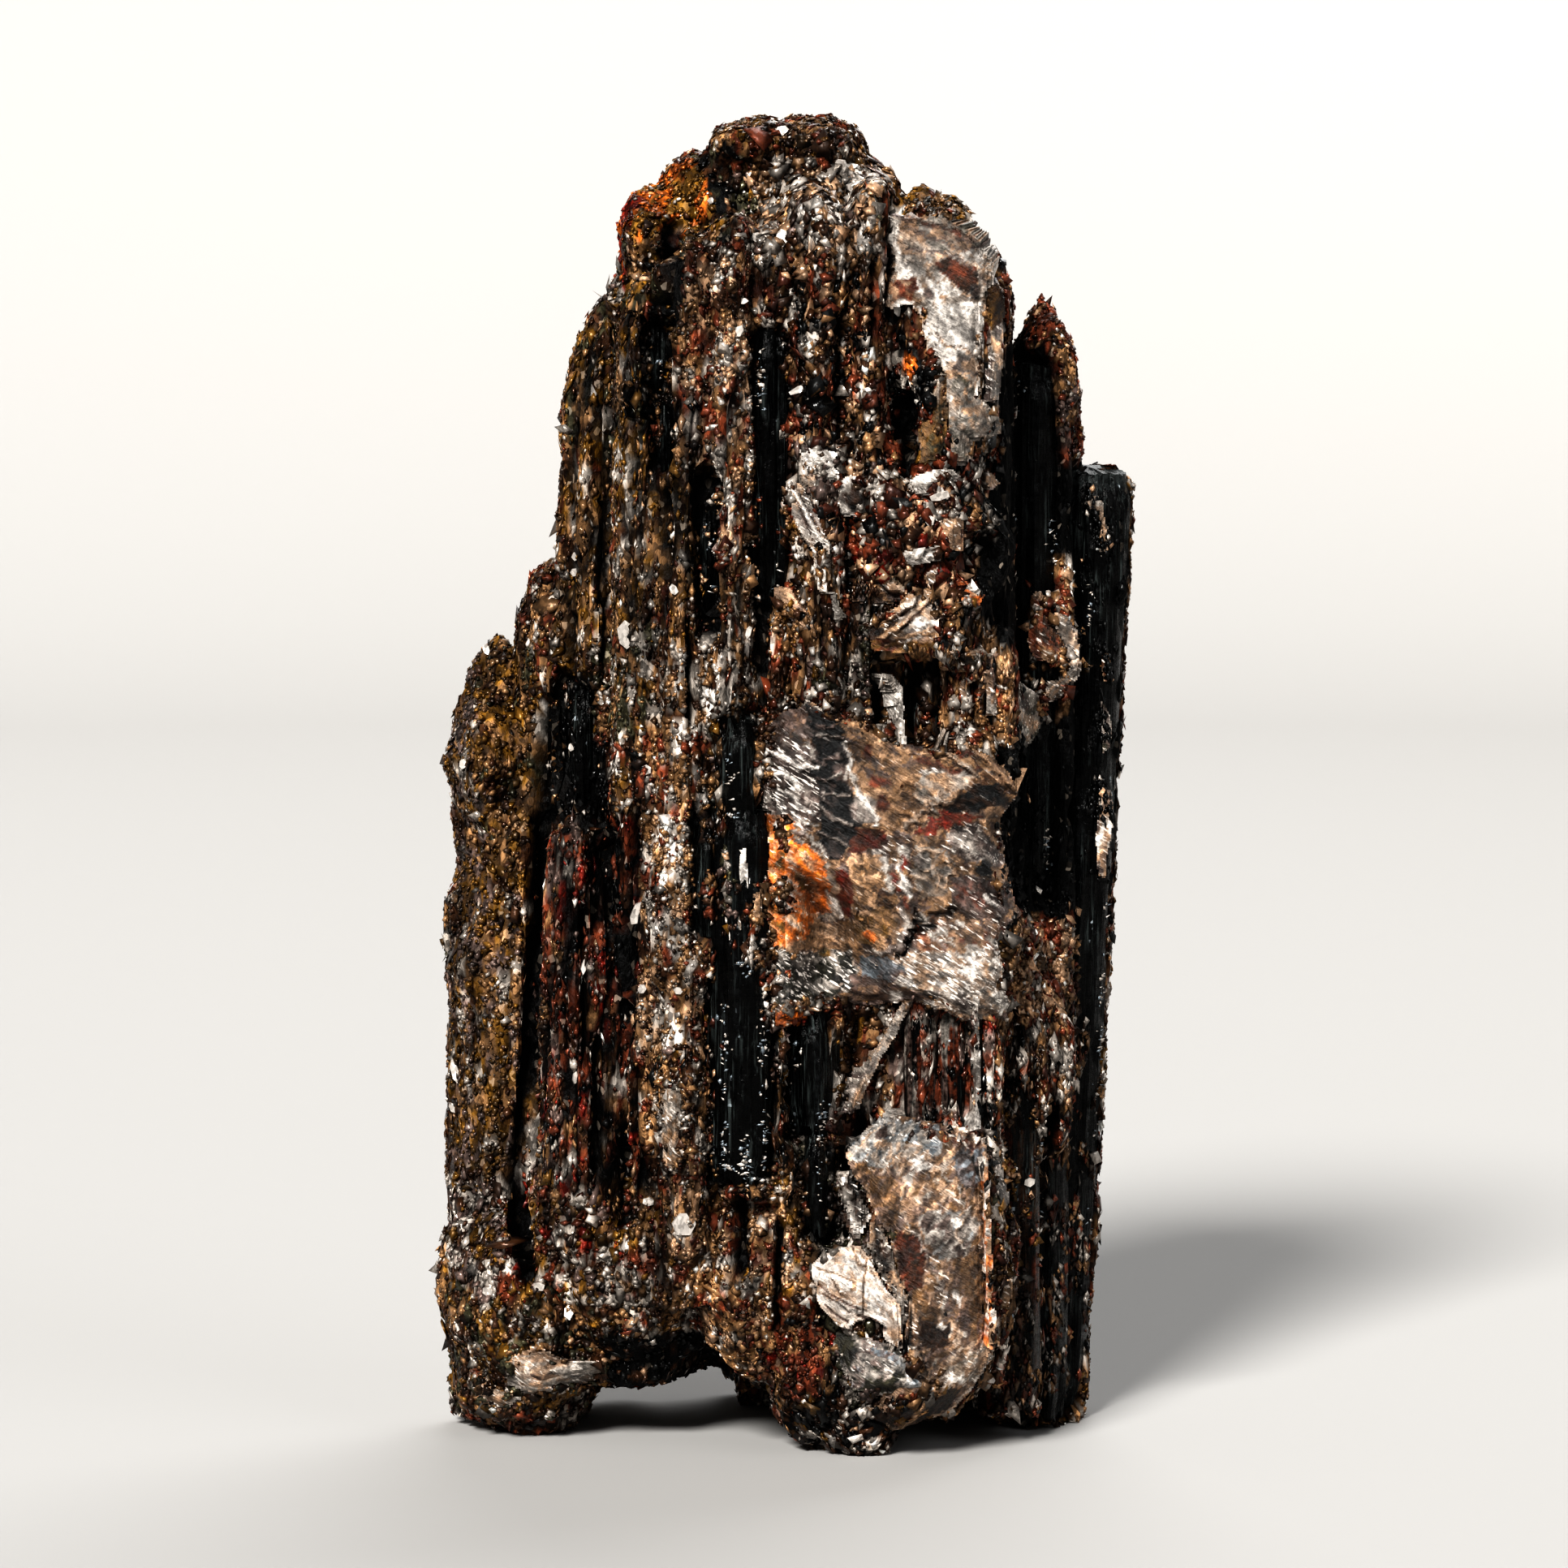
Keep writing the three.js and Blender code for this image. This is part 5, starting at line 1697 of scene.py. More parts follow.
        area("umber 1 bronze 3 tan 2", 1.0, 0.1, "4.2,36.4 5.9,36.4 6.4,35.0 6.7,33.2 4.2,32.8 4.0,34.5"),
        area(
            "ochre 2 bronze 2 tan 2 olive 1", 1.0, 0.1,
            "4.4,32.9 5.8,33.2 6.8,32.9 6.5,31.6 5.6,31.0 4.2,31.1 4.0,32.2",
        ),
        area("rust 3 umber 2 red 0.5", 0.8, 0.0, "3.6,37.5 4.6,37.7 6.1,37.8 6.3,37.0 4.8,36.5 4.0,36.3"),
        area("rust 3 red 1 umber 2", 0.8, 0.0, "3.1,35.2 3.9,35.2 4.2,34.0 4.0,32.5 3.5,32.5 3.0,34.0"),
        area(
            "coal 5 ink 3 mauve 2", 0.6, 0.1,
            "1.2,45.2 2.6,44.6 3.7,43.7 3.7,42.2 3.6,40.6 4.3,39.6 5.3,38.7 4.4,37.8 3.8,36.9 3.5,35.9"
            " 2.8,36.1 2.2,37.4 2.3,39.6 1.5,41.0 1.9,42.5 1.4,44.2",
        ),
        area("tan 2 silver 2 bronze 1", 1.0, 0.1, "1.6,36.9 2.5,36.2 3.0,34.6 3.6,32.4 2.9,32.0 2.0,32.2"),
        area(
            "ochre 1 orange 4 tan 0.6 orange 3", 1.5, 0.3,
            "-1.0,38.6 0.3,38.7 0.7,37.9 0.3,37.0 1.4,36.9 2.3,36.0 2.5,34.6 3.0,33.4 2.6,32.6 1.9,32.2"
            " 1.5,31.5 0.6,31.0 -1.0,30.8",
        ),
        area("rust 2 orange 2 umber 1", 1.1, 0.0, "-1.0,27.2 1.3,27.2 1.3,26.5 0.3,26.3 -1.0,25.8"),
        stain(4.7, 39.0, 0.7, 0.8, "mauve 3 silver 2", 1.0, 0.1),
        stain(1.1, 43.6, 0.6, 0.5, "silver 1 mauve 2", 0.9),
        stain(5.5, 40.6, 0.6, 0.3, "rust 3 red 1", 1.2, 0.0),
        stain(5.0, 42.3, 0.3, 0.4, "rust 2 bronze 1", 1.0, 0.0),
        stain(5.9, 39.4, 0.5, 0.6, "umber 2 rust 1", 0.9, 0.0),
        stain(11.9, 35.3, 0.7, 0.5, "coal 4 ink 1", 0.6, 0.0),
        stain(2.5, 30.2, 0.4, 0.3, "olive 2 ochre 1", 1.2, 0.0),
        stain(5.2, 31.5, 0.5, 0.2, "orange 1", 1.1, 0.0),
        streak("mauve 2 silver 1", 0.13, 1.0, 0.1, "1.9,43.6 2.7,43.5 3.5,43.2"),
        streak("mauve 2 silver 1", 0.13, 1.0, 0.1, "1.6,42.1 2.4,41.8 3.4,42.2"),
        streak("mauve 2 silver 1", 0.13, 1.0, 0.1, "1.9,40.8 2.6,40.6 3.4,41.1"),
        streak("mauve 2 silver 1", 0.13, 1.0, 0.1, "2.4,40.0 3.2,40.0 3.9,39.9"),
        streak("mauve 1 silver 2", 0.14, 1.0, 0.1, "2.2,39.1 3.0,38.6 4.2,38.0"),
        streak("mauve 2 silver 1", 0.12, 1.0, 0.1, "2.3,37.6 3.0,37.2 3.6,37.0"),
        streak("mauve 1", 0.12, 1.0, 0.1, "1.7,44.2 2.3,44.0 3.0,44.2"),
        streak("silver 1 pearl 1", 0.18, 0.9, 0.12, "3.8,43.0 3.9,41.3 4.4,39.9 5.3,38.6 5.2,38.1"),
        streak("pearl 1", 0.2, 1.0, 0.12, "-0.8,42.4 0.2,42.0 0.9,41.6 2.0,41.5"),
        streak("pearl 1", 0.17, 1.0, 0.12, "-0.7,41.3 0.3,40.9 1.0,40.1"),
        streak("pearl 1", 0.13, 0.8, 0.12, "0.0,40.1 0.9,39.4 1.6,38.9"),
        streak("silver 1 pearl 1", 0.14, 0.9, 0.12, "0.6,38.7 1.4,38.2 1.9,38.1"),
        streak("silver 1 pearl 1", 0.17, 1.0, 0.12, "2.4,34.1 3.0,33.3 3.5,32.3"),
        *(
            streak(
                "tan 1 pearl 1", 0.09, 1.0, 0.05,
                f"{0.1 + 0.35 * (n % 2)},{36.2 - 0.6 * n} {0.9 + 0.3 * (n % 2)},{35.6 - 0.6 * n}",
            )
            for n in range(7)
        ),
        streak("pearl 1", 0.18, 0.9, 0.12, "-0.2,34.7 0.5,33.9"),
        streak("pearl 1", 0.18, 0.9, 0.12, "-0.3,33.7 0.5,33.1"),
        streak("silver 1 pearl 1", 0.28, 1.0, 0.1, "5.9,36.1 6.1,35.0 6.2,34.2"),
        streak("silver 1 pearl 1", 0.3, 1.0, 0.1, "7.2,36.6 7.0,34.9 7.4,33.9"),
        streak("red 1 rust 1", 0.2, 1.2, 0.0, "7.2,36.0 7.3,35.3"),
        streak("red 1 rust 1", 0.2, 1.1, 0.0, "6.5,35.2 6.6,34.4"),
        streak("rust 1", 0.22, 1.3, 0.0, "7.1,33.8 7.3,33.1"),
        # A pale raised curl, with dark sunken streaks beside it painted as its shadow.
        streak("silver 3 mauve 1", 0.32, 1.0, 0.25, "7.1,32.9 7.5,32.2 7.2,31.4 6.4,30.8 5.6,30.5"),
        streak("coal 1", 0.26, 1.0, -0.35, "7.9,32.9 7.9,31.8 7.2,30.8 6.8,30.2"),
        streak("coal 2 umber 1", 0.5, 1.0, -0.3, "7.9,31.6 8.9,32.5 9.9,32.9"),
        streak("tan 3 silver 1", 0.32, 1.1, 0.3, "7.3,38.0 8.2,38.7 9.3,39.5 10.2,39.9"),
        streak("tan 1 silver 1", 0.2, 1.1, 0.3, "8.8,42.6 9.8,42.3 11.0,41.5 11.4,41.1"),
        streak("tan 3 bronze 1", 0.22, 1.1, 0.35, "9.7,43.1 10.7,42.8 11.6,42.2 12.8,41.2 13.9,40.0"),
        streak("rust 2 umber 2", 0.3, 1.0, -0.1, "7.9,42.0 9.0,41.6 10.2,41.2"),
        streak("tan 2 ochre 1", 0.16, 1.2, 0.15, "11.8,38.3 12.4,37.2 13.0,36.0"),
        streak("rust 1 tan 2", 0.2, 1.1, 0.15, "12.9,35.3 13.4,34.4 14.0,33.2"),
        streak("silver 1 tan 1", 0.14, 1.1, 0.12, "7.9,36.6 8.6,36.5 9.6,36.2 10.0,35.2 9.6,34.2"),
        streak("silver 1 tan 1", 0.12, 1.1, 0.1, "8.3,35.3 8.9,35.7 9.4,35.0 8.9,34.4"),
        streak("pearl 1", 0.18, 1.0, 0.1, "12.0,33.7 12.8,33.1"),
        streak("pearl 1", 0.14, 0.9, 0.1, "10.1,32.4 10.7,32.1"),
        streak("silver 1 pearl 1", 0.14, 0.9, 0.1, "9.4,31.1 10.1,30.9"),
        streak("silver 1 pearl 1", 0.4, 0.9, 0.1, "12.6,28.0 13.2,27.2"),
        streak("silver 1 pearl 1", 0.34, 1.0, 0.1, "6.6,27.9 6.8,27.0"),
        step=0.11, relief=0.14, ruffle=0.26, shrink=0.03, base=1.6, dash=0.3, bright=0.88, mottle=0.6,
        fray=0.4, shard=0.8,
    ),
    sheet(
        "book_face", "umber 2 bronze 3 mauve 2 tan 2 silver 2",
        "3.5,18.3 4.3,19.1 4.9,19.8 6.0,20.4 7.0,20.7 9.0,20.4 10.8,20.1 12.0,19.2 12.4,17.9 12.5,14.5"
        " 12.6,9.6 12.6,6.6 12.0,5.2 11.3,4.0 10.4,3.0 9.2,2.3 8.0,1.8 6.5,1.6 5.3,2.8 6.0,4.7 7.1,7.2"
        " 7.4,9.9 6.4,12.0 6.1,14.0 5.3,15.0 4.6,16.6 3.8,17.6",
        area(
            "mauve 1 steel 1 silver 4 tan 1", 1.0, 0.3,
            "3.4,18.6 6.2,20.6 9.4,19.9 9.4,18.8 7.0,18.2 5.4,17.6 4.2,17.8",
        ),
        area(
            "ink 1 mauve 2 steel 2", 0.95, 0.0,
            "10.1,18.7 11.0,18.9 11.9,18.6 11.8,17.2 11.2,16.2 10.6,16.6 10.0,17.6",
        ),
        area("umber 1 bronze 2 mauve 1", 0.95, 0.0, "5.0,17.1 7.0,17.5 7.1,15.6 6.4,14.1 5.3,15.2"),
        area("umber 3 rust 1 coal 1", 0.8, 0.0, "6.5,14.0 7.7,13.8 8.5,12.4 8.1,10.6 7.3,10.4 6.8,11.6"),
        area(
            "mauve 2 silver 2 steel 0.5", 0.95, 0.1,
            "8.0,15.1 10.4,15.3 11.6,14.4 10.9,12.6 9.4,12.2 8.3,13.4",
        ),
        area("umber 1 bronze 2 mauve 2", 0.95, 0.0, "10.2,12.4 12.1,12.6 12.1,8.0 11.0,7.4 9.7,9.4"),
        area("umber 4 coal 1", 0.8, 0.0, "8.0,8.9 9.0,8.3 9.9,8.1 9.7,7.2 8.8,6.7 8.2,7.2"),
        area("ochre 1 tan 2 silver 1", 1.0, 0.0, "7.3,7.0 8.0,6.6 8.8,5.2 8.4,5.0 7.6,5.9"),
        area(
            "umber 3 coal 1 ochre 1", 0.8, 0.0, "5.2,2.6 7.0,3.8 9.6,4.4 10.4,4.0 9.6,2.8 8.0,2.0 6.5,1.8"
        ),
        area("tan 2 silver 2 ochre 0.5", 1.0, 0.3, "9.6,6.4 12.4,7.0 12.4,5.8 11.2,4.0 10.6,4.6 9.6,5.0"),
        streak("tan 2 pearl 1", 0.18, 1.1, 0.2, "9.8,20.2 11.0,19.8 11.9,19.1"),
        streak("silver 1 steel 1", 0.2, 1.1, 0.2, "4.3,19.2 5.4,20.0 6.6,20.5"),
        streak("umber 1 rust 1", 0.22, 0.7, -0.1, "9.0,20.1 10.2,19.4 11.6,18.9"),
        streak("pearl 1", 0.36, 1.0, 0.1, "7.7,18.1 8.5,18.1"),
        streak("silver 1 pearl 1", 0.28, 0.9, 0.1, "3.9,18.6 4.9,18.4"),
        streak("silver 1 mauve 1", 0.14, 1.3, 0.1, "7.6,14.0 8.4,12.6 9.2,11.2 9.8,10.0"),
        streak("silver 1 tan 1", 0.12, 1.2, 0.1, "8.9,17.8 10.3,16.6 10.8,15.2 10.2,13.8 10.9,12.8"),
        streak("silver 1 tan 1", 0.12, 1.2, 0.1, "6.9,16.6 7.0,15.2 7.4,14.2"),
        streak("pearl 1", 0.16, 1.0, 0.1, "9.0,15.1 9.1,15.0"),
        streak("pearl 1", 0.2, 1.0, 0.1, "10.1,14.8 10.4,14.4"),
        streak("pearl 1", 0.22, 1.0, 0.1, "10.2,10.2 10.4,9.8"),
        streak("pearl 1", 0.16, 1.0, 0.1, "9.2,8.4 9.4,8.2"),
        streak("coal 1", 0.22, 1.0, -0.15, "7.2,10.2 7.5,8.6 7.5,7.2"),
        streak("umber 1 coal 1", 0.14, 1.0, -0.15, "8.0,7.0 8.6,5.4"),
        streak("tan 1 pearl 2", 0.4, 1.0, 0.1, "9.8,5.1 10.4,4.9"),
        streak("tan 2 pearl 1", 0.3, 1.0, 0.2, "9.8,2.6 11.0,3.9 12.1,5.9 12.5,6.8"),
        streak("tan 1 ochre 1", 0.24, 1.2, 0.2, "7.0,1.8 7.8,2.4 8.6,4.0"),
        *(
            streak(
                "tan 1 silver 1", 0.1, 1.0, 0.08,
                f"{10.2 + 0.5 * n},{7.0 - 0.1 * n} {10.9 + 0.5 * n},{6.1 - 0.1 * n}",
            )
            for n in range(4)
        ),
        leaves=3, step=0.12, grain=60, ruffle=0.1, lift=0.1, shrink=0.03, dash=0.25, cracks=0.5,
        mottle=0.35, shard=0.5, fray=0.4, bright=0.95, ragged=0.08, crusted=False,
    ),
    sheet(
        "copper_edge", "tan 3 orange 0.3 pearl 1 tan 2",
        "11.7,18.6 12.1,18.4 12.3,14.5 12.4,11.6 12.6,8.6 12.5,6.8 12.1,6.9 12.0,9.6 11.8,13.5",
        dash=0.1, crusted=False, grain=90, relief=0.04, lift=1.0, bright=1.1, ragged=0.06, tuck=0.1,
        fray=0.15,
    ),
    sheet(
        "book_flap", "bronze 2 tan 2 ochre 1 silver 1",
        "12.6,13.0 13.2,12.2 13.6,11.0 13.4,9.2 13.2,7.6 12.9,6.6 12.4,6.6 12.6,9.6",
        step=0.16, crusted=False, grain=80, lift=0.1,
    ),
    sheet(
        "book_flap_upper", "mauve 2 silver 2 ink 1",
        "12.4,18.3 12.9,18.0 13.3,16.6 13.6,15.5 13.0,15.0 12.4,15.2",
        step=0.16, grain=-70, lift=0.1,
    ),
    sheet(
        "book_pages", "umber 2 silver 3 pearl 1",
        "3.0,16.7 3.8,17.5 4.4,16.3 5.4,14.8 5.0,14.4 4.6,13.2 4.1,13.2 3.6,14.8",
        streak("coal 1 umber 1", 0.3, 0.8, -0.2, "4.1,17.0 4.3,15.6 4.6,14.4"),
        leaves=4, step=0.16, crusted=False, grain=-65, lift=0.3, shrink=0.14,
    ),
    sheet(
        "book_pages_low", "umber 2 silver 2 tan 2",
        "4.9,14.6 5.9,14.3 6.3,12.9 6.6,12.0 7.4,10.1 7.3,8.6 7.0,7.4 6.6,9.6 5.5,11.6 5.0,12.6",
        streak("coal 1 umber 1", 0.34, 0.8, -0.2, "5.4,14.0 5.6,12.6 6.2,11.4"),
        leaves=4, step=0.16, crusted=False, grain=-70, lift=0.4, shrink=0.12,
    ),
    sheet(
        "white_face", "pearl 3 tan 0.3 pearl 3",
        "1.6,12.0 2.1,12.5 3.0,12.9 4.6,13.1 5.0,12.4 5.3,11.9 5.9,10.9 6.9,9.7 7.0,8.9 7.1,6.9 6.1,7.5"
        " 6.0,8.4 5.2,8.9 4.3,8.6 3.9,8.1 3.3,8.3 2.2,9.3 1.9,9.8 1.9,10.6 1.6,11.2",
        area("tan 1 pearl 2", 0.95, 0.0, "2.1,11.8 3.0,11.6 4.3,10.9 4.4,9.3 2.2,10.4"),
        streak("umber 1 tan 1", 0.1, 0.8, -0.1, "4.9,12.3 4.7,10.6 4.7,9.1"),
        streak("umber 1 tan 1", 0.1, 0.8, -0.1, "2.0,11.7 3.0,11.5 4.2,11.0"),
        streak("tan 1", 0.08, 0.8, -0.1, "2.1,10.9 2.0,10.2"),
        streak("umber 1 tan 2", 0.07, 0.7, -0.1, "4.1,12.9 4.4,12.0 4.9,11.8"),
        streak("umber 1 rust 1", 0.14, 0.9, -0.15, "4.4,9.0 5.4,8.7 6.0,8.2"),
        streak("umber 2 rust 1", 0.1, 0.9, -0.12, "2.1,10.7 3.0,10.1 4.5,9.4"),
        streak("umber 2 rust 1", 0.07, 0.8, -0.12, "2.3,10.2 3.2,9.8 3.9,9.2"),
        streak("rust 2 umber 1", 0.09, 0.9, -0.12, "2.4,9.6 3.1,9.0 3.8,8.6"),
        streak("umber 1 tan 1", 0.06, 0.7, -0.1, "2.9,11.1 3.4,10.2"),
        step=0.09, dash=0.0, crusted=False, relief=0.02, lift=0.6, bright=1.15, ragged=0.08, fray=0.05,
        mottle=0.2, shrink=0.05,
    ),
    sheet(
        "grey_lump", "olive 1 ink 1 silver 3 mauve 2 steel 1",
        "3.0,7.9 4.5,8.0 6.0,7.6 7.2,7.1 7.7,6.1 8.9,5.3 9.0,4.2 7.6,4.0 6.8,4.1 5.0,4.0 3.6,4.6 2.9,6.2",
        area("olive 2 ink 2", 0.8, 0.1, "3.0,7.9 4.2,7.6 4.4,6.6 3.4,6.2"),
        area("silver 2 steel 1 mauve 1", 1.1, 0.2, "6.4,6.8 7.4,6.4 8.9,5.4 8.9,4.4 7.6,4.4 6.8,5.6"),
        area("olive 2 ink 1", 0.8, 0.1, "4.8,5.2 6.8,5.2 6.9,4.3 4.8,4.1"),
        leaves=3, step=0.16, dash=0.3, grain=-30, ruffle=0.2, lift=0.3, cracks=0.4, mottle=0.6, shard=0.5,
        bright=1.15,
    ),
    sheet(
        "book_foot", "umber 2 bronze 2 tan 3 ochre 1",
        "3.6,2.9 5.2,3.2 6.4,3.9 7.2,3.9 6.0,2.9 4.8,2.3 3.8,2.2",
        leaves=3, step=0.16, grain=25, lift=0.3,
    ),
    sheet(
        "triangle_edge", "mauve 1 silver 4 tan 2",
        "7.1,27.6 7.5,27.4 6.7,25.6 5.7,24.0 4.9,22.3 4.2,20.6 3.6,20.7 4.6,22.9 5.5,24.6 6.3,26.0",
        leaves=3, crusted=False, grain=62, relief=0.1, lift=0.35, bright=1.1, ragged=0.12, tuck=0.15,
    ),
    sheet(
        "window_line", "silver 2 pearl 1",
        "11.2,28.0 11.6,27.8 11.7,24.0 11.8,19.8 11.4,19.8 11.3,24.0",
        crusted=False, grain=90, lift=0.6, ragged=0.08, fray=0.1, tuck=0.2,
    ),
    sheet(
        "pale_sliver", "silver 4 pearl 1",
        "5.9,46.9 6.5,46.9 7.0,46.2 7.1,44.9 7.2,42.4 6.8,42.4 6.7,44.6 6.6,45.8",
        crusted=False, grain=90, lift=0.5, ragged=0.12,
    ),
    sheet(
        "cluster_left", "umber 2 rust 3 bronze 2 tan 1",
        "14.9,51.4 15.3,51.8 15.9,51.0 16.0,49.6 16.6,48.8 17.2,47.6 16.6,46.9 15.2,47.2 14.6,48.4"
        " 14.8,49.9",
        streak("tan 1 silver 1", 0.3, 1.0, 0.2, "15.1,51.6 15.5,51.2 15.8,50.6"),
        leaves=3, step=0.12, grain=80, lift=0.1, ruffle=0.2,
    ),
    sheet(
        "cluster_right", "mauve 1 silver 4 tan 2 pearl 1",
        "16.4,50.3 17.2,49.9 17.7,49.0 18.0,47.8 17.9,46.2 17.2,45.2 16.2,44.5 15.6,44.8 16.1,45.3"
        " 17.0,45.9 17.4,46.8 17.1,47.9 16.7,48.8 16.3,49.5",
        leaves=3, step=0.11, grain=60, lift=0.35, ruffle=0.2, crusted=False, shrink=0.03, ragged=0.14,
    ),
    sheet(
        "cluster_low", "umber 1 olive 2 silver 2 tan 1",
        "13.0,47.3 13.6,46.8 14.4,46.1 15.6,45.0 15.2,44.4 15.7,43.4 15.0,42.4 14.4,41.8 13.8,43.2"
        " 13.4,45.0",
        streak("silver 1 pearl 1", 0.2, 1.0, 0.2, "14.4,46.0 15.0,45.4 15.6,45.0"),
        step=0.12, grain=-50, lift=0.2, ruffle=0.2,
    ),
    sheet(
        "foot_fold", "umber 1 mauve 2 tan 3 silver 3",
        "-16.7,5.7 -14.8,6.1 -12.9,5.2 -10.9,5.2 -10.4,4.2 -12.9,3.3 -15.3,2.7 -16.9,3.7",
        leaves=4, step=0.16, grain=10, ruffle=0.3, lift=0.2,
    ),
    sheet(
        "foot_fold_low", "rust 2 tan 3 silver 2",
        "-19.2,4.7 -17.7,3.3 -15.3,2.4 -16.8,1.6 -18.7,2.5",
        leaves=3, step=0.16, grain=-30, ruffle=0.2, lift=0.2,
    ),
    sheet(
        "flat_top", "umber 1 bronze 4 silver 2 tan 2",
        "-7.4,22.7 -6.0,22.9 -5.8,19.4 -6.3,17.0 -7.3,17.4 -7.6,20.4",
        leaves=3, step=0.16, grain=90, relief=0.14, lift=0.1,
    ),
    sheet(
        "pit_chips", "mauve 1 silver 3 pearl 2",
        "7.2,58.3 8.4,58.9 9.9,59.2 10.5,58.7 9.9,58.0 8.7,57.4 7.7,57.6",
        leaves=3, step=0.11, crusted=False, grain=20, lift=0.2, ruffle=0.2,
    ),
    sheet(
        "pit_chip_right", "tan 3 mauve 1 silver 1",
        "11.9,58.9 12.4,58.7 13.0,58.0 12.4,57.5 12.0,58.0",
        crusted=False, grain=20, lift=0.3,
    ),
    sheet(
        "pit_flake", "silver 4 pearl 1",
        "6.9,54.0 8.1,54.5 9.4,54.5 9.3,53.7 8.2,53.6 7.4,53.4",
        crusted=False, grain=15, lift=0.4,
    ),
    sheet(
        "pit_flake_low", "tan 2 silver 2 mauve 1",
        "8.2,52.9 9.2,53.3 9.0,52.1 8.5,52.0",
        crusted=False, grain=15, lift=0.3,
    ),
    sheet(
        "red_flake", "rust 3 orange 1 tan 1 rust 2",
        "10.4,52.4 11.3,52.2 12.0,51.6 11.6,51.0 10.9,51.0 10.3,51.6",
        grain=20, lift=0.3, dash=0.1,
    ),
    sheet(
        "pit_flake_upper", "rust 1 tan 4",
        "9.3,56.1 10.2,56.9 10.8,56.1 10.7,54.2 9.8,53.7 9.3,54.7",
        step=0.16, grain=80, lift=0.4,
    ),
    sheet(
        "centre_strip", "tan 1 silver 3 pearl 2",
        "-2.9,36.8 -2.1,37.1 -1.9,35.4 -2.0,33.0 -2.1,31.1 -2.8,30.0 -3.3,30.5 -3.1,32.5 -3.0,34.9",
        crusted=False, grain=85, lift=0.45, ragged=0.12,
    ),
    sheet(
        "centre_strip_small", "bronze 2 tan 2",
        "-1.8,34.1 -1.3,34.3 -1.2,32.5 -1.5,31.8 -1.8,32.5",
        crusted=False, grain=85, lift=0.45, ragged=0.1,
    ),
    sheet(
        "edge_streak_top", "olive 1 tan 2 silver 2",
        "18.2,56.9 18.7,57.1 19.2,56.9 19.5,55.7 19.8,54.6 19.7,53.5 19.1,53.3 19.2,54.8 18.9,56.2"
        " 18.2,56.5",
        grain=85, lift=0.2, ragged=0.25, fray=0.2, bright=0.8,
    ),
    sheet(
        "edge_streak_middle", "olive 2 tan 2 rust 1 ochre 1",
        "19.3,48.1 19.6,47.6 19.9,46.8 19.8,45.8 19.5,45.5 19.1,46.5",
        grain=85, lift=0.4, ragged=0.1,
    ),
    sheet(
        "edge_streak_lower", "olive 1 mauve 1 silver 1",
        "19.3,44.8 19.6,44.2 20.0,43.2 19.8,41.6 19.4,41.2 19.2,42.6",
        grain=85, lift=0.4, ragged=0.1,
    ),
    sheet(
        "edge_streak_low", "mauve 1 tan 2 silver 1 pearl 1",
        "19.2,39.6 19.7,39.2 20.1,37.8 19.9,36.3 19.6,35.0 19.6,33.6 19.1,33.8 19.0,36.4",
        grain=85, lift=0.4, ragged=0.1, fray=0.2,
    ),
    sheet(
        "rear_book", "umber 2 bronze 2 mauve 2 tan 2 silver 2",
        "-14.2,28.6 -12.8,28.2 -12.2,30.2 -8.6,29.6 -8.4,26.0 -7.6,25.4 -7.8,18.8 -8.8,18.2 -9.6,14.6"
        " -12.0,15.4 -12.4,13.8 -14.6,16.8 -14.2,21.0 -15.2,23.0",
        leaves=4, step=0.16, behind=True, ruffle=0.14, cracks=0.5, shrink=0.06, grain=80, mottle=0.5,
        ragged=0.35, bright=0.8,
    ),
    sheet(
        "rear_slab", "umber 2 mauve 2 silver 3 tan 2",
        "3.6,66.8 5.2,67.8 5.8,66.6 8.4,66.2 8.6,62.4 9.6,60.8 9.0,57.2 7.6,56.8 7.4,52.4 5.6,53.6 5.2,51.6"
        " 3.8,54.2 4.2,57.8 3.2,60.2",
        leaves=4, step=0.16, behind=True, ruffle=0.25, cracks=0.4, grain=70, mottle=0.5, ragged=0.35,
        bright=0.8,
    ),
)


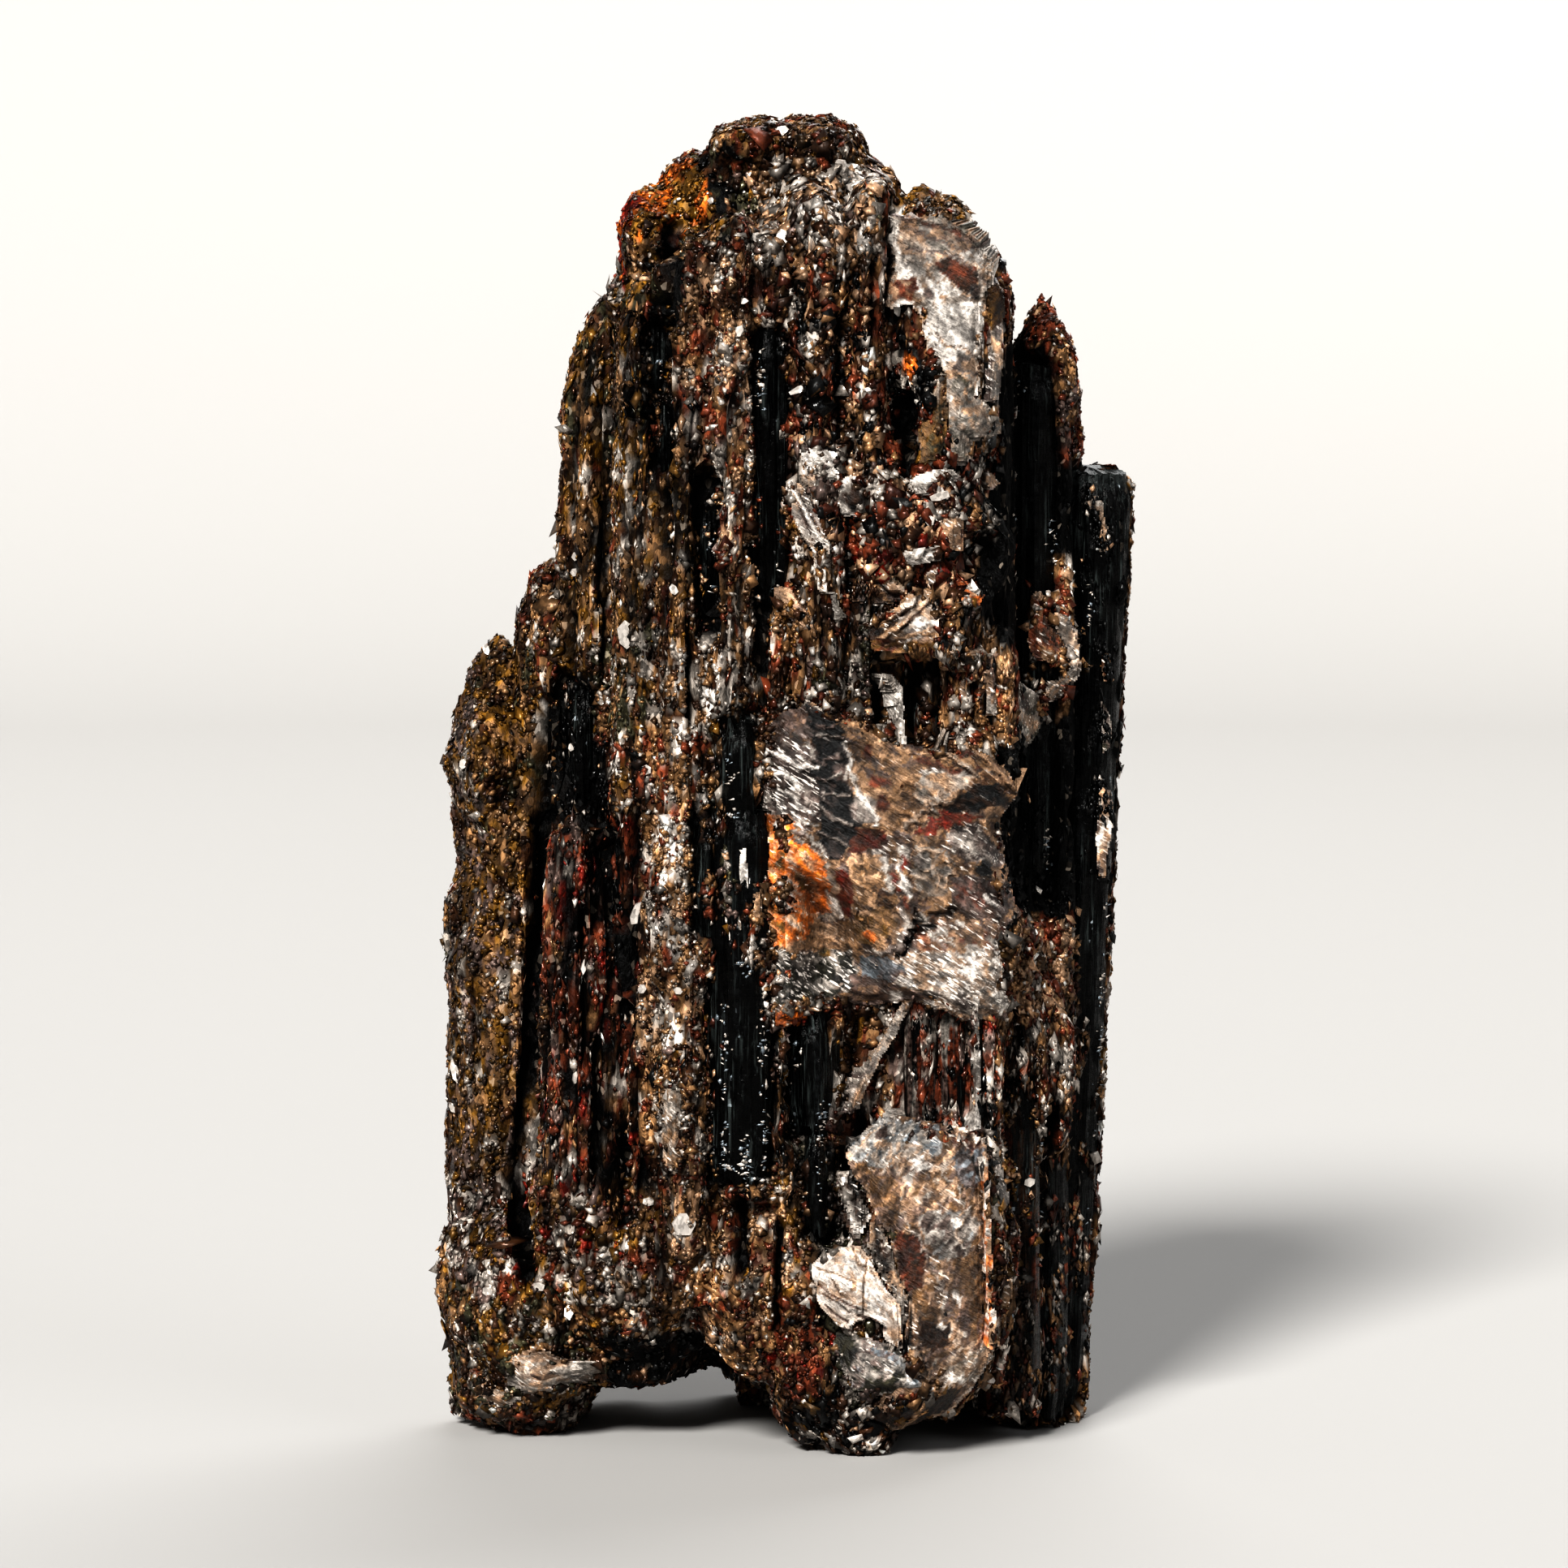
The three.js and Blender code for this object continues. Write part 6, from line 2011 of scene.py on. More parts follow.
@dataclass
class Prism:
    """A tourmaline prism with striated sides, broken across in places, with splintered ends.

    x is its middle and y its middle too, unless it is on the front: then it is laid onto the front surface,
    reaching out of it by proud, but never past front_limit. lean is how far along X its top is from its
    foot. ridges is the number of its long sides, slice_height how tall the parts are that they are cut
    into, and inset the width of the rings on its ends. striation and chip are how deep its striations and
    chips are, chipless the share of its faces without a chip, splinter how long its splinters are, taper
    how much thinner it gets at its ends, and edge how pale its painted rim light is, on the upper part of
    its right side and on its top end.
    """

    name: str
    x: float
    y: Optional[float]
    wide: float
    deep: float
    foot: float
    top: float
    lean: float = 0.0
    mix: Mix = Mix("coal 3 ink 1")
    proud: float = 0.1
    ridges: int = 56
    slice_height: float = 0.7
    striation: float = 0.055
    splinter: float = 0.9
    edge: float = 0.0
    inset: float = 0.16
    chip: float = 0.06
    chipless: float = 0.8
    taper: float = 0.16
    front_limit: float = -13.2
    smooth_angle: float = 24.0

    def placed(self, skin: Skin) -> "Prism":
        """Lays the prism onto the front where its depth is left open.

        Args:
            skin: the solid that carries it.

        Returns:
            The prism with its depth settled.
        """
        if self.y is not None:
            return self
        fronts = [skin.front(self.x, z) or 0.0 for z in np.linspace(self.foot + 1, self.top - 1, 9)]
        front = max(float(np.median(fronts)) - self.proud, self.front_limit)
        return replace(self, y=front + self.deep / 2)

    def rim(self) -> tuple[tuple[float, float], ...]:
        """Returns the prism's outline on the front as corners in x and z."""
        left, right = self.x - self.wide / 2, self.x + self.wide / 2
        return ((left, self.foot), (right, self.foot), (right, self.top), (left, self.top))

    def stands_free(self) -> bool:
        """Tells whether it stands free of crust, as all prisms do but those in the windows."""
        return "window" not in self.name

    def bare(self) -> Bare:
        """Returns the space that the prism keeps free of crust."""
        return Bare(self.x, self.y, self.wide / 2, self.deep / 2, self.foot, self.top, self.lean)

    def build(self, noise: Noise) -> bpy.types.Object:
        """Builds the prism from a cylinder.

        Args:
            noise: the noise for its faces and ends.

        Returns:
            The finished prism.
        """
        height = self.top - self.foot
        deselect_all()
        bpy.ops.mesh.primitive_cylinder_add(
            vertices=self.ridges, radius=0.5 * MM, depth=height * MM,
            location=(0.0, 0.0, (self.foot + height / 2) * MM),
        )
        prism = bpy.context.active_object
        prism.name = self.name
        apply_place(prism)
        self._slice(prism, max(4, int(height / self.slice_height)))
        self._shape(prism, noise)
        bpy.ops.object.shade_smooth_by_angle(angle=math.radians(self.smooth_angle))
        return prism

    def _slice(self, prism: bpy.types.Object, slices: int) -> None:
        """Cuts the long sides across and insets the two ends.

        Args:
            prism: the plain cylinder.
            slices: into how many parts the sides are cut.
        """
        mesh = prism.data
        with edit_mode(Pick.EDGES):
            bpy.ops.mesh.select_all(action="DESELECT")
        for edge in mesh.edges:
            first, second = (mesh.vertices[number].co.z for number in edge.vertices)
            edge.select = abs(first - second) > 0.5 * MM
        with edit_mode(Pick.EDGES):
            bpy.ops.mesh.subdivide(number_cuts=slices - 1)
            bpy.ops.mesh.select_all(action="DESELECT")
        for face in mesh.polygons:
            face.select = abs(face.normal.z) > 0.9
        with edit_mode(Pick.FACES):
            for _ in range(2):
                bpy.ops.mesh.inset(thickness=self.inset * MM, use_even_offset=False)

    def _shape(self, prism: bpy.types.Object, noise: Noise) -> None:
        """Gives the cylinder its three-sided section, striations, chips and splintered ends.

        Args:
            prism: the sliced cylinder.
            noise: the noise for them.
        """
        points = read_points(prism)
        angle = np.arctan2(points[:, 1], points[:, 0])
        share = np.hypot(points[:, 0], points[:, 1]) / 0.5
        turn = self.x * 0.7 + self.y
        girth = (self.wide + self.deep) / 4
        ring = np.stack(
            [np.cos(angle) * girth + self.x, np.sin(angle) * girth + self.y, points[:, 2]], axis=1
        )
        lines = noise.smooth(ring, (0.42, 0.42, 11), 80) + 0.6 * noise.smooth(ring, (0.22, 0.22, 6), 81)
        chips, _ = noise.cells(ring, (0.7, 0.7, 1.6), 82)
        chipped = noise.at_cell(chips, 85) > self.chipless
        reach = 1 + 0.07 * np.cos(3 * (angle - turn)) + 0.03 * np.cos(6 * (angle + turn))
        reach += self.striation * lines * (2.6 / girth) ** 0.5 - self.chip * chipped
        height = (points[:, 2] - self.foot) / (self.top - self.foot)
        columns, _ = noise.cells(ring * np.array([1, 1, 0.02]), (0.55, 0.55, 1.0), 86)
        broken = self.splinter * (noise.at_cell(columns, 89) - 0.35)
        end = eased(np.abs(height - 0.5) * 2, 1 - 5.0 / max(self.top - self.foot, 6.0), 1.0)
        reach *= 1 - self.taper * end
        away = np.where(height > 0.5, -1.0, 1.0)
        points[:, 2] += away * end * (np.abs(broken) + 0.35 * share)
        points[:, 0] = self.x + np.cos(angle) * share * reach * self.wide / 2 + self.lean * (height - 0.5)
        points[:, 1] = self.y + np.sin(angle) * share * reach * self.deep / 2
        points[:, 2] = np.clip(points[:, 2], GROUND, TOP)
        write_points(prism, points)
        stripes, _ = noise.cells(ring, (0.5, 0.5, 5.0), 90)
        colours = self.mix.draw(noise.at_cell(stripes, 93))
        light = 0.6 + 0.9 * noise.at_cell(chips, 94)
        # Painted rim light: a pale edge on the upper right side and at the top end.
        rim_lit = np.maximum(eased(np.cos(angle), 0.84, 0.96), eased(height, 0.975, 0.99)) * (height > 0.55)
        pale = np.array([0.86, 1.0, 0.98]) * self.edge * (0.7 + 0.3 * lines[:, None]) * rim_lit[:, None]
        write_tint(prism, colours * light[:, None] + pale, np.clip(0.55 + 0.3 * lines, 0.1, 1))


# The tones of the prisms in the dark window between the crumpled sheet and the book.
WINDOW_MIX = Mix("coal 4 rust 2 mauve 3 red 0.3 silver 1.8")

# The bare prisms, each as x, y, width, depth, foot and top. One without a y is laid onto the front. The
# last seven are on the back.
PRISMS = (
    Prism("black_stripe", -0.8, None, 2.2, 4.6, 50.6, 67.8),
    Prism("centre_left", -4.5, None, 2.4, 4.2, 31.0, 38.6, proud=-0.3),
    Prism("centre_main", -2.45, None, 4.0, 4.8, 16.3, 39.4, splinter=1.4),
    Prism("centre_top", -2.7, None, 2.7, 4.4, 36.0, 44.9, splinter=1.6, proud=0.0),
    Prism("centre_right", -1.0, None, 2.0, 4.4, 30.0, 38.7, splinter=1.2, proud=0.0),
    Prism("second_black", 1.7, None, 3.2, 4.6, 19.0, 27.3, splinter=1.2),
    Prism("second_black_low", 2.0, None, 2.0, 4.2, 13.0, 20.4, splinter=1.0, proud=0.0),
    Prism("upper_left_black", -7.5, None, 1.6, 4.0, 62.6, 68.2, proud=-0.2),
    Prism("upper_left_black_low", -7.0, None, 1.2, 4.0, 58.6, 63.2, proud=-0.3),
    Prism("middle_left_black", -4.4, None, 1.6, 4.0, 49.2, 57.2, proud=-0.2),
    Prism("dark_band_black", -12.0, None, 2.0, 4.4, 38.4, 46.0, proud=-0.4),
    Prism("recess_black", 14.6, 1.5, 4.4, 6.4, 32.6, 65.6),
    # right_black carries a pale painted rim light along its right edge.
    Prism("right_black", 17.3, 3.9, 5.0, 6.2, 0.1, 58.9, lean=2.8, ridges=72, edge=0.055),
    Prism("lower_right_black", 15.4, 0.8, 4.2, 5.6, 0.1, 25.6),
    Prism("lower_right_front", 13.6, -3.7, 3.6, 6.0, 1.6, 22.4, mix=Mix("coal 5 umber 2 rust 1")),
    Prism("window_left", 8.2, None, 2.0, 3.7, 18.5, 28.0, mix=WINDOW_MIX, proud=0.2),
    Prism("window_middle", 10.0, None, 2.0, 3.7, 18.5, 28.0, mix=WINDOW_MIX, proud=0.3),
    Prism("window_right", 11.7, None, 1.8, 3.7, 18.5, 28.0, mix=WINDOW_MIX, proud=0.2),
    Prism(
        "upper_window_left", 10.7, None, 1.9, 3.5, 41.0, 48.2, mix=Mix("bronze 2 rust 3 coal 3 tan 1"),
        proud=0.0,
    ),
    Prism(
        "upper_window_right", 12.6, None, 1.8, 3.5, 41.0, 48.6, mix=Mix("tan 2 rust 2 coal 3 bronze 2"),
        proud=0.0,
    ),
    Prism(
        "upper_window_middle", 8.6, None, 2.2, 3.5, 41.0, 46.6, mix=Mix("rust 3 coal 4 bronze 1"),
        proud=-0.3,
    ),
    Prism("rear_black", 0.9, 9.0, 4.6, 6.4, 36.0, 75.2, splinter=1.6, striation=0.1),
    Prism("rear_black_side", -1.7, 9.2, 2.6, 4.6, 44.0, 66.0, splinter=1.4, striation=0.1),
    Prism("rear_black_low", -0.2, 9.0, 5.0, 6.4, 5.0, 32.6, splinter=1.6, striation=0.1),
    Prism("rear_left_black", -9.8, 7.8, 4.0, 5.4, 33.0, 61.6, splinter=1.4, striation=0.1),
    Prism("rear_left_side", -12.4, 7.0, 2.2, 4.4, 34.0, 47.0, splinter=1.2, striation=0.1),
    Prism("rear_right_black", 14.2, 7.3, 4.2, 5.4, 30.0, 61.2, splinter=1.4, striation=0.1),
    Prism("rear_right_low", 13.7, 7.4, 3.8, 5.4, 4.0, 25.0, splinter=1.6, striation=0.1),
)


@dataclass
class Sparkles:
    """The bright single mica plates that catch the light, listed as x, z, width and height.

    thick is their thickness, lift how far their middles stand out, uneven how far their corners are from
    the middle, and turns how far they lean, roll and spin at random, in radians.
    """

    name: str = "bright_plates"
    plates: tuple[tuple[float, float, float, float], ...] = (
        (-0.2, 79.0, 1.0, 0.6), (3.4, 76.9, 0.8, 0.8), (4.1, 75.6, 0.9, 0.7), (-0.8, 75.4, 0.8, 0.6),
        (-0.1, 72.8, 0.9, 1.2), (-1.6, 72.8, 0.7, 0.6), (-4.4, 74.9, 0.4, 0.5), (-9.4, 49.1, 1.2, 2.0),
        (-8.8, 32.6, 0.7, 1.8), (-5.9, 14.3, 1.5, 1.3), (-6.8, 22.0, 0.9, 1.0), (-6.8, 20.5, 0.8, 0.8),
        (-2.4, 69.0, 0.7, 0.5), (-2.7, 67.2, 0.9, 0.6), (6.8, 68.4, 0.8, 0.9), (-12.5, 53.6, 0.6, 0.7),
        (-12.6, 52.6, 0.5, 0.5), (14.8, 16.0, 0.9, 0.7), (-20.1, 21.9, 0.5, 1.7), (-20.2, 19.7, 0.5, 0.8),
        (-12.8, 42.1, 0.4, 0.6), (-8.2, 41.2, 0.8, 0.8), (-6.5, 52.0, 0.5, 0.7), (-12.9, 8.2, 0.7, 0.9),
        (-14.8, 9.9, 0.8, 0.7), (-17.8, 9.4, 0.8, 0.6), (-8.5, 28.1, 0.5, 0.6), (-6.3, 28.2, 0.6, 0.5),
        (-12.5, 22.6, 0.4, 1.0), (16.6, 48.8, 0.6, 0.8), (12.4, 4.5, 0.8, 0.5), (-8.1, 15.3, 0.7, 0.5),
        (-11.9, 29.4, 0.4, 1.1), (-18.1, 47.6, 0.5, 0.7), (-19.4, 40.9, 0.5, 0.7), (-2.1, 49.5, 0.4, 0.9),
        (0.9, 63.8, 1.4, 0.4), (9.1, 57.5, 1.4, 0.6), (8.6, 56.1, 0.6, 0.8),
    )
    thick: float = 0.3
    lift: float = 0.075
    uneven: tuple[float, float] = (0.7, 1.15)
    turns: tuple[float, float, float] = (0.14, 0.5, 0.2)

    def build(self, skin: "Dressed", rng: np.random.Generator) -> bpy.types.Object:
        """Builds the plates on whatever lies in front at their places, and joins them.

        Args:
            skin: the fronts that they are laid on.
            rng: the generator for what is random.

        Returns:
            The joined plates.
        """
        made = [self._plate(plate, skin, rng) for plate in self.plates]
        joined = join(made, self.name)
        points = read_points(joined)
        light = Noise(SEED).at_cell(np.floor(points / 0.25), 5)[:, None] * 0.5 + 0.5
        # The pearl colour is pale mica and partly a painted highlight where the plates flash.
        write_tint(joined, Tone.PEARL.linear() * light, np.full(len(points), 0.8))
        return joined

    def _plate(
        self, plate: tuple[float, float, float, float], skin: "Dressed", rng: np.random.Generator
    ) -> bpy.types.Object:
        """Builds one uneven six-sided plate, turned a little at random.

        Args:
            plate: its x, z, width and height.
            skin: the fronts that it is laid on.
            rng: the generator for what is random.

        Returns:
            The plate.
        """
        x, z, wide, tall = plate
        front = skin.front(x, z)
        depth = front if front is not None else 0.0
        deselect_all()
        bpy.ops.mesh.primitive_cylinder_add(
            vertices=6, radius=0.5, depth=1.0, location=(x * MM, (depth - self.lift) * MM, z * MM),
        )
        made = bpy.context.active_object
        reach = rng.uniform(*self.uneven, 6)
        for vertex in made.data.vertices:
            corner = round(math.atan2(vertex.co.y, vertex.co.x) / (math.pi / 3)) % 6
            vertex.co.x *= reach[corner]
            vertex.co.y *= reach[corner]
        made.scale = (wide * MM, tall * MM, self.thick * MM)
        lean, roll, spin = (rng.normal(0, turn) for turn in self.turns)
        made.rotation_euler = (math.pi / 2 + lean, roll, spin)
        apply_place(made)
        with edit_mode(Pick.FACES):
            bpy.ops.mesh.select_all(action="SELECT")
            bpy.ops.mesh.subdivide(number_cuts=2, fractal=0.2, seed=int(rng.integers(1, 1000)))
        return made


@dataclass
class Glints:
    """Painted glints off breaks: tiny pale specks on the black prisms, as x, z of a line's two ends and how
    many lie along it.

    size is their width and flat their height beside it, both varied by size_spread. spread is how far they
    stray from the line, slope how much they slant, and half_thick half their thickness.
    """

    name: str = "prism_glints"
    lines: tuple[tuple[float, float, float, float, int], ...] = (
        (-1.4, 66.4, -1.3, 62.6, 34), (-0.6, 56.0, -0.4, 52.0, 6), (-4.4, 56.0, -4.3, 50.0, 14),
        (-3.3, 43.6, -3.0, 38.6, 22), (-3.6, 27.4, -3.5, 17.2, 60), (-1.3, 26.8, -1.2, 17.4, 60),
        (-2.3, 20.0, -2.2, 16.6, 40), (-3.4, 17.8, -1.2, 16.9, 40), (-2.6, 30.0, -1.2, 28.0, 12),
        (0.9, 25.6, 0.6, 19.0, 14), (2.4, 23.0, 2.2, 18.0, 34), (2.2, 18.0, 2.0, 14.0, 10),
        (-7.4, 66.0, -7.2, 60.0, 8), (16.2, 58.0, 16.4, 50.0, 20), (15.8, 38.0, 16.2, 33.5, 20),
        (18.4, 57.4, 18.8, 46.0, 14), (19.6, 32.0, 18.6, 4.0, 60), (15.4, 24.0, 15.6, 4.0, 30),
        (13.9, 17.0, 13.7, 5.0, 20), (14.2, 64.0, 13.8, 54.0, 10),
    )
    size: float = 0.2
    flat: float = 0.6
    size_spread: float = 0.5
    spread: float = 0.16
    slope: float = 0.35
    half_thick: float = 0.05

    def build(self, skin: "Dressed", rng: np.random.Generator) -> bpy.types.Object:
        """Builds the glints on whatever lies in front at their places.

        Args:
            skin: the fronts that they are laid on.
            rng: the generator for what is random.

        Returns:
            The glints as one piece.
        """
        places = []
        for x0, z0, x1, z1, count in self.lines:
            middles = rng.random(max(2, count // 6))
            share = np.clip(rng.choice(middles, count) + rng.normal(0, 0.5, count) / (z0 - z1), 0, 1)
            x = x0 + (x1 - x0) * share + rng.normal(0, self.spread, count)
            z = z0 + (z1 - z0) * share
            places.extend((a, skin.front(a, b), b) for a, b in zip(x, z))
        spots = np.array([place for place in places if place[1] is not None])
        count = len(spots)
        wide = self.size * np.exp(rng.normal(0, self.size_spread, (count, 1)))
        tall = self.size * self.flat * np.exp(rng.normal(0, self.size_spread, (count, 1)))
        slope = rng.normal(0, self.slope, (count, 1))
        across = np.concatenate([np.ones((count, 1)), np.zeros((count, 1)), slope], axis=1) * wide / 2
        along = np.concatenate([-slope, np.zeros((count, 1)), np.ones((count, 1))], axis=1) * tall / 2
        out = np.tile([0.0, -self.half_thick, 0.0], (count, 1))
        rim = np.stack([spots + across, spots + along, spots - across, spots - along], axis=1)
        points = np.concatenate([rim + out[:, None], rim - out[:, None]], axis=1).reshape(-1, 3)
        box = [(0, 1, 2), (0, 2, 3), (4, 6, 5), (4, 7, 6)]
        for corner in range(4):
            after = (corner + 1) % 4
            box += [(corner, 4 + corner, 4 + after), (corner, 4 + after, after)]
        faces = (np.array(box)[None] + (np.arange(count) * 8)[:, None, None]).reshape(-1, 3)
        made = mesh_object(self.name, points, faces)
        make_active(made)
        with edit_mode(Pick.FACES):
            bpy.ops.mesh.select_all(action="SELECT")
            bpy.ops.mesh.normals_make_consistent(inside=False)
        # Their steel, silver and pearl tones are painted glints.
        tones = Mix("steel 3 silver 2 pearl 1").draw(rng.random(count))
        write_tint(made, np.repeat(tones, 8, axis=0), np.full(count * 8, 0.7))
        return made


class Dressed:
    """The fronts of finished pieces, for laying the last small things on them."""

    def __init__(self, pieces: Sequence[bpy.types.Object]) -> None:
        """Reads the pieces' faces.

        Args:
            pieces: finished pieces.
        """
        self.trees = []
        for piece in pieces:
            points = [vertex.co / MM for vertex in piece.data.vertices]
            faces = [tuple(face.vertices) for face in piece.data.polygons]
            self.trees.append(BVHTree.FromPolygons(points, faces))

    def front(self, x: float, z: float) -> Optional[float]:
        """Finds what lies furthest to the front.

        Args:
            x: the place's x.
            z: the place's z.

        Returns:
            The least y there, or None beside the pieces.
        """
        start, way = Vector((x, RAY_START, z)), Vector((0.0, 1.0, 0.0))
        found = [tree.ray_cast(start, way)[0] for tree in self.trees]
        depths = [place.y for place in found if place is not None]
        return min(depths) if depths else None


class Socket:
    """A value in a material's nodes, on which arithmetic adds Math nodes."""

    def __init__(self, finish: "NodeTree", output: bpy.types.NodeSocket) -> None:
        """Wraps a node's output."""
        self.finish = finish
        self.output = output

    def _math(self, operation: str, *values: "Socket | float") -> "Socket":
        """Adds a Math node; returns its result."""
        return self.finish.node("ShaderNodeMath", {"operation": operation}, dict(enumerate(values)))

    def __add__(self, other: "Socket | float") -> "Socket":
        """Returns self + other."""
        return self._math("ADD", self, other)

    def __radd__(self, other: float) -> "Socket":
        """Returns other + self."""
        return self._math("ADD", other, self)

    def __sub__(self, other: "Socket | float") -> "Socket":
        """Returns self - other."""
        return self._math("SUBTRACT", self, other)

    def __rsub__(self, other: float) -> "Socket":
        """Returns other - self."""
        return self._math("SUBTRACT", other, self)

    def __mul__(self, other: "Socket | float") -> "Socket":
        """Returns self * other."""
        return self._math("MULTIPLY", self, other)

    def __rmul__(self, other: float) -> "Socket":
        """Returns other * self."""
        return self._math("MULTIPLY", other, self)

    def __pow__(self, power: float) -> "Socket":
        """Returns self to this power."""
        return self._math("POWER", self, power)

    def clamped(self) -> "Socket":
        """Returns self held between 0 and 1."""
        return self._math("MAXIMUM", self._math("MINIMUM", self, 1.0), 0.0)


class NodeTree:
    """Builds one material's nodes."""

    # The Mix node's sockets for colours, by number: its share, its two colours and its result.
    MIX_SHARE, MIX_FROM, MIX_TO, MIX_RESULT = 0, 6, 7, 2

    def __init__(self, name: str) -> None:
        """Makes an empty material.

        Args:
            name: the material's name.
        """
        self.material = bpy.data.materials.new(name)
        self.material.use_nodes = True
        self.tree = self.material.node_tree
        self.tree.nodes.clear()

    def node(self, kind: str, settings: dict, inputs: dict, output: "int | str" = 0) -> Socket:
        """Adds a node.

        Args:
            kind: the node's type.
            settings: properties that are set first.
            inputs: values or sockets by input name or number.
            output: which output is wanted.

        Returns:
            The wanted output.
        """
        made = self.tree.nodes.new(kind)
        for key, value in settings.items():
            setattr(made, key, value)
        for key, value in inputs.items():
            if isinstance(value, Socket):
                self.tree.links.new(value.output, made.inputs[key])
            else:
                made.inputs[key].default_value = value
        return Socket(self, made.outputs[output])

    def place(self, scale: Sequence[float], turn: float = 0.0) -> Socket:
        """Gives the object's coordinates in millimetres, scaled.

        Args:
            scale: the factors along x, y and z.
            turn: how far they are turned about Y, in degrees.

        Returns:
            The coordinates.
        """
        place = self.node("ShaderNodeTexCoord", {}, {}, "Object")
        if turn:
            turned = {"Vector": place, "Rotation": (0.0, math.radians(turn), 0.0)}
            place = self.node("ShaderNodeMapping", {}, turned)
        size = tuple(value / MM for value in scale)
        return self.node("ShaderNodeMapping", {}, {"Vector": place, "Scale": size})

    def grain(self, scale: Sequence[float], detail: float = 3.0, turn: float = 0.0) -> Socket:
        """Returns noise whose humps per millimetre are given by scale."""
        inputs = {"Vector": self.place(scale, turn), "Scale": 1.0, "Detail": detail, "Roughness": 0.6}
        return self.node("ShaderNodeTexNoise", {}, inputs, 0)

    def cells(self, scale: Sequence[float], turn: float = 0.0, warp: float = 0.0) -> tuple[Socket, Socket]:
        """Divides the object into many small cells.

        Args:
            scale: how many cells there are in a millimetre along x, y and z.
            turn: how far they are turned about Y, in degrees.
            warp: how far noise bends them.

        Returns:
            A random colour and a random number for each cell.
        """
        place = self.place(scale, turn)
        if warp:
            noise = {"Vector": place, "Scale": 1.0, "Detail": 3.0}
            bend = self.node("ShaderNodeTexNoise", {}, noise, "Color")
            place = self.vector("ADD", {0: place, 1: self.scaled(bend, warp)})
        inputs = {"Vector": place, "Scale": 1.0}
        colour = self.node("ShaderNodeTexVoronoi", {}, inputs, "Color")
        return colour, self.node("ShaderNodeSeparateXYZ", {}, {0: colour}, 0)

    def tint(self, output: str) -> Socket:
        """Returns the points' own colour, or their fourth number as Alpha."""
        return self.node("ShaderNodeAttribute", {"attribute_name": TINT}, {}, output)

    def vector(self, operation: str, inputs: dict) -> Socket:
        """Adds a Vector Math node; returns its result."""
        return self.node("ShaderNodeVectorMath", {"operation": operation}, inputs)

    def scaled(self, colour: Socket, amount: Socket | float) -> Socket:
        """Returns a colour or a vector times a number."""
        return self.vector("SCALE", {0: colour, "Scale": amount})

    def paler(self, colour: Socket, pale: Sequence[float], share: Socket) -> Socket:
        """Returns a colour mixed towards a pale one."""
        inputs = {self.MIX_SHARE: share, self.MIX_FROM: colour, self.MIX_TO: (*pale, 1.0)}
        return self.node("ShaderNodeMix", {"data_type": "RGBA"}, inputs, self.MIX_RESULT)

    def bumped(self, height: Socket, distance: float) -> Socket:
        """Returns normals bumped by a height that stands for some millimetres."""
        sockets = {"Strength": 1.0, "Distance": distance * MM, "Height": height}
        return self.node("ShaderNodeBump", {}, sockets)

    def facets(self, normal: Socket, colour: Socket, strength: float) -> Socket:
        """Tilts the normals of each cell its own way.

        Args:
            normal: the normals.
            colour: the cells' random colours.
            strength: how far they are tilted.

        Returns:
            The tilted normals.
        """
        shift = self.scaled(self.vector("SUBTRACT", {0: colour, 1: (0.5, 0.5, 0.5)}), strength)
        return self.vector("NORMALIZE", {0: self.vector("ADD", {0: normal, 1: shift})})

    def finish(self, inputs: dict) -> bpy.types.Material:
        """Ends the material with a Principled shader.

        Args:
            inputs: the shader's values by input name.

        Returns:
            The material.
        """
        shader = self.node("ShaderNodeBsdfPrincipled", {}, inputs)
        made = self.tree.nodes.new("ShaderNodeOutputMaterial")
        self.tree.links.new(shader.output, made.inputs["Surface"])
        return self.material


@dataclass(frozen=True)
class CrustFinish:
    """The crust between the flakes: granular, pale specks partly painted highlight, painted shade in gaps
    and where bare.
    """

    name: str = "granular_crust"
    specular: float = 0.1
    grit_and_highlight: tuple[float, float, float] = (0.26, 0.22, 0.18)

    def material(self) -> bpy.types.Material:
        """Makes the material.

        Returns:
            The material.
        """
        nodes = NodeTree(self.name)
        grain = nodes.grain((4.5, 4.5, 2.4), 4.0)
        cell, chance = nodes.cells((3.4, 3.4, 2.4))
        # Most cells are dark and a few bright; the brightest are mixed towards a pale tone, partly grit and
        # partly painted highlight.
        light = 0.14 + chance * chance * 1.5 + grain * 0.4
        colour = nodes.paler(nodes.tint("Color"), self.grit_and_highlight, ((chance - 0.93) * 5.0).clamped())
        # Darker where the fourth number is high, in gaps and under bare prisms: painted shade.
        colour = nodes.scaled(colour, light * (1 - nodes.tint("Alpha") * 0.6) * 1.1)
        roughness = (0.5 + (grain - 0.5) * 0.5).clamped()
        normal = nodes.facets(nodes.bumped(grain, 0.16), cell, 0.55)
        inputs = {"Base Color": colour, "Roughness": roughness, "Metallic": 0.0, "Normal": normal}
        return nodes.finish({**inputs, "Specular IOR Level": self.specular})


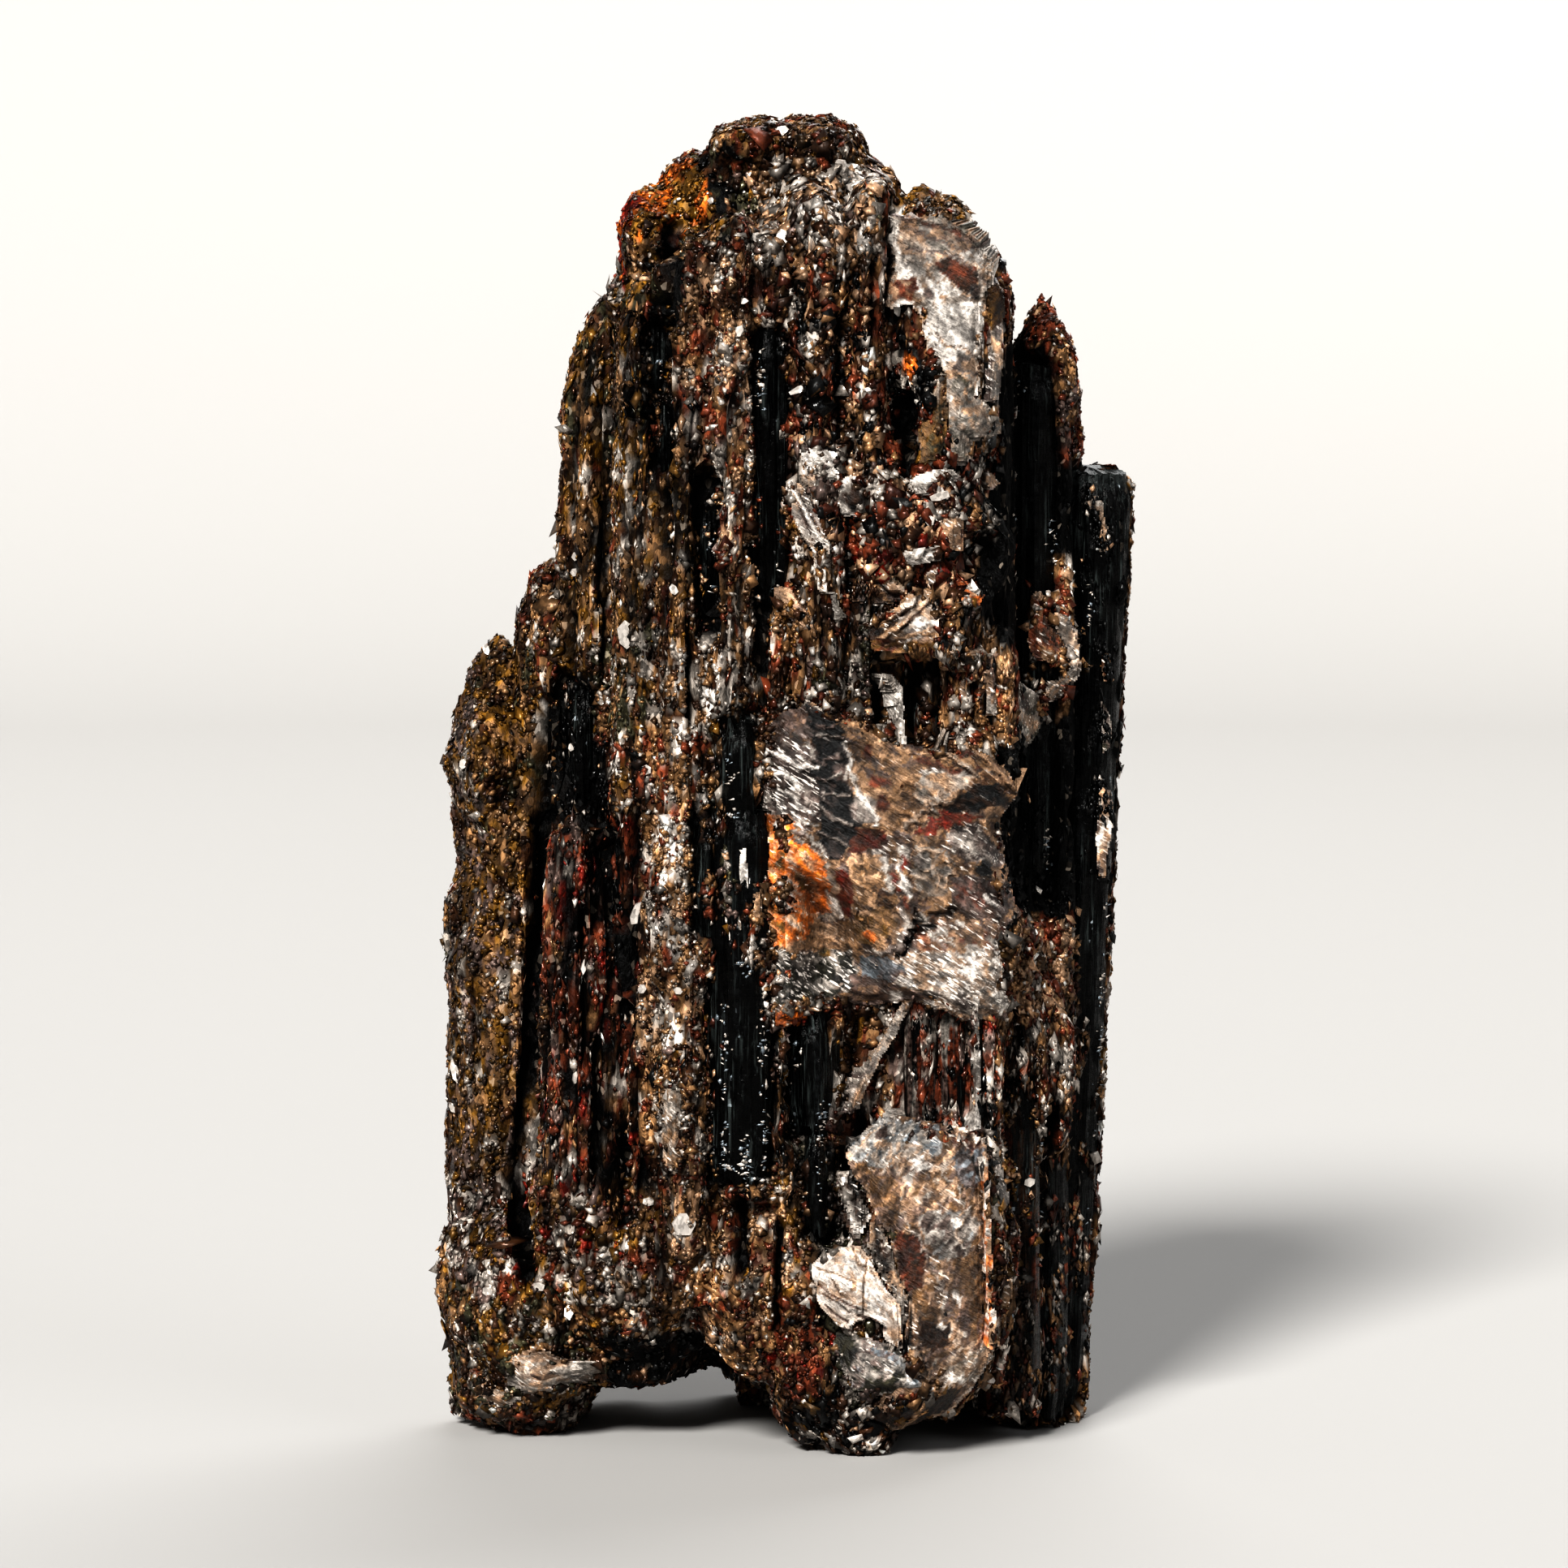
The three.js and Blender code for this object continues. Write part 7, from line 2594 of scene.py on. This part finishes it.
@dataclass(frozen=True)
class FlakeFinish:
    """Mica flakes: pearly plates, partly like metal."""

    name: str = "mica_flakes"
    metallic: float = 0.4
    rough_low: float = 0.22
    rough_high: float = 0.55

    def material(self) -> bpy.types.Material:
        """Makes the material.

        Returns:
            The material.
        """
        nodes = NodeTree(self.name)
        cell, chance = nodes.cells((5.5, 5.5, 4.0))
        colour = nodes.scaled(nodes.tint("Color"), 0.6 + chance * 0.8)
        roughness = self.rough_high - nodes.tint("Alpha") * (self.rough_high - self.rough_low)
        normal = nodes.facets(nodes.node("ShaderNodeNewGeometry", {}, {}, "Normal"), cell, 0.3)
        inputs = {"Base Color": colour, "Roughness": roughness, "Metallic": self.metallic, "Normal": normal}
        return nodes.finish(inputs)


@dataclass(frozen=True)
class SheetFinish:
    """Mica sheets and books: silky, with fine slanting wrinkles, a silver sheen and painted highlight
    dashes.
    """

    name: str = "mica_sheets"
    metallic: float = 0.2
    roughness: float = 0.42
    slant: float = -32.0
    flash: tuple[float, float, float] = (0.70, 0.65, 0.60)

    def material(self) -> bpy.types.Material:
        """Makes the material.

        Returns:
            The material.
        """
        nodes = NodeTree(self.name)
        cloud = nodes.grain((3.0, 3.0, 3.0), 8.0)
        streak = nodes.grain((1.8, 4.0, 9.0), 5.0, self.slant)
        cell, chance = nodes.cells((1.7, 4.0, 9.0), self.slant, 0.5)
        _, shard = nodes.cells((4.6, 4.6, 3.4), 20.0, 0.9)
        light = ((cloud - 0.38) * 4.2).clamped() * 0.4 + ((streak - 0.38) * 4.0).clamped() * 0.35
        light = light + shard * shard * 0.9 + chance * 0.25
        # Painted highlights: short pale dashes along the wrinkles, mixed towards flash.
        start = 0.99 - nodes.tint("Alpha") * 0.32
        dash = ((chance - start) * 10.0).clamped() * ((streak - 0.42) * 8.0).clamped()
        colour = nodes.paler(nodes.tint("Color"), self.flash, dash * 0.75)
        colour = nodes.scaled(colour, 0.2 + light + dash * 0.4)
        roughness = (self.roughness - (streak - 0.5) * 0.4).clamped()
        normal = nodes.facets(nodes.bumped(cloud * 0.5 + streak * 0.5, 0.3), cell, 0.35)
        inputs = {"Base Color": colour, "Roughness": roughness, "Metallic": self.metallic, "Normal": normal}
        return nodes.finish(inputs)


@dataclass(frozen=True)
class TourmalineFinish:
    """Black tourmaline: glassy, with fine striations along the prism, a painted sheen on them, and painted
    glints on tiny breaks.
    """

    name: str = "black_tourmaline"
    specular: float = 0.12
    sheen: tuple[float, float, float] = (0.055, 0.066, 0.064)
    glint: tuple[float, float, float] = (0.50, 0.56, 0.60)

    def material(self) -> bpy.types.Material:
        """Makes the material.

        Returns:
            The material.
        """
        nodes = NodeTree(self.name)
        lines = nodes.grain((7.0, 7.0, 0.35), 3.0)
        chips = nodes.grain((2.5, 2.5, 2.5), 4.0)
        cell, chance = nodes.cells((2.8, 2.8, 4.6))
        patches = nodes.grain((1.3, 1.3, 0.22), 2.0)
        # Painted glints: rare pale spots in some patches; painted sheen: pale lines along the striations.
        glint_spots = ((chance - 0.93) * 24.0).clamped() * ((patches - 0.64) * 12.0).clamped()
        sheen = ((lines - 0.5) * 5.0).clamped() * ((patches - 0.46) * 5.0).clamped()
        colour = nodes.scaled(nodes.tint("Color"), 0.1 + ((chips - 0.4) * 3.0).clamped() * 0.9)
        colour = nodes.paler(colour, self.sheen, sheen * 0.9)
        colour = nodes.paler(colour, self.glint, glint_spots * 0.8)
        roughness = (0.36 - nodes.tint("Alpha") * 0.16 + (chips - 0.5) * 0.3).clamped()
        normal = nodes.facets(nodes.bumped(lines * 0.7 + chips * 0.3, 0.16), cell, 0.3)
        inputs = {"Base Color": colour, "Roughness": roughness, "Metallic": 0.0, "Normal": normal}
        return nodes.finish({**inputs, "Specular IOR Level": self.specular})


@dataclass(frozen=True)
class FloorFinish:
    """The pale floor and the rim behind it."""

    name: str = "pale_floor"
    shade: float = 0.36
    warmth: tuple[float, float, float] = (1.0, 0.985, 0.965)

    def material(self) -> bpy.types.Material:
        """Makes the material.

        Returns:
            The material.
        """
        nodes = NodeTree(self.name)
        colour = (*(self.shade * share for share in self.warmth), 1.0)
        return nodes.finish({"Base Color": colour, "Roughness": 0.8, "Specular IOR Level": 0.1})


@dataclass(frozen=True)
class SoftLight:
    """A wide soft light far away. aim is the way it shines, spread its width as an angle in degrees."""

    name: str
    aim: tuple[float, float, float]
    strength: float
    spread: float
    colour: tuple[float, float, float] = (1.0, 1.0, 1.0)

    def build(self) -> bpy.types.Object:
        """Makes the light.

        Returns:
            The light's object.
        """
        data = bpy.data.lights.new(self.name, "SUN")
        data.energy, data.color, data.angle = self.strength, self.colour, math.radians(self.spread)
        lamp = bpy.data.objects.new(self.name, data)
        lamp.rotation_mode = "QUATERNION"
        lamp.rotation_quaternion = Vector(self.aim).to_track_quat("-Z", "Y")
        bpy.context.scene.collection.objects.link(lamp)
        return lamp


@dataclass
class Studio:
    """The pale floor with a round rim, the lights and the air. Sizes are in metres."""

    floor_radius: float = 0.55
    rim_radius: float = 0.3
    rim_height: float = 0.32
    rim_steps: int = 12
    spin_steps: int = 96
    air: float = 0.10
    lights: tuple[SoftLight, ...] = (
        SoftLight("key", (0.30, 0.74, -0.60), 5.6, 16.0, (1.0, 0.98, 0.95)),
        SoftLight("fill", (-0.75, 0.50, -0.42), 0.7, 40.0, (0.95, 0.97, 1.0)),
        SoftLight("back", (-0.25, -0.70, -0.62), 2.0, 50.0),
    )

    def build(self) -> None:
        """Builds the floor, the lights and the air."""
        self._floor()
        for light in self.lights:
            light.build()
        world = bpy.data.worlds.new("air")
        world.use_nodes = True
        grey = (self.air, self.air, self.air, 1.0)
        world.node_tree.nodes["Background"].inputs["Color"].default_value = grey
        bpy.context.scene.world = world

    def _floor(self) -> None:
        """Spins the floor and its curved rim round the upright axis."""
        deselect_all()
        bpy.ops.mesh.primitive_plane_add(size=0.001, location=(0.0, 0.0, 0.0))
        floor = bpy.context.active_object
        floor.name = "studio_floor"
        with edit_mode(Pick.POINTS):
            bpy.ops.mesh.select_all(action="SELECT")
            bpy.ops.mesh.merge(type="CENTER")
            out = (self.floor_radius, 0.0, 0.0)
            bpy.ops.mesh.extrude_region_move(TRANSFORM_OT_translate={"value": out})
            for step in range(1, self.rim_steps + 1):
                first, second = (math.pi / 2 * turn / self.rim_steps for turn in (step - 1, step))
                move = (math.sin(second) - math.sin(first), math.cos(first) - math.cos(second))
                shift = (move[0] * self.rim_radius, 0.0, move[1] * self.rim_radius)
                bpy.ops.mesh.extrude_region_move(TRANSFORM_OT_translate={"value": shift})
            rise = self.rim_height - self.rim_radius
            bpy.ops.mesh.extrude_region_move(TRANSFORM_OT_translate={"value": (0.0, 0.0, rise)})
            bpy.ops.mesh.select_all(action="SELECT")
            bpy.ops.mesh.spin(
                steps=self.spin_steps, angle=2 * math.pi, center=(0.0, 0.0, 0.0), axis=(0.0, 0.0, 1.0)
            )
            bpy.ops.mesh.select_all(action="SELECT")
            bpy.ops.mesh.remove_doubles(threshold=1e-5)
            bpy.ops.mesh.normals_make_consistent(inside=True)
        bpy.ops.object.shade_smooth()
        floor.data.materials.append(FloorFinish().material())


def build_camera() -> None:
    """Puts the camera where the photo was taken from."""
    data = bpy.data.cameras.new("camera")
    data.lens = CAMERA_LENS
    data.sensor_width = CAMERA_SENSOR
    data.clip_start, data.clip_end = CAMERA_CLIPS
    camera = bpy.data.objects.new("camera", data)
    back = Vector((0.0, -math.cos(CAMERA_ELEVATION), math.sin(CAMERA_ELEVATION)))
    camera.location = (Vector(CAMERA_AIM) + back * CAMERA_DISTANCE) * MM
    camera.rotation_mode = "QUATERNION"
    camera.rotation_quaternion = (-back).to_track_quat("-Z", "Y")
    bpy.context.scene.collection.objects.link(camera)
    bpy.context.scene.camera = camera


def settle(pieces: Sequence[bpy.types.Object], material: bpy.types.Material) -> None:
    """Gives pieces their finish and lets them ride on the specimen's body, in place of its plain solid.

    Args:
        pieces: finished pieces.
        material: their finish.
    """
    for piece in pieces:
        piece.data.materials.clear()
        piece.data.materials.append(material)
        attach(piece, BODY)
        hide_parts(NODE)
        LOG.info("%s: %d faces", piece.name, len(piece.data.polygons))


def main() -> None:
    """Builds the specimen, its studio and its camera."""
    logging.basicConfig(level=logging.INFO, format="%(name)s: %(message)s")
    build_camera()
    Studio().build()
    noise = Noise(SEED)
    skin = Skin()
    prism_plans = [prism.placed(skin) for prism in PRISMS]
    plan = CrustPlan(noise, tuple(prism.bare() for prism in prism_plans if prism.stands_free()))
    body = CrystalBody(plan).build()
    crust = FlakeCrust(plan)
    flakes = crust.build(body)
    prisms = [prism.build(noise) for prism in prism_plans]
    sheets = [leaf.build(skin, noise) for leaf in SHEETS]
    rng = np.random.default_rng(SEED + 1)
    dressed = Dressed([body, *prisms])
    laid = [prism.rim() for prism in PRISMS if prism.y is None and prism.stands_free()]
    edges = [leaf.outline for leaf in SHEETS if leaf.crusted] + laid
    flakes.append(crust.rims(edges, Dressed([body, *prisms, *sheets])))
    sparkles = Sparkles().build(dressed, rng)
    glints = Glints().build(dressed, rng)
    settle([body], CrustFinish().material())
    settle([*flakes, sparkles, glints], FlakeFinish().material())
    settle(prisms, TourmalineFinish().material())
    settle(sheets, SheetFinish().material())
    bpy.context.scene.view_settings.view_transform = "Standard"
    bpy.context.scene.view_settings.look = "High Contrast"


if __name__ == "__main__":
    main()
